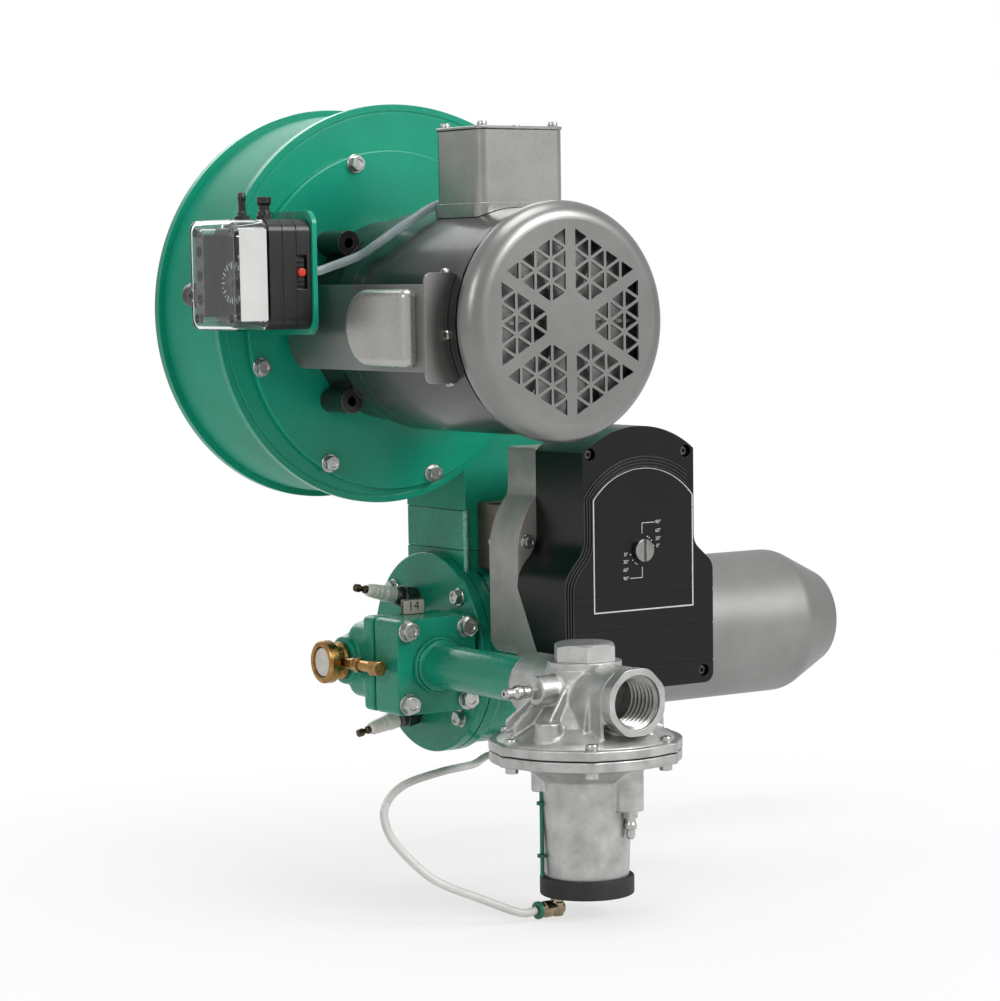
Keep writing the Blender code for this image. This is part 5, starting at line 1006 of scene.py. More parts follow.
def makeTerminalBox():
    left = blowerX + terminalBox["left"]
    near, width, length = [terminalBox[key] for key in ("near", "width", "length")]
    top = blowerZ + motor["radius"] + terminalBox["rise"] - terminalBox["lidHeight"]
    bottom = blowerZ + motor["radius"] * 0.82

    def outline(grow, radius, steps=10):
        return roundedRectangle((left - grow, near - grow), (left + width + grow, near + length + grow),
            radius, steps)

    loop, inner = outline(0, 0.007), outline(-0.0025, 0.005, 6)
    box = raised("terminalBox", [loop, inner], top - bottom, boxLacquer, "+Z", (0, 0, bottom))
    foot = raised("foot", [outline(0.002, 0.008), inner], blowerZ + motor["radius"] + 0.0035 - bottom,
        boxLacquer, "+Z", (0, 0, bottom))
    join(box, foot)
    cut(box, saddle(near + 0.09, 0.12, boxLacquer))
    finished(settle(box, 0.0007, 40), ["terminal_box"])
    lidLow = top + gap
    gasket = raised("boxGasket", [outline(-0.0008, 0.006, 8), inner], 0.0009, softRubber, "+Z",
        (0, 0, lidLow - 0.0006))
    finished(settle(gasket, 0), slot="rubber")
    lid = raised("terminalBoxLid", [outline(0.001, 0.008)], terminalBox["lid"], boxLacquer, "+Z",
        (0, 0, lidLow))
    finished(settle(lid, 0.0006, 40), ["terminal_box_lid"])
    c = terminalBox["screwCorner"]
    spots = [(x, y, lidLow + terminalBox["lid"]) for y in (near + c, near + length - c)
        for x in (left + c, left + width - c)]
    fastened("boxScrews", spots, capScrew, "+Z")


makeMotorBells()
makeMotorFrame()
makeFanCover()
makeCapacitorCover()
makeTerminalBox()
print("motor ready")

# More shape helpers: print, bands along a path, cast skins and hexagons

def band(points, width):
    left, right = [], []
    for index, point in enumerate(points):
        before, after = Vector(points[max(index - 1, 0)]), Vector(points[min(index + 1, len(points) - 1)])
        along = (after - before).normalized()
        side = Vector((-along.y, along.x)) * width / 2
        left.append(tuple(Vector(point) + side))
        right.append(tuple(Vector(point) - side))
    return left + right[::-1]


def merged(name, objects):
    shape = bmesh.new()
    for obj in objects:
        shape.from_mesh(obj.data)
    material = objects[0].data.materials[0]
    for obj in objects:
        bpy.data.objects.remove(obj)
    return linked(name, meshFrom(name, shape), material)


# A cast skin: one closed mesh of small voxels, its inner corners filled in by smoothing
def cast(obj, rounds):
    step = obj.modifiers.new("skin", "REMESH")
    step.mode, step.voxel_size = "VOXEL", 0.0009
    step = obj.modifiers.new("fillets", "SMOOTH")
    step.factor, step.iterations = 0.6, rounds
    return settle(obj, 0, 60, weighted=False)


def smoothed(obj, angle=40, weighted=True):
    if weighted:
        return settle(obj, 0, angle)
    softShaded(obj.data, angle)
    return obj


def printed(text, size, place, material):
    curve = bpy.data.curves.new("print", "FONT")
    curve.body, curve.size, curve.extrude = text, size, 0.00006
    curve.align_x, curve.align_y = "CENTER", "CENTER"
    holder = placed("print", curve)
    mesh = frozen(holder)
    bpy.data.objects.remove(holder)
    mesh.transform(placing("-Y", place))
    return linked("print", mesh, material)


def greenRing(name, bore, radius, height, axis, origin, ease=0.0005, sides=48):
    profile = eased([(bore, 0), (radius, 0), (radius, height), (bore, height)], ease, 3)
    return finished(smoothed(turned(name, profile, collarGreen, axis, origin, sides)))


# A hexagon with its corners turned off at one end or at both
def hexagon(name, flats, height, material, axis, origin, bore=0.0, spin=0.0, both=False):
    corner = flats / math.sqrt(3)
    loop = [polar(corner, math.radians(60 * i + spin)) for i in range(6)]
    prism = raised(name, [loop], height, material, axis, origin)
    drop = (corner - flats / 2 * 0.94) * 0.6
    low = [(0, 0), (flats / 2 * 0.94, 0), (corner * 1.02, drop)] if both else [(0, -0.001),
        (corner * 1.02, -0.001)]
    dome = turned("dome", low + [(corner * 1.02, height - drop), (flats / 2 * 0.94, height), (0, height)],
        material, axis, origin, 64)
    combined(prism, "INTERSECT", dome)
    if bore:
        away = placing(axis, origin) @ Vector((0, 0, -0.001))
        cut(prism, peg("bore", away, placing(axis, (0, 0, 0)) @ Vector((0, 0, 1)), bore, height + 0.002,
            material))
    return smoothed(prism, 25)


# White print: flat and dry on the glossy cover
screenPrint = surface("whiteScreenPrint", "DADADA", "D0D0D0", 0, (0.4, 0.5), 20, 1.0, 0.005)
# Blank paper label behind the clear cover
labelPaper = surface("labelPaper", "DEDEDC", "D6D6D3", 0, (0.35, 0.45), 25, 1.0, 0.005)
# Nickel over brass: a warm bright shine on the small fittings
nickelPlate = surface("nickelPlatedBrass", "B9A88C", "8F7F66", 1.0, (0.16, 0.26), 6, 0.6, 0.006, "DFD3BC",
    0.3)
# Steel coloured brown by heat
heatTint = surface("heatTintedSteel", "6E5A48", "4B3D31", 0.9, (0.3, 0.42), 5, 0.6, 0.01, "A08D78", 0.3)
# Burnished steel: dark with bright corners, part rubbing and part painted highlight
darkSteel = surface("burnishedSteel", "6A6A66", "3C3C3A", 0.95, (0.28, 0.42), 5, 0.6, 0.02, "B5B5B0", 0.3)
# Etched face of the orifice plate's tab: pale and dry
etchedSteel = surface("etchedSteel", "D6CDC4", "C6BDB2", 0.1, (0.45, 0.6), 6, 0.5, 0.01)
# Green fitting collars, darker than the enamel and slightly glossy
collarGreen = surface("greenAcetal", "1E7A55", "186848", 0, (0.3, 0.4), 8, 1.0, 0.01)


# Burner body: cast drum, wall flange, air socket, rear cover with its bolts, alloy tube

burner = {
    "body": 0.075, "wall": 0.005, "flange": 0.088, "flangeThickness": 0.012, "flangeCircle": 0.0812,
    "flangeHole": 0.0034, "cover": 0.079, "coverThickness": 0.010, "coverCircle": 0.067,
    "socketTop": 0.0817, "tube": 0.060, "tubeWall": 0.004, "tubeEnd": 0.195, "coneTip": 0.0395,
    "coneEnd": 0.238,
    "tapX": rearX + 0.062, "tapY": -0.030,
}
ductX, ductWidth = blower["ductLeft"], blower["ductWidth"]
valveX = ductX + ductWidth / 2


def makeBurnerBody():
    b = burner
    start = rearX + b["coverThickness"] + gap
    length = -start
    inner, hub = b["body"] - b["wall"], b["tube"] + gap
    outer = eased([(b["cover"], 0), (b["cover"], 0.010), (b["body"], 0.0125),
        (b["body"], length - b["flangeThickness"]), (b["flange"], length - b["flangeThickness"]),
        (b["flange"], length)], 0.002, 4, False)
    body = turned("burnerDrum", outer + [(hub, length), (hub, length - b["flangeThickness"]),
        (inner, length - b["flangeThickness"]), (inner, 0)], castEnamel, "+X", (start, 0, 0), 144)
    half = blower["half"]
    socket = block("socket", (ductX, -half, b["body"] * 0.6), (ductX + ductWidth, half, b["socketTop"]),
        castEnamel)
    throat = block("throat", (ductX + 0.012, -half + 0.004, b["body"] * 0.3),
        (ductX + ductWidth - 0.008, half - 0.004, 0.1), castEnamel)
    bore = peg("bore", (start - 0.002, 0, 0), (1, 0, 0), inner, length - b["flangeThickness"] + 0.002,
        castEnamel, 144)
    join(body, socket)
    cut(body, bore, throat)
    for y, z in roundPlaces(4, b["flangeCircle"], math.radians(45)):
        cut(body, peg("hole", (-b["flangeThickness"] - 0.005, y, z), (1, 0, 0), b["flangeHole"], 0.03,
            castEnamel, 32))
    finished(settle(body, 0.0012, 40, 3), ["burner_body"])


# The fitting under the drum that takes the impulse tube
def makeImpulseTap():
    b = burner
    tapZ = -math.sqrt(b["body"] ** 2 - b["tapY"] ** 2) - 0.014
    stem = turned("tapStem", eased([(0, -0.006), (0.0055, -0.006), (0.0055, 0.006), (0.0045, 0.007),
        (0.0045, 0.018), (0, 0.018)], 0.0012, 3, False, (0, 5)), nickelPlate, "+Z",
        (b["tapX"], b["tapY"], tapZ), 48)
    arm = turned("tapArm", eased([(0, 0), (0.0048, 0), (0.0048, 0.012), (0.0058, 0.0125), (0.0058, 0.0195),
        (0.0032, 0.0197), (0, 0.0197)], 0.0006, 3, False), nickelPlate, "-X",
        (b["tapX"] + 0.0055, b["tapY"], tapZ), 48)
    join(stem, arm)
    finished(smoothed(stem), slot="brass")
    greenRing("tapCollar", 0.0034, 0.0060, 0.0022, "-X", (b["tapX"] + 0.0055 - 0.0201, b["tapY"], tapZ))


def makeRearCover():
    b = burner
    disc = turned("rearCoverDisc", eased([(0, b["coverThickness"]), (b["cover"], b["coverThickness"]),
        (b["cover"], 0), (0, 0)], 0.0018, 4, False), castEnamel, "+X", (rearX, 0, 0), 144)
    finished(settle(disc, 0), ["rear_cover"])
    seats = [(rearX - 0.0002, y, z) for y, z in roundPlaces(4, b["coverCircle"], math.radians(45))]
    fastened("coverBolts", seats, plateBolt, "-X", 0.5)


def makeTube():
    b = burner
    start = -b["flangeThickness"] - gap - 0.004
    end, tip, wall = b["tubeEnd"] - start, b["coneEnd"] - start, b["tubeWall"]
    outer = [(0.068, 0), (0.068, 0.004), (b["tube"], 0.004), (b["tube"], end - 0.006)]
    outer += eased([(b["tube"], end - 0.012), (b["tube"], end), (b["coneTip"], tip)], 0.008, 8, False)[1:]
    inner = [(b["coneTip"] - wall * 0.6, tip), (b["tube"] - wall, end), (b["tube"] - wall, 0)]
    tube = turned("alloyTube", outer + inner, satinAlloy, "+X", (start, 0, 0), 160)
    finished(settle(tube, 0.0006, 30), ["combustion_tube"])


valve = {"low": 0.082, "bore": 0.0365, "shaftZ": 0.0886, "shaftHole": 0.0043}
beadStep, beadRadius = 0.0026, 0.0024


def makeValveHousing():
    low, high = valve["low"], blower["ductTop"] - gap
    half = blower["half"]
    housing = block("valveBody", (ductX, -half, low), (ductX + ductWidth, half, high), castEnamel)
    cut(housing, peg("bore", (valveX, 0, low - 0.01), (0, 0, 1), valve["bore"], high - low + 0.02,
        castEnamel, 96), peg("shaftHole", (valveX, half + 0.01, valve["shaftZ"]), (0, -1, 0),
        valve["shaftHole"], 2 * half + 0.02, castEnamel, 32))
    finished(settle(housing, 0.0009, 40, 3), ["valve_housing"])
    for name, height in (("upperGasket", high + gap / 2), ("lowerGasket", low - gap / 2)):
        rim = raised(name, [roundedRectangle((ductX + 0.0006, -half + 0.0006),
            (ductX + ductWidth - 0.0006, half - 0.0006), 0.001), circle((valveX, 0), valve["bore"], 64)],
            0.0005, softRubber, "+Z", (0, 0, height - 0.00025))
        finished(smoothed(rim), slot="rubber")
    # The corner weld beads take the pale enamel whose colour is a painted highlight
    corner = [(ductX + 0.0002, -half + 0.0002, z) for z in (0.066, 0.078, 0.090, 0.101, 0.112)]
    seamBeads("ductCornerWeld", corner, beadStep, beadRadius, highlightWeldEnamel)
    other = [(ductX + ductWidth - 0.0002, y, z) for _, y, z in corner]
    seamBeads("farCornerWeld", other, beadStep, beadRadius, highlightWeldEnamel)


makeBurnerBody()
makeImpulseTap()
makeRearCover()
makeTube()
makeValveHousing()
print("burner body ready")


# Electrodes: hexagon shells, ribbed ceramics and terminal nuts, leaning out of the rear cover

electrode = {"tilt": math.radians(13), "side": 0.017, "spark": 0.041, "rod": -0.049}


def makeElectrode(height, shellNode, insulatorNode):
    lean = math.copysign(math.sin(electrode["tilt"]), height)
    axis = Vector((-math.cos(electrode["tilt"]), 0, lean))
    seat = Vector((rearX, electrode["side"], height)) + axis * 0.0021
    turn = Matrix.Translation(seat) @ axis.to_track_quat("Z", "Y").to_matrix().to_4x4()
    shell = hexagon(shellNode, 0.017, 0.011, darkSteel, "+Z", (0, 0, 0), both=True)
    collar = turned("collar", eased([(0, 0.0100), (0.0080, 0.0100), (0.0080, 0.0150), (0.0070, 0.0172),
        (0, 0.0172)], 0.0007, 3, False), darkSteel, sides=64)
    washer = turned("washer", eased([(0, -0.0022), (0.0092, -0.0022), (0.0092, -0.0002), (0, -0.0002)],
        0.0004, 3, False), darkSteel, sides=64)
    rod = peg("rod", (0, 0, -0.150), (0, 0, 1), 0.0013, 0.152, darkSteel, 24)
    shell = smoothed(merged(shellNode, [shell, collar, washer, rod]), 30)
    shell.data.transform(turn)
    finished(shell, [shellNode])
    profile = [(0, 0.0178), (0.0068, 0.0178), (0.0068, 0.0262)]
    for ring in range(3):
        z = 0.0275 + ring * 0.0042
        profile += [(0.0064 - ring * 0.0003, z), (0.0060 - ring * 0.0003, z + 0.0013),
            (0.0060 - ring * 0.0003, z + 0.0024)]
    profile += [(0.0052, 0.0412), (0.0040, 0.0436), (0, 0.0436)]
    ceramic = smoothed(turned("ceramic", eased(profile, 0.0007, 3, False), glazedCeramic, sides=64))
    ceramic.data.transform(turn)
    finished(ceramic, [insulatorNode])
    nut = turned("terminalNut", eased([(0, 0.0430), (0.0030, 0.0430), (0.0034, 0.0460), (0.0022, 0.0475),
        (0.0022, 0.0490), (0.0033, 0.0505), (0.0030, 0.0548), (0, 0.0552)], 0.0006, 3, False), heatTint,
        sides=48)
    nut = smoothed(nut)
    nut.data.transform(turn)
    finished(nut, slot="bright_steel")


makeElectrode(electrode["spark"], "spark_plug_shell", "spark_plug_insulator")
makeElectrode(electrode["rod"], "flame_rod_shell", "flame_rod_insulator")
print("electrodes ready")


# Gas train: elbow casting, orifice plate, block with its welded pipe, brass sight port

train = {
    "x": rearX - 0.0385, "width": 0.071, "height": 0.073, "face": 0.024, "flange": 0.014, "orifice": 0.0028,
    "block": 0.033, "elbow": 0.029, "boss": 0.0185, "bossLength": 0.040, "pipe": 0.0169, "pipeWall": 0.0034,
}
gasX = train["x"]
castingFace = -(train["face"] + train["flange"])
blockBack = castingFace - train["orifice"] - 2 * gap
blockFront = blockBack - train["block"]


def makeGasCasting():
    t = train
    half, tall = t["width"] / 2, t["height"] / 2
    flange = raised("elbowCasting", [roundedRectangle((-half, -tall), (half, tall), 0.004)], t["flange"],
        castEnamel, "-Y", (gasX, -t["face"], 0))
    elbow = turned("elbow", [(t["elbow"] * math.sin(math.radians(a)),
        t["elbow"] * (1 - math.cos(math.radians(a)))) for a in range(0, 91, 9)]
        + [(t["elbow"], t["face"] + t["elbow"] + 0.004), (0, t["face"] + t["elbow"] + 0.004)], castEnamel,
        "-Y", (gasX, t["elbow"], 0), 96)
    neck = peg("neck", (gasX, 0, 0), (1, 0, 0), t["elbow"] - 0.0013, 0.0385 - gap, castEnamel, 96)
    boss = turned("boss", eased([(0, 0), (t["elbow"] - 0.0010, 0), (t["elbow"] - 0.0020, t["elbow"] * 0.60),
        (t["boss"] + 0.0005, t["elbow"] * 1.20), (t["boss"], t["bossLength"]), (0, t["bossLength"])], 0.012,
        8, False, (0, 1, 4, 5)), castEnamel, "-X", (gasX, 0, 0), 96)
    skirt = raised("skirt", [eased([(-0.036, -0.030), (0.0345, -0.030), (0.0345, 0.030), (-0.036, 0.030)],
        0.016, 8)], t["face"] + 0.004, castEnamel, "-Y", (gasX + 0.001, 0.000, 0))
    cast(join(flange, elbow, neck, boss, skirt), 14)
    cut(flange, peg("sightWay", (gasX - 0.02, 0, 0), (-1, 0, 0), 0.0105, 0.07, castEnamel, 64),
        block("faceCut", (gasX - 0.06, castingFace - 0.01, -0.06),
        (gasX + 0.06, castingFace + 0.00015, 0.06), castEnamel))
    finished(smoothed(flange, 50, False), ["gas_casting"])


def makeOrifice():
    half, left, right, top = 0.033, -0.0095, 0.0105, 0.048
    loop = eased([(-half, -half), (half, -half), (half, half), (right, half), (right, top), (left, top),
        (left, half), (-half, half)], 0.001, 3)
    plate = raised("orificePlate", [loop, circle((0, 0), 0.009, 48)], train["orifice"], darkSteel, "-Y",
        (gasX, castingFace - gap, 0))
    finished(settle(plate, 0.0004), ["orifice_plate"])
    face = castingFace - gap - train["orifice"]
    tab = raised("orificeTab", [roundedRectangle((left + 0.0006, 0.0370), (right - 0.0006, top - 0.0006),
        0.0008)], 0.00008, etchedSteel, "-Y", (gasX, face, 0))
    finished(smoothed(tab), slot="bright_steel")
    mark = printed("14", 0.0105, (gasX + 0.0005, face - 0.00012, 0.0425), heatTint)
    finished(mark)


def makeGasBlock():
    t = train
    half, tall = t["width"] / 2, t["height"] / 2
    body = raised("gasBlock", [roundedRectangle((-half, -tall), (half, tall), 0.0045),
        circle((0, 0), 0.0135, 64)], t["block"], castEnamel, "-Y", (gasX, blockBack, 0))
    settle(body, 0.0011, 40, 3)
    length = -(regulatorY + 0.063 - 0.004) + blockFront - 0.001
    r = t["pipe"]
    profile = [(r, 0), (r, length), (r - t["pipeWall"], length), (r - t["pipeWall"], 0)]
    pipe = turned("gasPipe", profile, castEnamel, "-Y", (gasX, blockFront + 0.0005, 0), 96)
    settle(pipe, 0.0004)
    outer = [(r - 0.001, -0.001)] + eased([(r + 0.0042, -0.001), (r + 0.0042, 0.0015),
        (r + 0.0022, 0.0028)], 0.001, 4, False)
    outer += eased([(r + 0.0020, 0.0031), (r + 0.0030, 0.0042), (r + 0.0016, 0.0058), (r - 0.001, 0.0062)],
        0.0008, 4, False)
    weld = turned("weld", outer, castEnamel, "-Y", (gasX, blockFront, 0), 96)
    whole = merged("gasBlock", [body, pipe, weld])
    finished(smoothed(whole, 35), ["gas_block"])
    seats = [(gasX + x, blockFront - 0.0001, z) for x in (-0.0265, 0.0265) for z in (-0.028, 0.028)]
    fastened("blockBolts", seats, hexBolt, "-Y", 0.5)
    route = [(gasX + (r + 0.0036) * math.cos(a), blockFront - 0.0022, (r + 0.0036) * math.sin(a))
        for a in [2 * math.pi * i / 40 for i in range(41)]]
    seamBeads("pipeWeld", route, 0.0021, 0.0017, castEnamel)


def makeSightPort():
    start = gasX - train["bossLength"]
    profile = [(0.0100, -0.012), (0.0100, 0.0004)]
    profile += eased([(0.0135, 0.0004), (0.0146, 0.0012), (0.0146, 0.0035), (0.0130, 0.0042),
        (0.0130, 0.0085), (0.0166, 0.0108), (0.0166, 0.0180), (0.0150, 0.0195), (0.0120, 0.0195),
        (0.0112, 0.0150)], 0.0006, 3, False)
    port = turned("sightPort", profile + [(0.0085, 0.0145), (0.0085, -0.012)], brassLook, "-X",
        (start, 0, 0), 96)
    branchX = start - 0.0052
    branch = turned("branch", eased([(0, 0), (0.0042, 0), (0.0042, 0.012), (0.0050, 0.013), (0.0050, 0.017),
        (0.0042, 0.018), (0.0042, 0.047), (0, 0.047)], 0.0005, 3, False), brassLook, "-Y",
        (branchX, -0.0115, 0), 48)
    nut = hexagon("nut", 0.0106, 0.006, brassLook, "-Y", (branchX, -0.0300, 0), 0, 10, True)
    finished(smoothed(merged("sightPort", [port, branch, nut]), 30), ["sight_port"])
    glassPane = turned("sightPane", eased([(0, 0), (0.0110, 0), (0.0110, 0.003), (0, 0.003)], 0.0003, 2,
        False, (0, 3)), sightGlass, "-X", (start - 0.0145 - gap, 0, 0), 64)
    finished(smoothed(glassPane), ["sight_glass"])
    plug = hexagon("branchPlug", 0.0106, 0.012, brassLook, "-Y", (branchX, -0.0525, 0), 0, 0, True)
    finished(plug, ["branch_plug"])


regulatorY = -0.2675
makeGasCasting()
makeOrifice()
makeGasBlock()
makeSightPort()
print("gas train ready")


# Ratio regulator: ribbed die casting, threaded socket, hexagon cap, spring housing and rubber cap

regulator = {
    "reach": 0.063, "socket": 0.010, "port": 0.0235, "bore": 0.0195, "portZ": -0.0016, "flange": 0.070,
    "flangeTop": -0.033, "flangeLow": -0.040, "neck": 0.026, "neckTop": 0.0225, "capFlats": 0.041,
    "cap": 0.0125,
    "housingTop": -0.0421, "shoulder": 0.0337, "foot": 0.0302, "footZ": -0.134, "rubber": 0.034,
    "rubberHeight": 0.012,
    "pitch": 0.0044,  # the real pitch is about 2.3 mm; drawn coarser so that it shows
    "threadDepth": 0.0024, "screws": 6, "screwCircle": 0.0628, "screwPhase": math.radians(-1.5),
}


def aboutRegulator(name, profile, material, sides=128):
    return turned(name, profile, material, "+Z", (gasX, regulatorY, 0), sides)


def threadProfile(outer, bore, depth, start, pitches, pitch):
    found = [(outer, start), (outer, start + pitches * pitch)]
    for index in range(pitches, 0, -1):
        top = start + index * pitch
        found += [(bore, top - pitch * 0.06), (bore, top - pitch * 0.16),
            (bore - depth, top - pitch * 0.46), (bore - depth, top - pitch * 0.60)]
    found.append((bore, start + pitch * 0.02))
    return found


# The clamped flanges: a round edge that swells a little at every screw
def flangeLoop(drop):
    r = regulator
    loop = []
    for index in range(240):
        a = 2 * math.pi * index / 240
        screws = [r["screwPhase"] + 2 * math.pi * k / r["screws"] for k in range(r["screws"])]
        near = min(abs((a - screw + math.pi) % (2 * math.pi) - math.pi) for screw in screws)
        loop.append(polar(r["flange"] - drop + 0.0026 * math.exp(-(near / 0.085) ** 2), a))
    return loop


# Three upright ribs under the port and six sloping ones around the casting
def regulatorRibs(nearEnd):
    low, half = regulator["flangeTop"] - 0.003, 0.0016
    ribs = []
    for x in (-0.0215, 0.0215):
        ribs.append(block("rib", (gasX + x - half, nearEnd + 0.0015, low),
            (gasX + x + half, regulatorY - 0.015, -0.003), castAluminium))
    ribs.append(block("rib", (gasX - 0.0018, nearEnd + 0.001, low),
        (gasX + 0.0018, regulatorY - 0.02, -0.020), castAluminium))
    for angle in (150, 172, 205, 30, 5, 335):
        rib = block("rib", (0.018, -half, low), (0.057, half, 0.006), castAluminium)
        slope = block("slope", (-0.05, -0.005, 0), (0.08, 0.005, 0.05), castAluminium)
        turnedBy(slope, (0.040, 0, -0.004), 42, "Y")
        cut(rib, slope)
        ribs.append(turnedBy(rib, (gasX, regulatorY, 0), angle, "Z"))
    return ribs


# The hollow of the casting: diaphragm room, valve room, the two ports and the ways between
def regulatorWays(nearEnd, farEnd):
    r = regulator
    ways = aboutRegulator("chamber", [(0, -0.043), (0.056, -0.043), (0.056, -0.036), (0.030, -0.031),
        (0.0037, -0.031), (0.0037, -0.0184), (0.0185, -0.0184), (0.0185, -0.0025), (0.011, -0.0025),
        (0.011, 0.0015), (0.0185, 0.0015), (0.0185, 0.025), (0, 0.025)], castAluminium, 96)
    nearBore = peg("bore", (gasX, nearEnd - 0.004, r["portZ"]), (0, 1, 0), r["bore"] + 0.0002, 0.040,
        castAluminium, 96)
    farBore = peg("farBore", (gasX, farEnd + 0.004, r["portZ"]), (0, -1, 0), r["bore"], 0.052,
        castAluminium, 96)
    upper = block("cross", (gasX - 0.012, -0.2915, 0.002), (gasX + 0.012, regulatorY, 0.014), castAluminium)
    lower = block("cross", (gasX - 0.012, regulatorY, -0.015), (gasX + 0.012, -0.2435, -0.004), castAluminium)
    return join(ways, nearBore, farBore, upper, lower)


def makeRegulatorBody():
    r = regulator
    top, neck = r["flangeTop"], r["neck"]
    profile = [(0, -0.0385), (0.064, -0.0385), (0.064, top), (0.060, top + 0.003), (0.043, top + 0.012),
        (neck + 0.005, top + 0.027), (neck + 0.001, 0.012), (neck + 0.001, r["neckTop"] - 0.004),
        (0, r["neckTop"] - 0.004)]
    dome = aboutRegulator("regulatorCasting", profile, castAluminium, 96)
    nearEnd = regulatorY - r["reach"] + r["socket"] + gap
    farEnd = regulatorY + r["reach"]
    ports = peg("ports", (gasX, farEnd, r["portZ"]), (0, -1, 0), r["port"] + 0.0004, farEnd - nearEnd,
        castAluminium, 96)
    shoulders = raised("shoulders", [eased([(-0.030, -0.034), (0.030, -0.034), (0.024, 0.006),
        (-0.024, 0.006)], 0.006, 4)], farEnd - nearEnd - 0.030, castAluminium, "-Y",
        (gasX, farEnd - 0.015, 0))
    ribs = regulatorRibs(nearEnd)
    boss = peg("nippleBoss", (gasX - 0.02, regulatorY, 0.004), (-1, 0, 0), 0.0105, 0.0235, castAluminium, 64)
    screwBoss = peg("screwBoss", (gasX - 0.046, regulatorY - 0.020, top - 0.003), (0, 0, 1), 0.0095, 0.020,
        castAluminium, 64)
    otherBoss = peg("otherBoss", (gasX + 0.044, regulatorY + 0.020, top - 0.003), (0, 0, 1), 0.0085, 0.018,
        castAluminium, 64)
    join(dome, ports, shoulders, boss, screwBoss, otherBoss, *ribs)
    cast(dome, 5)
    cut(dome, regulatorWays(nearEnd, farEnd))
    finished(smoothed(dome, 60, False), ["regulator_body"])


def makeRegulatorFlange():
    r = regulator
    flange = raised("regulatorFlange", [flangeLoop(0.0006), circle((0, 0), 0.056)], 0.0068, castAluminium,
        "+Z", (gasX, regulatorY, r["flangeLow"] + 0.0001))
    finished(settle(flange, 0.0009, 40, 3), slot=slotOf["regulator_body"])
    seal = aboutRegulator("diaphragmEdge", eased([(0.0655, 0), (0.0655, 0.0012), (0.0395, 0.0012),
        (0.0395, 0)], 0.0004, 2), softRubber)
    seal.data.transform(Matrix.Translation((0, 0, r["housingTop"] + gap)))
    finished(smoothed(seal), ["diaphragm"])
    places = [polar(r["screwCircle"], r["screwPhase"] + 2 * math.pi * k / r["screws"])
        for k in range(r["screws"])]
    upper = [(gasX + x, regulatorY + y, r["flangeTop"] - 0.0001) for x, y in places]
    lower = [(gasX + x, regulatorY + y, r["housingTop"] - 0.0062) for x, y in places]
    fastened("flangeScrews", upper, flangeScrew, "+Z")
    fastened("flangeNuts", lower, smallBolt, "-Z", 0.6)


def makeInletCollar():
    r = regulator
    start = regulatorY - r["reach"] + r["socket"]
    corner = r["port"] / math.cos(math.radians(22.5)) * 1.01
    loop = eased([polar(corner, math.radians(45 * i + 22.5)) for i in range(8)], 0.0055, 5)
    collar = raised("threadedSocket", [loop, circle((0, 0), r["bore"], 96)], r["socket"], castAluminium,
        "-Y", (gasX, start, r["portZ"]))
    settle(collar, 0.0009, 40, 3)
    thread = turned("thread", threadProfile(r["bore"] + 0.0001, r["bore"] - 0.0001, r["threadDepth"],
        -0.0230, 7, r["pitch"]), turnedSteel, "-Y", (gasX, start, r["portZ"]), 128)
    finished(collar, ["inlet_collar"])
    finished(smoothed(thread, 30), slot=slotOf["inlet_collar"])


def makeRegulatorCap():
    r = regulator
    seat = r["neckTop"] + gap
    cap = hexagon("hexagonCap", r["capFlats"], r["cap"], castAluminium, "+Z", (gasX, regulatorY, seat), 0, 0)
    cut(cap, peg("guide", (gasX, regulatorY, seat - 0.002), (0, 0, 1), 0.0046, 0.009, castAluminium))
    smoothed(cap, 25)
    finished(cap, ["regulator_cap"])
    low, wide = r["neckTop"] - 0.0055, r["neck"] + 0.0005
    collar = aboutRegulator("capCollar", eased([(0.0186, low), (wide, low), (wide, low + 0.0055),
        (0.0186, low + 0.0055)], 0.0009, 3), castAluminium)
    finished(smoothed(collar), slot=slotOf["regulator_cap"])


def nipple(name, axis, place, nutFlats, length):
    nut = hexagon("nut", nutFlats, 0.006, zincSteel, axis, place, 0, 12, True)
    radius = nutFlats * 0.36
    stem = turned("stem", eased([(0, 0.005), (radius, 0.005), (radius, length * 0.42),
        (radius * 1.22, length * 0.50), (radius * 1.22, length * 0.62), (radius * 0.9, length * 0.72),
        (radius * 0.9, length - 0.002), (radius * 0.6, length), (radius * 0.32, length),
        (radius * 0.32, length - 0.004), (0, length - 0.004)], 0.0004, 3, False), zincSteel, axis, place,
        48)
    return finished(smoothed(merged(name, [nut, stem]), 30), slot="bright_steel")


def makeNipples():
    nipple("gasTestNipple", "-X", (gasX - 0.0430, regulatorY, 0.004), 0.012, 0.027)
    nipple("lowTestNipple", "-Z", (gasX + 0.015, regulatorY - 0.033, -0.0826), 0.010, 0.0213)
    for z in (-0.080, -0.118):
        greenRing("greenCollar", 0.0012, 0.0036, 0.0024, "+Z", (gasX - 0.0320, regulatorY + 0.010, z))
    profile = eased([(0.0009, -0.132), (0.0015, -0.132), (0.0015, -0.070), (0.0009, -0.070)], 0.0003, 2)
    pipe = turned("bleedTube", profile, collarGreen, "+Z", (gasX - 0.0320, regulatorY + 0.010, 0), 32)
    finished(smoothed(pipe))


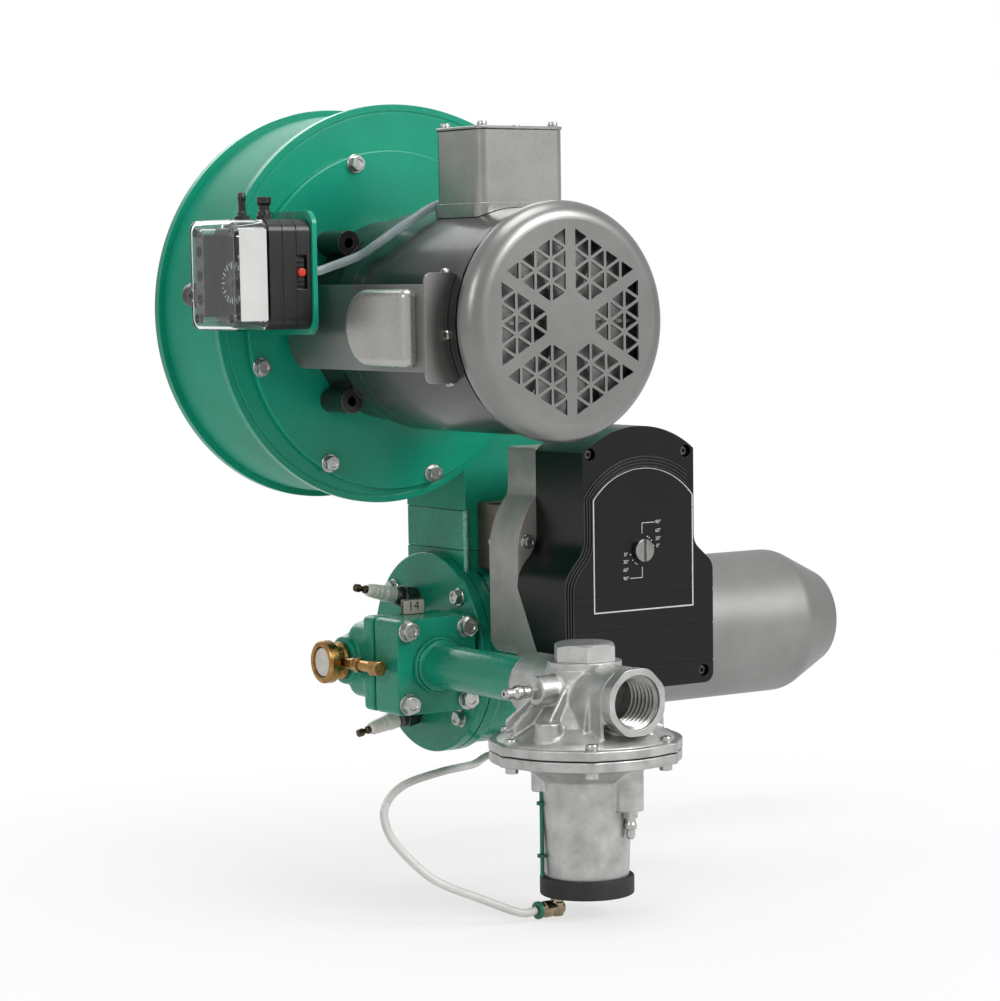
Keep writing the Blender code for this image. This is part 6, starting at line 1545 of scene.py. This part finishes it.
def makeSpringHousing():
    r = regulator
    top, foot = r["housingTop"], r["footZ"]
    outer = [(0.066, top - 0.0005), (0.066, top - 0.0062), (0.060, top - 0.0080),
        (r["shoulder"] + 0.010, top - 0.011), (r["shoulder"], top - 0.020), (r["foot"], foot)]
    inner = [(r["foot"] - 0.003, foot), (r["shoulder"] - 0.004, top - 0.026), (0.036, top - 0.014),
        (0.050, top - 0.005), (0.053, top)]
    housing = aboutRegulator("springHousing", outer + inner, castAluminium, 96)
    bossX, bossY = gasX + 0.013, regulatorY - 0.033
    boss = peg("boss", (bossX, bossY, -0.083), (0, 0, 1), 0.0112, 0.036, castAluminium, 64)
    web = block("web", (bossX - 0.007, bossY, -0.083), (bossX + 0.007, bossY + 0.010, -0.056), castAluminium)
    rear = peg("rear", (gasX - 0.034, regulatorY + 0.010, -0.070), (0, 0, 1), 0.0055, 0.024, castAluminium,
        48)
    join(housing, boss, web, rear)
    cast(housing, 5)
    finished(smoothed(housing, 60, False), ["spring_housing"])
    flange = raised("housingFlange", [flangeLoop(0.0010), circle((0, 0), 0.0658, 96)], 0.0074,
        castAluminium, "+Z", (gasX, regulatorY, top - 0.0061))
    finished(settle(flange, 0.0009, 40, 3), slot=slotOf["spring_housing"])


def makeRubberCap():
    r = regulator
    foot, height = r["footZ"], r["rubberHeight"]
    profile = eased([(0, foot - height), (r["rubber"], foot - height), (r["rubber"], foot + 0.0015),
        (r["foot"] + 0.0012, foot + 0.0015), (r["foot"] + 0.0012, foot - gap), (0, foot - gap)], 0.0016, 4,
        False)
    cap = aboutRegulator("rubberCap", profile, softRubber)
    finished(smoothed(cap), ["spring_end_cap"])


def makeElbow():
    low = regulator["footZ"] - regulator["rubberHeight"]
    x, y = gasX - 0.024, regulatorY + 0.004
    riser = turned("elbowRiser", eased([(0, -0.0140), (0.0046, -0.0140), (0.0052, -0.0100),
        (0.0052, -0.0042), (0.0047, -0.0034), (0.0047, 0), (0, 0)], 0.0010, 4, False), nickelPlate, "+Z",
        (x, y, low - gap), 48)
    arm = turned("elbowArm", eased([(0, 0), (0.0046, 0.0002), (0.0052, 0.004), (0.0052, 0.0100),
        (0.0060, 0.0108), (0.0060, 0.0166), (0.0054, 0.0174), (0.0054, 0.0196), (0, 0.0196)], 0.0007, 4,
        False), nickelPlate, "-X", (x + 0.0050, y, low - 0.0085), 48)
    elbow = join(riser, arm)
    finished(smoothed(elbow, 40), ["impulse_elbow"])
    greenRing("elbowCollar", 0.0031, 0.0064, 0.0030, "-X", (x - 0.0148, y, low - 0.0085), 0.0006, 64)


makeRegulatorBody()
makeRegulatorFlange()
makeInletCollar()
makeRegulatorCap()
makeNipples()
makeSpringHousing()
makeRubberCap()
makeElbow()
print("regulator ready")


# Actuator: die-cast gear case on a bent bracket, moulded cover with ribs, white print and a slotted knob

actuator = {
    "x": valveX - 0.0025, "z": valve["shaftZ"], "top": 0.0515, "foot": 0.0695, "dome": 0.093,
    "corner": 0.0745,
    "shoulder": 0.003, "drop": 0.020, "depth": 0.108, "back": -0.0886, "base": 0.038, "cover": 0.061,
    "frameLeft": 0.028, "frameRight": 0.120, "frameLow": 0.044, "frameCorner": 0.128, "frameTop": 0.150,
    "caseRadius": 0.066, "caseLow": -0.004, "waist": -0.026,
}
baseFront = actuator["back"] - actuator["base"]
coverFront = baseFront - gap - actuator["cover"]


def domeArc(half, corner, rise, steps):
    radius = (half * half + rise * rise) / (2 * rise)
    spread = math.degrees(math.asin(half / radius))
    return arc((0, corner + rise - radius), radius, 90 - spread, 90 + spread, steps)


def actuatorOutline(inset=0.0):
    a = actuator
    half, foot, low = a["top"] - inset, a["foot"] - inset, a["shoulder"] - a["depth"] + inset
    dome = domeArc(half, a["corner"] - inset, a["dome"] - a["corner"], 28)
    left = eased([dome[-1], (-half, a["shoulder"] - inset * 0.4),
        (-foot, a["shoulder"] - a["drop"] - inset * 0.4), (-foot, low + 0.02)], 0.010, 6, False)[1:-1]
    left += arc((-foot + 0.008, low + 0.008), 0.008, 180, 270, 8)
    right = arc((foot - 0.008, low + 0.008), 0.008, 270, 360, 8)
    right += eased([(foot, low + 0.02), (foot, a["shoulder"] - a["drop"] + 0.004), (half, a["shoulder"]),
        dome[0]], 0.006, 5, False)[1:-1]
    return dome + left + right


def makeActuatorCover():
    a = actuator
    origin = (a["x"], baseFront - gap, a["z"])
    cover = raised("actuatorCover", [actuatorOutline()], a["cover"], coverAbs, "-Y", origin)
    grooves = []
    for z in (-0.0075, -0.0330, -0.0620):
        height = a["z"] + z + a["waist"]
        grooves.append(block("groove", (a["x"] - 0.066, coverFront - 0.01, height - 0.0005),
            (a["x"] + 0.080, coverFront + 0.0007, height + 0.0005), coverAbs))
    recesses = [(-0.0445, 0.0735), (0.0440, 0.0725), (0.0605, -0.0955)]
    for x, z in recesses:
        grooves.append(peg("recess", (a["x"] + x, coverFront - 0.001, a["z"] + z), (0, 1, 0), 0.0046, 0.009,
            coverAbs, 40))
    cut(cover, *grooves)
    settle(cover, 0.0018, 50, 4)
    room = raised("room", [[(x * 0.95, z * 0.96) for x, z in actuatorOutline()]], 0.058, coverAbs, "-Y",
        (a["x"], baseFront + 0.001, a["z"]))
    cut(cover, room, peg("dialHole", (valveX, coverFront - 0.01, a["z"]), (0, 1, 0), 0.0045, 0.04, coverAbs))
    finished(smoothed(cover, 30), ["actuator_cover"])
    spots = [(a["x"] + x, coverFront + 0.0066, a["z"] + z) for x, z in recesses]
    fastened("coverScrews", spots, capScrew, "-Y", material=darkSteel)
    # The ribs are painted paler than the cover, a painted highlight along their tops
    ribs = []
    left, right = [a[side] + rearX - a["x"] for side in ("frameLeft", "frameRight")]
    middle, half = (left + right) / 2, (right - left) / 2
    rise = a["frameTop"] - a["frameCorner"]
    radius = (half * half + rise * rise) / (2 * rise)
    centre = (middle, a["frameTop"] - a["z"] - radius)
    for index in range(4):
        apart = 0.0088 - 0.0024 * index
        reach, step = left - apart, a["top"] + left - apart
        first = 180 - math.degrees(math.acos((half + apart) / (radius + apart)))
        last = math.degrees(math.acos((0.044 - middle) / (radius + apart)))
        arch = arc(centre, radius + apart, first, last, 30)
        foot = -a["foot"] + step
        path = eased([(foot, -0.080), (foot, a["shoulder"] - a["drop"] - step * 0.4),
            (reach, a["shoulder"] - step * 0.4), (reach, arch[0][1] - 0.001)], 0.009, 6, False) + arch
        ribs.append(raised("rib", [band(path, 0.0010)], 0.0011, ribHighlightAbs, "-Y",
            (a["x"], coverFront + 0.0002, a["z"])))
    whole = merged("coverRibs", ribs)
    finished(settle(whole, 0.0002, 40, 2), slot=slotOf["actuator_cover"])


def makeActuatorPrint():
    a = actuator
    left, right = a["frameLeft"] + rearX, a["frameRight"] + rearX
    low, corner, top = a["frameLow"], a["frameCorner"], a["frameTop"]
    middle, half = (left + right) / 2, (right - left) / 2

    def frameLoop(grow):
        arch = [(x + middle, z + corner) for x, z in domeArc(half + grow, 0, top - corner + grow * 0.4, 30)]
        return arch + [(left - grow, low - grow), (right + grow, low - grow)]

    def inked(name, loops):
        return raised(name, loops, 0.00016, screenPrint, "-Y", (0, coverFront + 0.00004, 0))

    pieces = [inked("frame", [frameLoop(0.0005), frameLoop(-0.0005)])]
    face = coverFront - 0.00006
    scale = {"90°": 0.0205, "60°": 0.0140, "30°": 0.0080, "0°": 0.0025}
    for side in (1, -1):
        for label, height in list(scale.items())[::side]:
            rise = side * height
            pieces.append(printed(label, 0.0038, (valveX + side * 0.0150, face, a["z"] + rise), screenPrint))
            angle = math.atan2(rise, side * 0.010)
            x, z = polar(0.0112, angle)
            mark = circle((valveX + x, a["z"] + z), 0.0005, 10)
            pieces.append(inked("mark", [mark]))
    for side in (1, -1):
        path = [(valveX + side * 0.0115, a["z"] + side * 0.0205), (valveX, a["z"] + side * 0.0205),
            (valveX, a["z"] + side * 0.0125)]
        for start, end in zip(path, path[1:]):
            pieces.append(inked("line", [band([start, end], 0.0005)]))
    finished(merged("coverPrint", pieces))


def makeActuatorBase():
    a = actuator
    half, foot, top = a["top"], a["foot"], a["corner"] + 0.002
    bow, low = a["caseRadius"], a["caseLow"]
    loop = ([(half, top), (-half, top), (-half, 0.046)] + arc((-foot + bow, low), bow, 138, 180, 24)
        + [(-foot, -0.072), (-foot + 0.006, -0.080), (foot - 0.010, -0.080), (foot, -0.072)]
        + arc((foot - bow, low), bow, 0, 42, 24) + [(half, 0.046)])
    keep = [i for i, (x, z) in enumerate(loop) if -0.01 < z < 0.045]
    base = raised("gearCase", [eased(loop, 0.003, 4, True, keep)], a["base"], dieCastGrey, "-Y",
        (a["x"], a["back"] - gap, a["z"]))
    settle(base, 0.0011, 30, 3)
    room = block("room", (a["x"] - 0.046, baseFront - 0.002, a["z"] - 0.074),
        (a["x"] + 0.046, a["back"] - 0.005, a["z"] + 0.068), dieCastGrey)
    cut(base, room, peg("way", (valveX, a["back"] + 0.01, a["z"]), (0, -1, 0), 0.0095, 0.03, dieCastGrey))
    finished(smoothed(base, 30), ["actuator_base"])
    skin = raised("gearCaseSkirt", [actuatorOutline(-0.0006),
        [(x * 0.96, z * 0.97) for x, z in actuatorOutline()]], 0.044, dieCastGrey, "-Y",
        (a["x"], baseFront, a["z"]))
    wedge = block("wedge", (-0.1, -0.2, -0.2), (0.1, 0, 0.3), dieCastGrey)
    turnedBy(wedge, (a["x"], baseFront, a["z"] + a["waist"]), -27.5, "X")
    cut(skin, wedge)
    finished(settle(skin, 0.0003, 40), slot=slotOf["actuator_base"])
    edge = arc((-foot + bow, low), bow + 0.0004, 118, 186, 40) + arc((-foot + bow, low), bow - 0.0020, 186,
        118, 40)
    rim = raised("gearCaseRim", [edge], 0.0036, dieCastGrey, "-Y", (a["x"], baseFront + 0.0062, a["z"]))
    finished(settle(rim, 0.0008, 30, 3), slot=slotOf["actuator_base"])
    seats = [(a["x"] + side * 0.0600, baseFront - gap / 2, a["z"] + 0.006) for side in (-1, 1)]
    fastened("caseScrews", seats, smallBolt, "-Y", 0.6)


def makeKnob():
    a = actuator
    start, face = baseFront - 0.0083, a["cover"] - 0.008
    profile = [(0, 0), (0.024, 0), (0.024, 0.006), (0.004, 0.006), (0.004, face + gap)]
    profile += eased([(0.0085, face + gap), (0.0085, face + 0.004), (0, face + 0.004)], 0.0006, 4, False,
        (0,))
    knob = turned("positionKnob", profile, turnedSteel, "-Y", (valveX, start, a["z"]), 96)
    tip = start - face - 0.004
    cut(knob, block("slot", (valveX - 0.0012, tip - 0.001, a["z"] - 0.02),
        (valveX + 0.0012, tip + 0.0016, a["z"] + 0.02), turnedSteel))
    finished(settle(knob, 0.0002, 40), ["position_dial"], body="butterfly")


def makeBracket():
    left = valveX - 0.051
    right, back, front, low, high = left + 0.111, -0.0423, -0.0883, 0.0682, 0.1195
    bracket = block("bentBracket", (left, front, low), (right, back, high), bareSheet)
    core = block("core", (left + 0.003, front + 0.003, low - 0.01),
        (right - 0.003, back - 0.003, high + 0.01), bareSheet)
    cut(bracket, core, peg("way", (valveX, back + 0.01, valve["shaftZ"]), (0, -1, 0), 0.0095, 0.08,
        bareSheet, 48))
    finished(settle(bracket, 0.0009, 40, 3), ["actuator_bracket"])
    seats = [(x, back - 0.0031, high - 0.008) for x in (left + 0.014, right - 0.014)]
    fastened("bracketBolts", seats, smallBolt, "-Y", 0.5)
    seats = [(left - 0.0002, -0.066, 0.090)]
    fastened("bracketScrews", seats, capScrew, "-X", 0.5)


# The actuator's cover: deep glossy black with faint edges
coverAbs = surface("glossBlackAbs", "0C0C0D", "09090A", 0, (0.28, 0.36), 40, 0.5, 0.010, "3C3C3D", 0.4, 0.0,
    0.30)
# Its ribs, painted paler than the cover as a painted highlight on their tops, so that they show on it
ribHighlightAbs = surface("rubbedAbs", "38383A", "303032", 0, (0.30, 0.38), 40, 0.5, 0.010, "5A5A5C", 0.5, 0.0, 0.30)
makeActuatorCover()
makeActuatorPrint()
makeActuatorBase()
makeKnob()
makeBracket()
print("actuator ready")


# Air pressure switch: ribbed base, chassis and dial under a clear cover, on its own green bracket

switch = {
    "x": rearX - 0.1675, "sheet": 0.0035, "near": -0.124, "width": 0.068, "low": 0.258, "height": 0.078,
    "base": 0.034, "cover": 0.0275, "wall": 0.0018, "corner": 0.009, "dial": 0.0155,
    "dialZ": 0.2915, "portZ": 0.299, "portSide": 0.012, "buttonZ": 0.2985, "buttonBack": 0.0085,
    "screwCorner": 0.0085,
}
switchBase = switch["x"] - switch["sheet"] - gap
switchFar = switch["near"] + switch["width"]
switchHigh = switch["low"] + switch["height"]
switchMid = switch["near"] + switch["width"] / 2
switchFace = switchBase - switch["base"]
glandSpot = (switchFace - gap - 0.0170, switchFar, 0.283)
buttonX, buttonZ = switchBase - switch["buttonBack"], switch["buttonZ"]


def switchLoop(inset=0.0, steps=10):
    return roundedRectangle((-switchFar + inset, switch["low"] + inset),
        (-switch["near"] - inset, switchHigh - inset), max(switch["corner"] - inset * 0.8, 0.001), steps)


def makeSwitchBase():
    slabs, start = [], switchBase
    for depth, inset in ((0.0118, 0.0), (0.0005, 0.0005), (0.0107, 0.0), (0.0005, 0.0005), (0.0105, 0.0)):
        slabs.append(raised("slab", [switchLoop(inset)], depth, blackAbs, "-X", (start, 0, 0)))
        start -= depth
    chassis = raised("chassis", [switchLoop(0.006)], 0.0102, blackAbs, "-X", (switchFace + 0.0005, 0, 0))
    settle(chassis, 0.0006)
    row = block("terminalRow", (switchFace - 0.0235, switchFar - 0.0160, switch["low"] + 0.010),
        (switchFace + 0.0005, switchFar - 0.0030, switchHigh - 0.010), blackAbs)
    for z in (0.280, 0.297, 0.314):
        cut(row, peg("clamp", (switchFace - 0.024, switchFar - 0.0095, z), (1, 0, 0), 0.0040, 0.006,
            blackAbs))
    settle(row, 0.0005)
    cutter = block("recess", (buttonX - 0.005, switch["near"] - 0.01, buttonZ - 0.012),
        (buttonX + 0.005, switch["near"] + 0.004, buttonZ + 0.012), blackAbs)
    cut(slabs[0], cutter)
    for slab in slabs[::2]:
        settle(slab, 0.0004, 40)
    whole = merged("switchBase", slabs)
    ledges = [block("ledge", (buttonX - 0.0032, switch["near"] + 0.0012, buttonZ + z),
        (buttonX + 0.0032, switch["near"] + 0.0045, buttonZ + z + 0.0022), blackAbs)
        for z in (-0.0095, -0.0062, 0.0040, 0.0073)]
    whole = merged("switchBase", [whole, chassis, row] + ledges)
    port = peg("port", (switchBase - 0.001, switch["near"] + switch["portSide"], switch["portZ"]),
        (1, 0, 0), 0.0045, 0.0065, blackAbs, 48)
    whole = merged("switchBase", [whole, port])
    cut(whole, peg("pinWay", (switchFace - 0.012, switchMid - 0.004, switch["dialZ"]), (1, 0, 0), 0.0029,
        0.0135, blackAbs))
    cut(whole, peg("shankWay", (buttonX, switch["near"] - 0.01, buttonZ), (0, 1, 0), 0.0020, 0.022, blackAbs))
    finished(smoothed(whole, 30), ["switch_base"])


def makeSwitchNipples():
    for name, y, radius, flare, length in (("lowPressureNipple", switchMid + 0.022, 0.0026, 0.0031, 0.021),
            ("highPressureNipple", switchMid - 0.010, 0.0038, 0.0052, 0.017)):
        x = switchBase - switch["base"] * 0.7
        seat = hexagon("seat", 0.0108, 0.0045, blackAbs, "+Z", (x, y, switchHigh - 0.001), 0, 0, True)
        stem = turned("stem", eased([(0, 0.003), (radius * 1.3, 0.003), (radius * 1.2, 0.007),
            (radius, 0.0075), (radius, length - 0.006), (flare, length - 0.0045),
            (flare, length - 0.0030 if flare < 0.004 else length), (radius * 0.9, length),
            (radius * 0.5, length), (radius * 0.5, length - 0.006), (0, length - 0.006)], 0.0004, 3, False),
            blackAbs, "+Z", (x, y, switchHigh - 0.001), 48)
        finished(smoothed(merged(name, [seat, stem]), 30), slot=slotOf["switch_base"])


def makeResetButton():
    button = turned("resetButton", eased([(0, 0.0042), (0.0030, 0.0042), (0.0030, 0), (0.0016, 0),
        (0.0016, -0.0063), (0, -0.0063)], 0.0006, 4, False, (3,))[::-1], redAbs, "-Y",
        (buttonX, switch["near"] + 0.0022, buttonZ), 48)
    finished(smoothed(button), ["reset_button"], body="reset_button")


def makeSwitchDial():
    s = switch
    x, y, z = switchFace - 0.0093, switchMid - 0.004, s["dialZ"]
    radius = s["dial"]
    dial = turned("settingDial", eased([(0, -0.0085), (0.0025, -0.0085), (0.0025, 0), (radius, 0),
        (radius, 0.0034), (radius - 0.0006, 0.0040), (0.0048, 0.0040), (0.0040, 0.0065), (0, 0.0065)],
        0.0004, 3, False), blackAbs, "-X", (x, y, z), 96)
    cut(dial, block("slot", (x - 0.0075, y - 0.0007, z - 0.0032), (x - 0.0052, y + 0.0007, z + 0.0032),
        blackAbs))
    finished(smoothed(dial, 30), ["setting_dial"], body="switch_dial")
    marks = []
    for index in range(24):
        across, up = math.sin(math.radians(15 * index)), math.cos(math.radians(15 * index))
        inner, outer = radius * (0.66 if index % 2 == 0 else 0.78), radius * 0.93
        line = [(-y + reach * across, z + reach * up) for reach in (inner, outer)]
        marks.append(raised("tick", [band(line, 0.0011 if index % 2 == 0 else 0.0006)], 0.00012,
            screenPrint, "-X", (x - 0.0040, 0, 0)))
    finished(merged("dialMarks", marks), body="switch_dial")
    pointer = raised("dialPointer", [[(-y - 0.0016, z + radius + 0.0042),
        (-y + 0.0016, z + radius + 0.0042), (-y, z + radius + 0.0010)]], 0.00012, screenPrint, "-X",
        (switchFace - 0.0097, 0, 0))
    finished(pointer)


def makeSwitchCover():
    s = switch
    start = switchFace - gap
    shell = raised("clearCover", [switchLoop()], s["cover"], clearCover, "-X", (start, 0, 0))
    settle(shell, 0.003, 60, 4, False)
    inside = raised("inside", [switchLoop(s["wall"])], s["cover"], clearCover, "-X",
        (start + s["wall"], 0, 0))
    settle(inside, 0.0022, 60, 4, False)
    cut(shell, inside)
    x, y, z = glandSpot
    cut(shell, peg("hole", (x, y + 0.01, z), (0, -1, 0), 0.0072, 0.02, clearCover, 48))
    finished(smoothed(shell, 30), ["switch_cover"])
    posts, screws = [], []
    c = s["screwCorner"]
    for y, z in [(y, z) for y in (s["near"] + c, switchFar - c) for z in (s["low"] + c, switchHigh - c)]:
        posts.append(turned("post", eased([(0.0021, 0.0006), (0.0036, 0.0006),
            (0.0036, s["cover"] - 0.0026), (0.0021, s["cover"] - 0.0026)], 0.0003, 2), clearCover, "-X",
            (start, y, z), 40))
        screws.append((start - s["cover"] + 0.0052, y, z))
    finished(smoothed(merged("coverPosts", posts)), slot=slotOf["switch_cover"])
    fastened("switchCoverScrews", screws, capScrew, "-X", 0.4, material=darkSteel)


def makeBlankLabel():
    s = switch
    start = switchFace - gap
    label = raised("blankLabel", [roundedRectangle((-(start - 0.0020), s["low"] + 0.0068),
        (-(start - s["cover"] + 0.0035), switchHigh - 0.0068), 0.0008)], 0.00018, labelPaper, "-Y",
        (0, s["near"] - 0.00002, 0))
    label.data.transform(Matrix.Scale(-1, 4, (1, 0, 0)))
    label.data.flip_normals()
    finished(label)


def makeCableGland():
    x, y, z = glandSpot
    hexPart = hexagon("hexPart", 0.0182, 0.006, blackAbs, "+Y", (x, y + 2 * gap, z), 0.0042, 0, True)
    thread = turned("thread", [(0.0042, -0.006), (0.0066, -0.006), (0.0066, 0.001), (0.0042, 0.001)],
        blackAbs, "+Y", glandSpot, 48)
    dome = turned("dome", eased([(0.0042, 0.0055), (0.0092, 0.0055), (0.0092, 0.0145), (0.0062, 0.0190),
        (0.0042, 0.0190)], 0.0016, 5), blackAbs, "+Y", glandSpot, 64)
    finished(smoothed(merged("cableGland", [hexPart, thread, dome]), 30), ["cable_gland"])


def makeSwitchBracket():
    s = switch
    footY = motorFace - gap
    loop = roundedRectangle((-footY, s["low"] - 0.004), (-s["near"] + 0.002, switchHigh + 0.006), 0.010, 10)
    plate = raised("switchBracket", [loop], s["sheet"], sheetEnamel, "-X", (s["x"], 0, 0))
    boltX, boltRise = plateBoltPlaces()[1]
    boltZ = blowerZ + boltRise
    foot = block("foot", (s["x"] - s["sheet"] + 0.0005, footY - s["sheet"], boltZ - 0.0252),
        (s["x"] + 0.016, footY, boltZ + 0.0168), sheetEnamel)
    notch = block("notch", (s["x"] - 0.01, footY - 0.013, boltZ - 0.0097),
        (s["x"] + 0.01, footY - s["sheet"], boltZ + 0.0098), sheetEnamel)
    cut(plate, notch)
    join(plate, foot)
    cut(plate, peg("hole", (blowerX + boltX, footY + 0.01, boltZ), (0, -1, 0), 0.0044, 0.03, sheetEnamel,
        32), peg("portHole", (s["x"] + 0.01, s["near"] + s["portSide"], s["portZ"]), (-1, 0, 0), 0.0052,
        0.03, sheetEnamel, 32))
    finished(settle(plate, 0.0008, 40, 3), ["switch_bracket"])


makeSwitchBase()
makeSwitchNipples()
makeResetButton()
makeSwitchDial()
makeSwitchCover()
makeBlankLabel()
makeCableGland()
makeSwitchBracket()
print("pressure switch ready")

dressNodes()


# Floor, world and lamps

def cameraLike(tree):
    path = addNode(tree, "ShaderNodeLightPath")
    mirrored = addNode(tree, "ShaderNodeMath", {"operation": "MULTIPLY"}, {1: studio["mirrorShow"]},
        {0: path.outputs["Is Glossy Ray"]})
    first = addNode(tree, "ShaderNodeMath", {"operation": "MAXIMUM"}, {},
        {0: path.outputs["Is Camera Ray"], 1: mirrored.outputs[0]})
    both = addNode(tree, "ShaderNodeMath", {"operation": "MAXIMUM"}, {},
        {0: first.outputs[0], 1: path.outputs["Is Transmission Ray"]})
    return both.outputs[0]


studio = {
    "floorDrop": 0.002, "floorHalf": 12, "ambient": 0.20, "floorShow": 0.70, "mirrorShow": 0.60,
    "shadowCentre": (-0.15, -0.25, -0.16), "shadowReach": (0.15, 0.75),
}


def makeStudio(settings):
    floorZ = cadBounds[0][2] - settings["floorDrop"]
    half = settings["floorHalf"]
    mesh = bpy.data.meshes.new("floor")
    corners = [(-half, -half, floorZ), (half, -half, floorZ), (half, half, floorZ), (-half, half, floorZ)]
    mesh.from_pydata(corners, [], [(0, 1, 2, 3)])
    floorPaint = newMaterial("paleStudioFloor")
    matt = addNode(floorPaint, "ShaderNodeBsdfDiffuse", {}, {"Color": colour("F2F2F2")})
    glow = addNode(floorPaint, "ShaderNodeEmission", {}, {"Color": colour("FFFFFF"), "Strength": 1.0})
    place = addNode(floorPaint, "ShaderNodeNewGeometry").outputs["Position"]
    away = addNode(floorPaint, "ShaderNodeVectorMath", {"operation": "DISTANCE"},
        {1: settings["shadowCentre"]}, {0: place})
    show = ranged(floorPaint, away.outputs["Value"], *settings["shadowReach"], settings["floorShow"], 1)
    share = addNode(floorPaint, "ShaderNodeMath", {"operation": "MULTIPLY"}, {},
        {0: cameraLike(floorPaint), 1: show})
    both = addNode(floorPaint, "ShaderNodeMixShader", {}, {},
        {0: share.outputs[0], 1: matt.outputs[0], 2: glow.outputs[0]})
    addNode(floorPaint, "ShaderNodeOutputMaterial", {}, {}, {"Surface": both.outputs[0]})
    linked("floor", mesh, floorPaint)

    world = bpy.data.worlds.new("studio")
    scene.world = world
    world.use_nodes = True
    world.node_tree.nodes.clear()
    strength = addNode(world, "ShaderNodeMapRange", {}, {"To Min": settings["ambient"], "To Max": 1.0},
        {"Value": cameraLike(world)})
    sky = addNode(world, "ShaderNodeBackground", {}, {"Color": colour("FFFFFF")},
        {"Strength": strength.outputs[0]})
    addNode(world, "ShaderNodeOutputWorld", {}, {}, {"Surface": sky.outputs[0]})


lamps = {
    "keyLamp": {"place": (0.9, -2.4, 1.6), "size": 1.3, "power": 50},
    "leftLamp": {"place": (-2.4, -0.9, 1.3), "size": 0.8, "power": 11},
    "topLamp": {"place": (-0.1, -0.3, 2.3), "size": 1.3, "power": 22},
    "backLamp": {"place": (0.2, 2.1, 1.2), "size": 1.4, "power": 14},
}


lampAim = Vector((-0.12, -0.12, 0.13))


def makeLamp(name, settings):
    data = bpy.data.lights.new(name, "AREA")
    data.energy, data.size = settings["power"], settings["size"]
    made = placed(name, data)
    made.location = settings["place"]
    aim = lampAim - made.location
    made.rotation_euler = aim.to_track_quat("-Z", "Y").to_euler()


makeStudio(studio)
for lampName, lampSettings in lamps.items():
    makeLamp(lampName, lampSettings)
print("studio ready")

for pattern in (hexBolt, plateBolt, smallBolt, capScrew, flangeScrew):
    bpy.data.objects.remove(pattern)
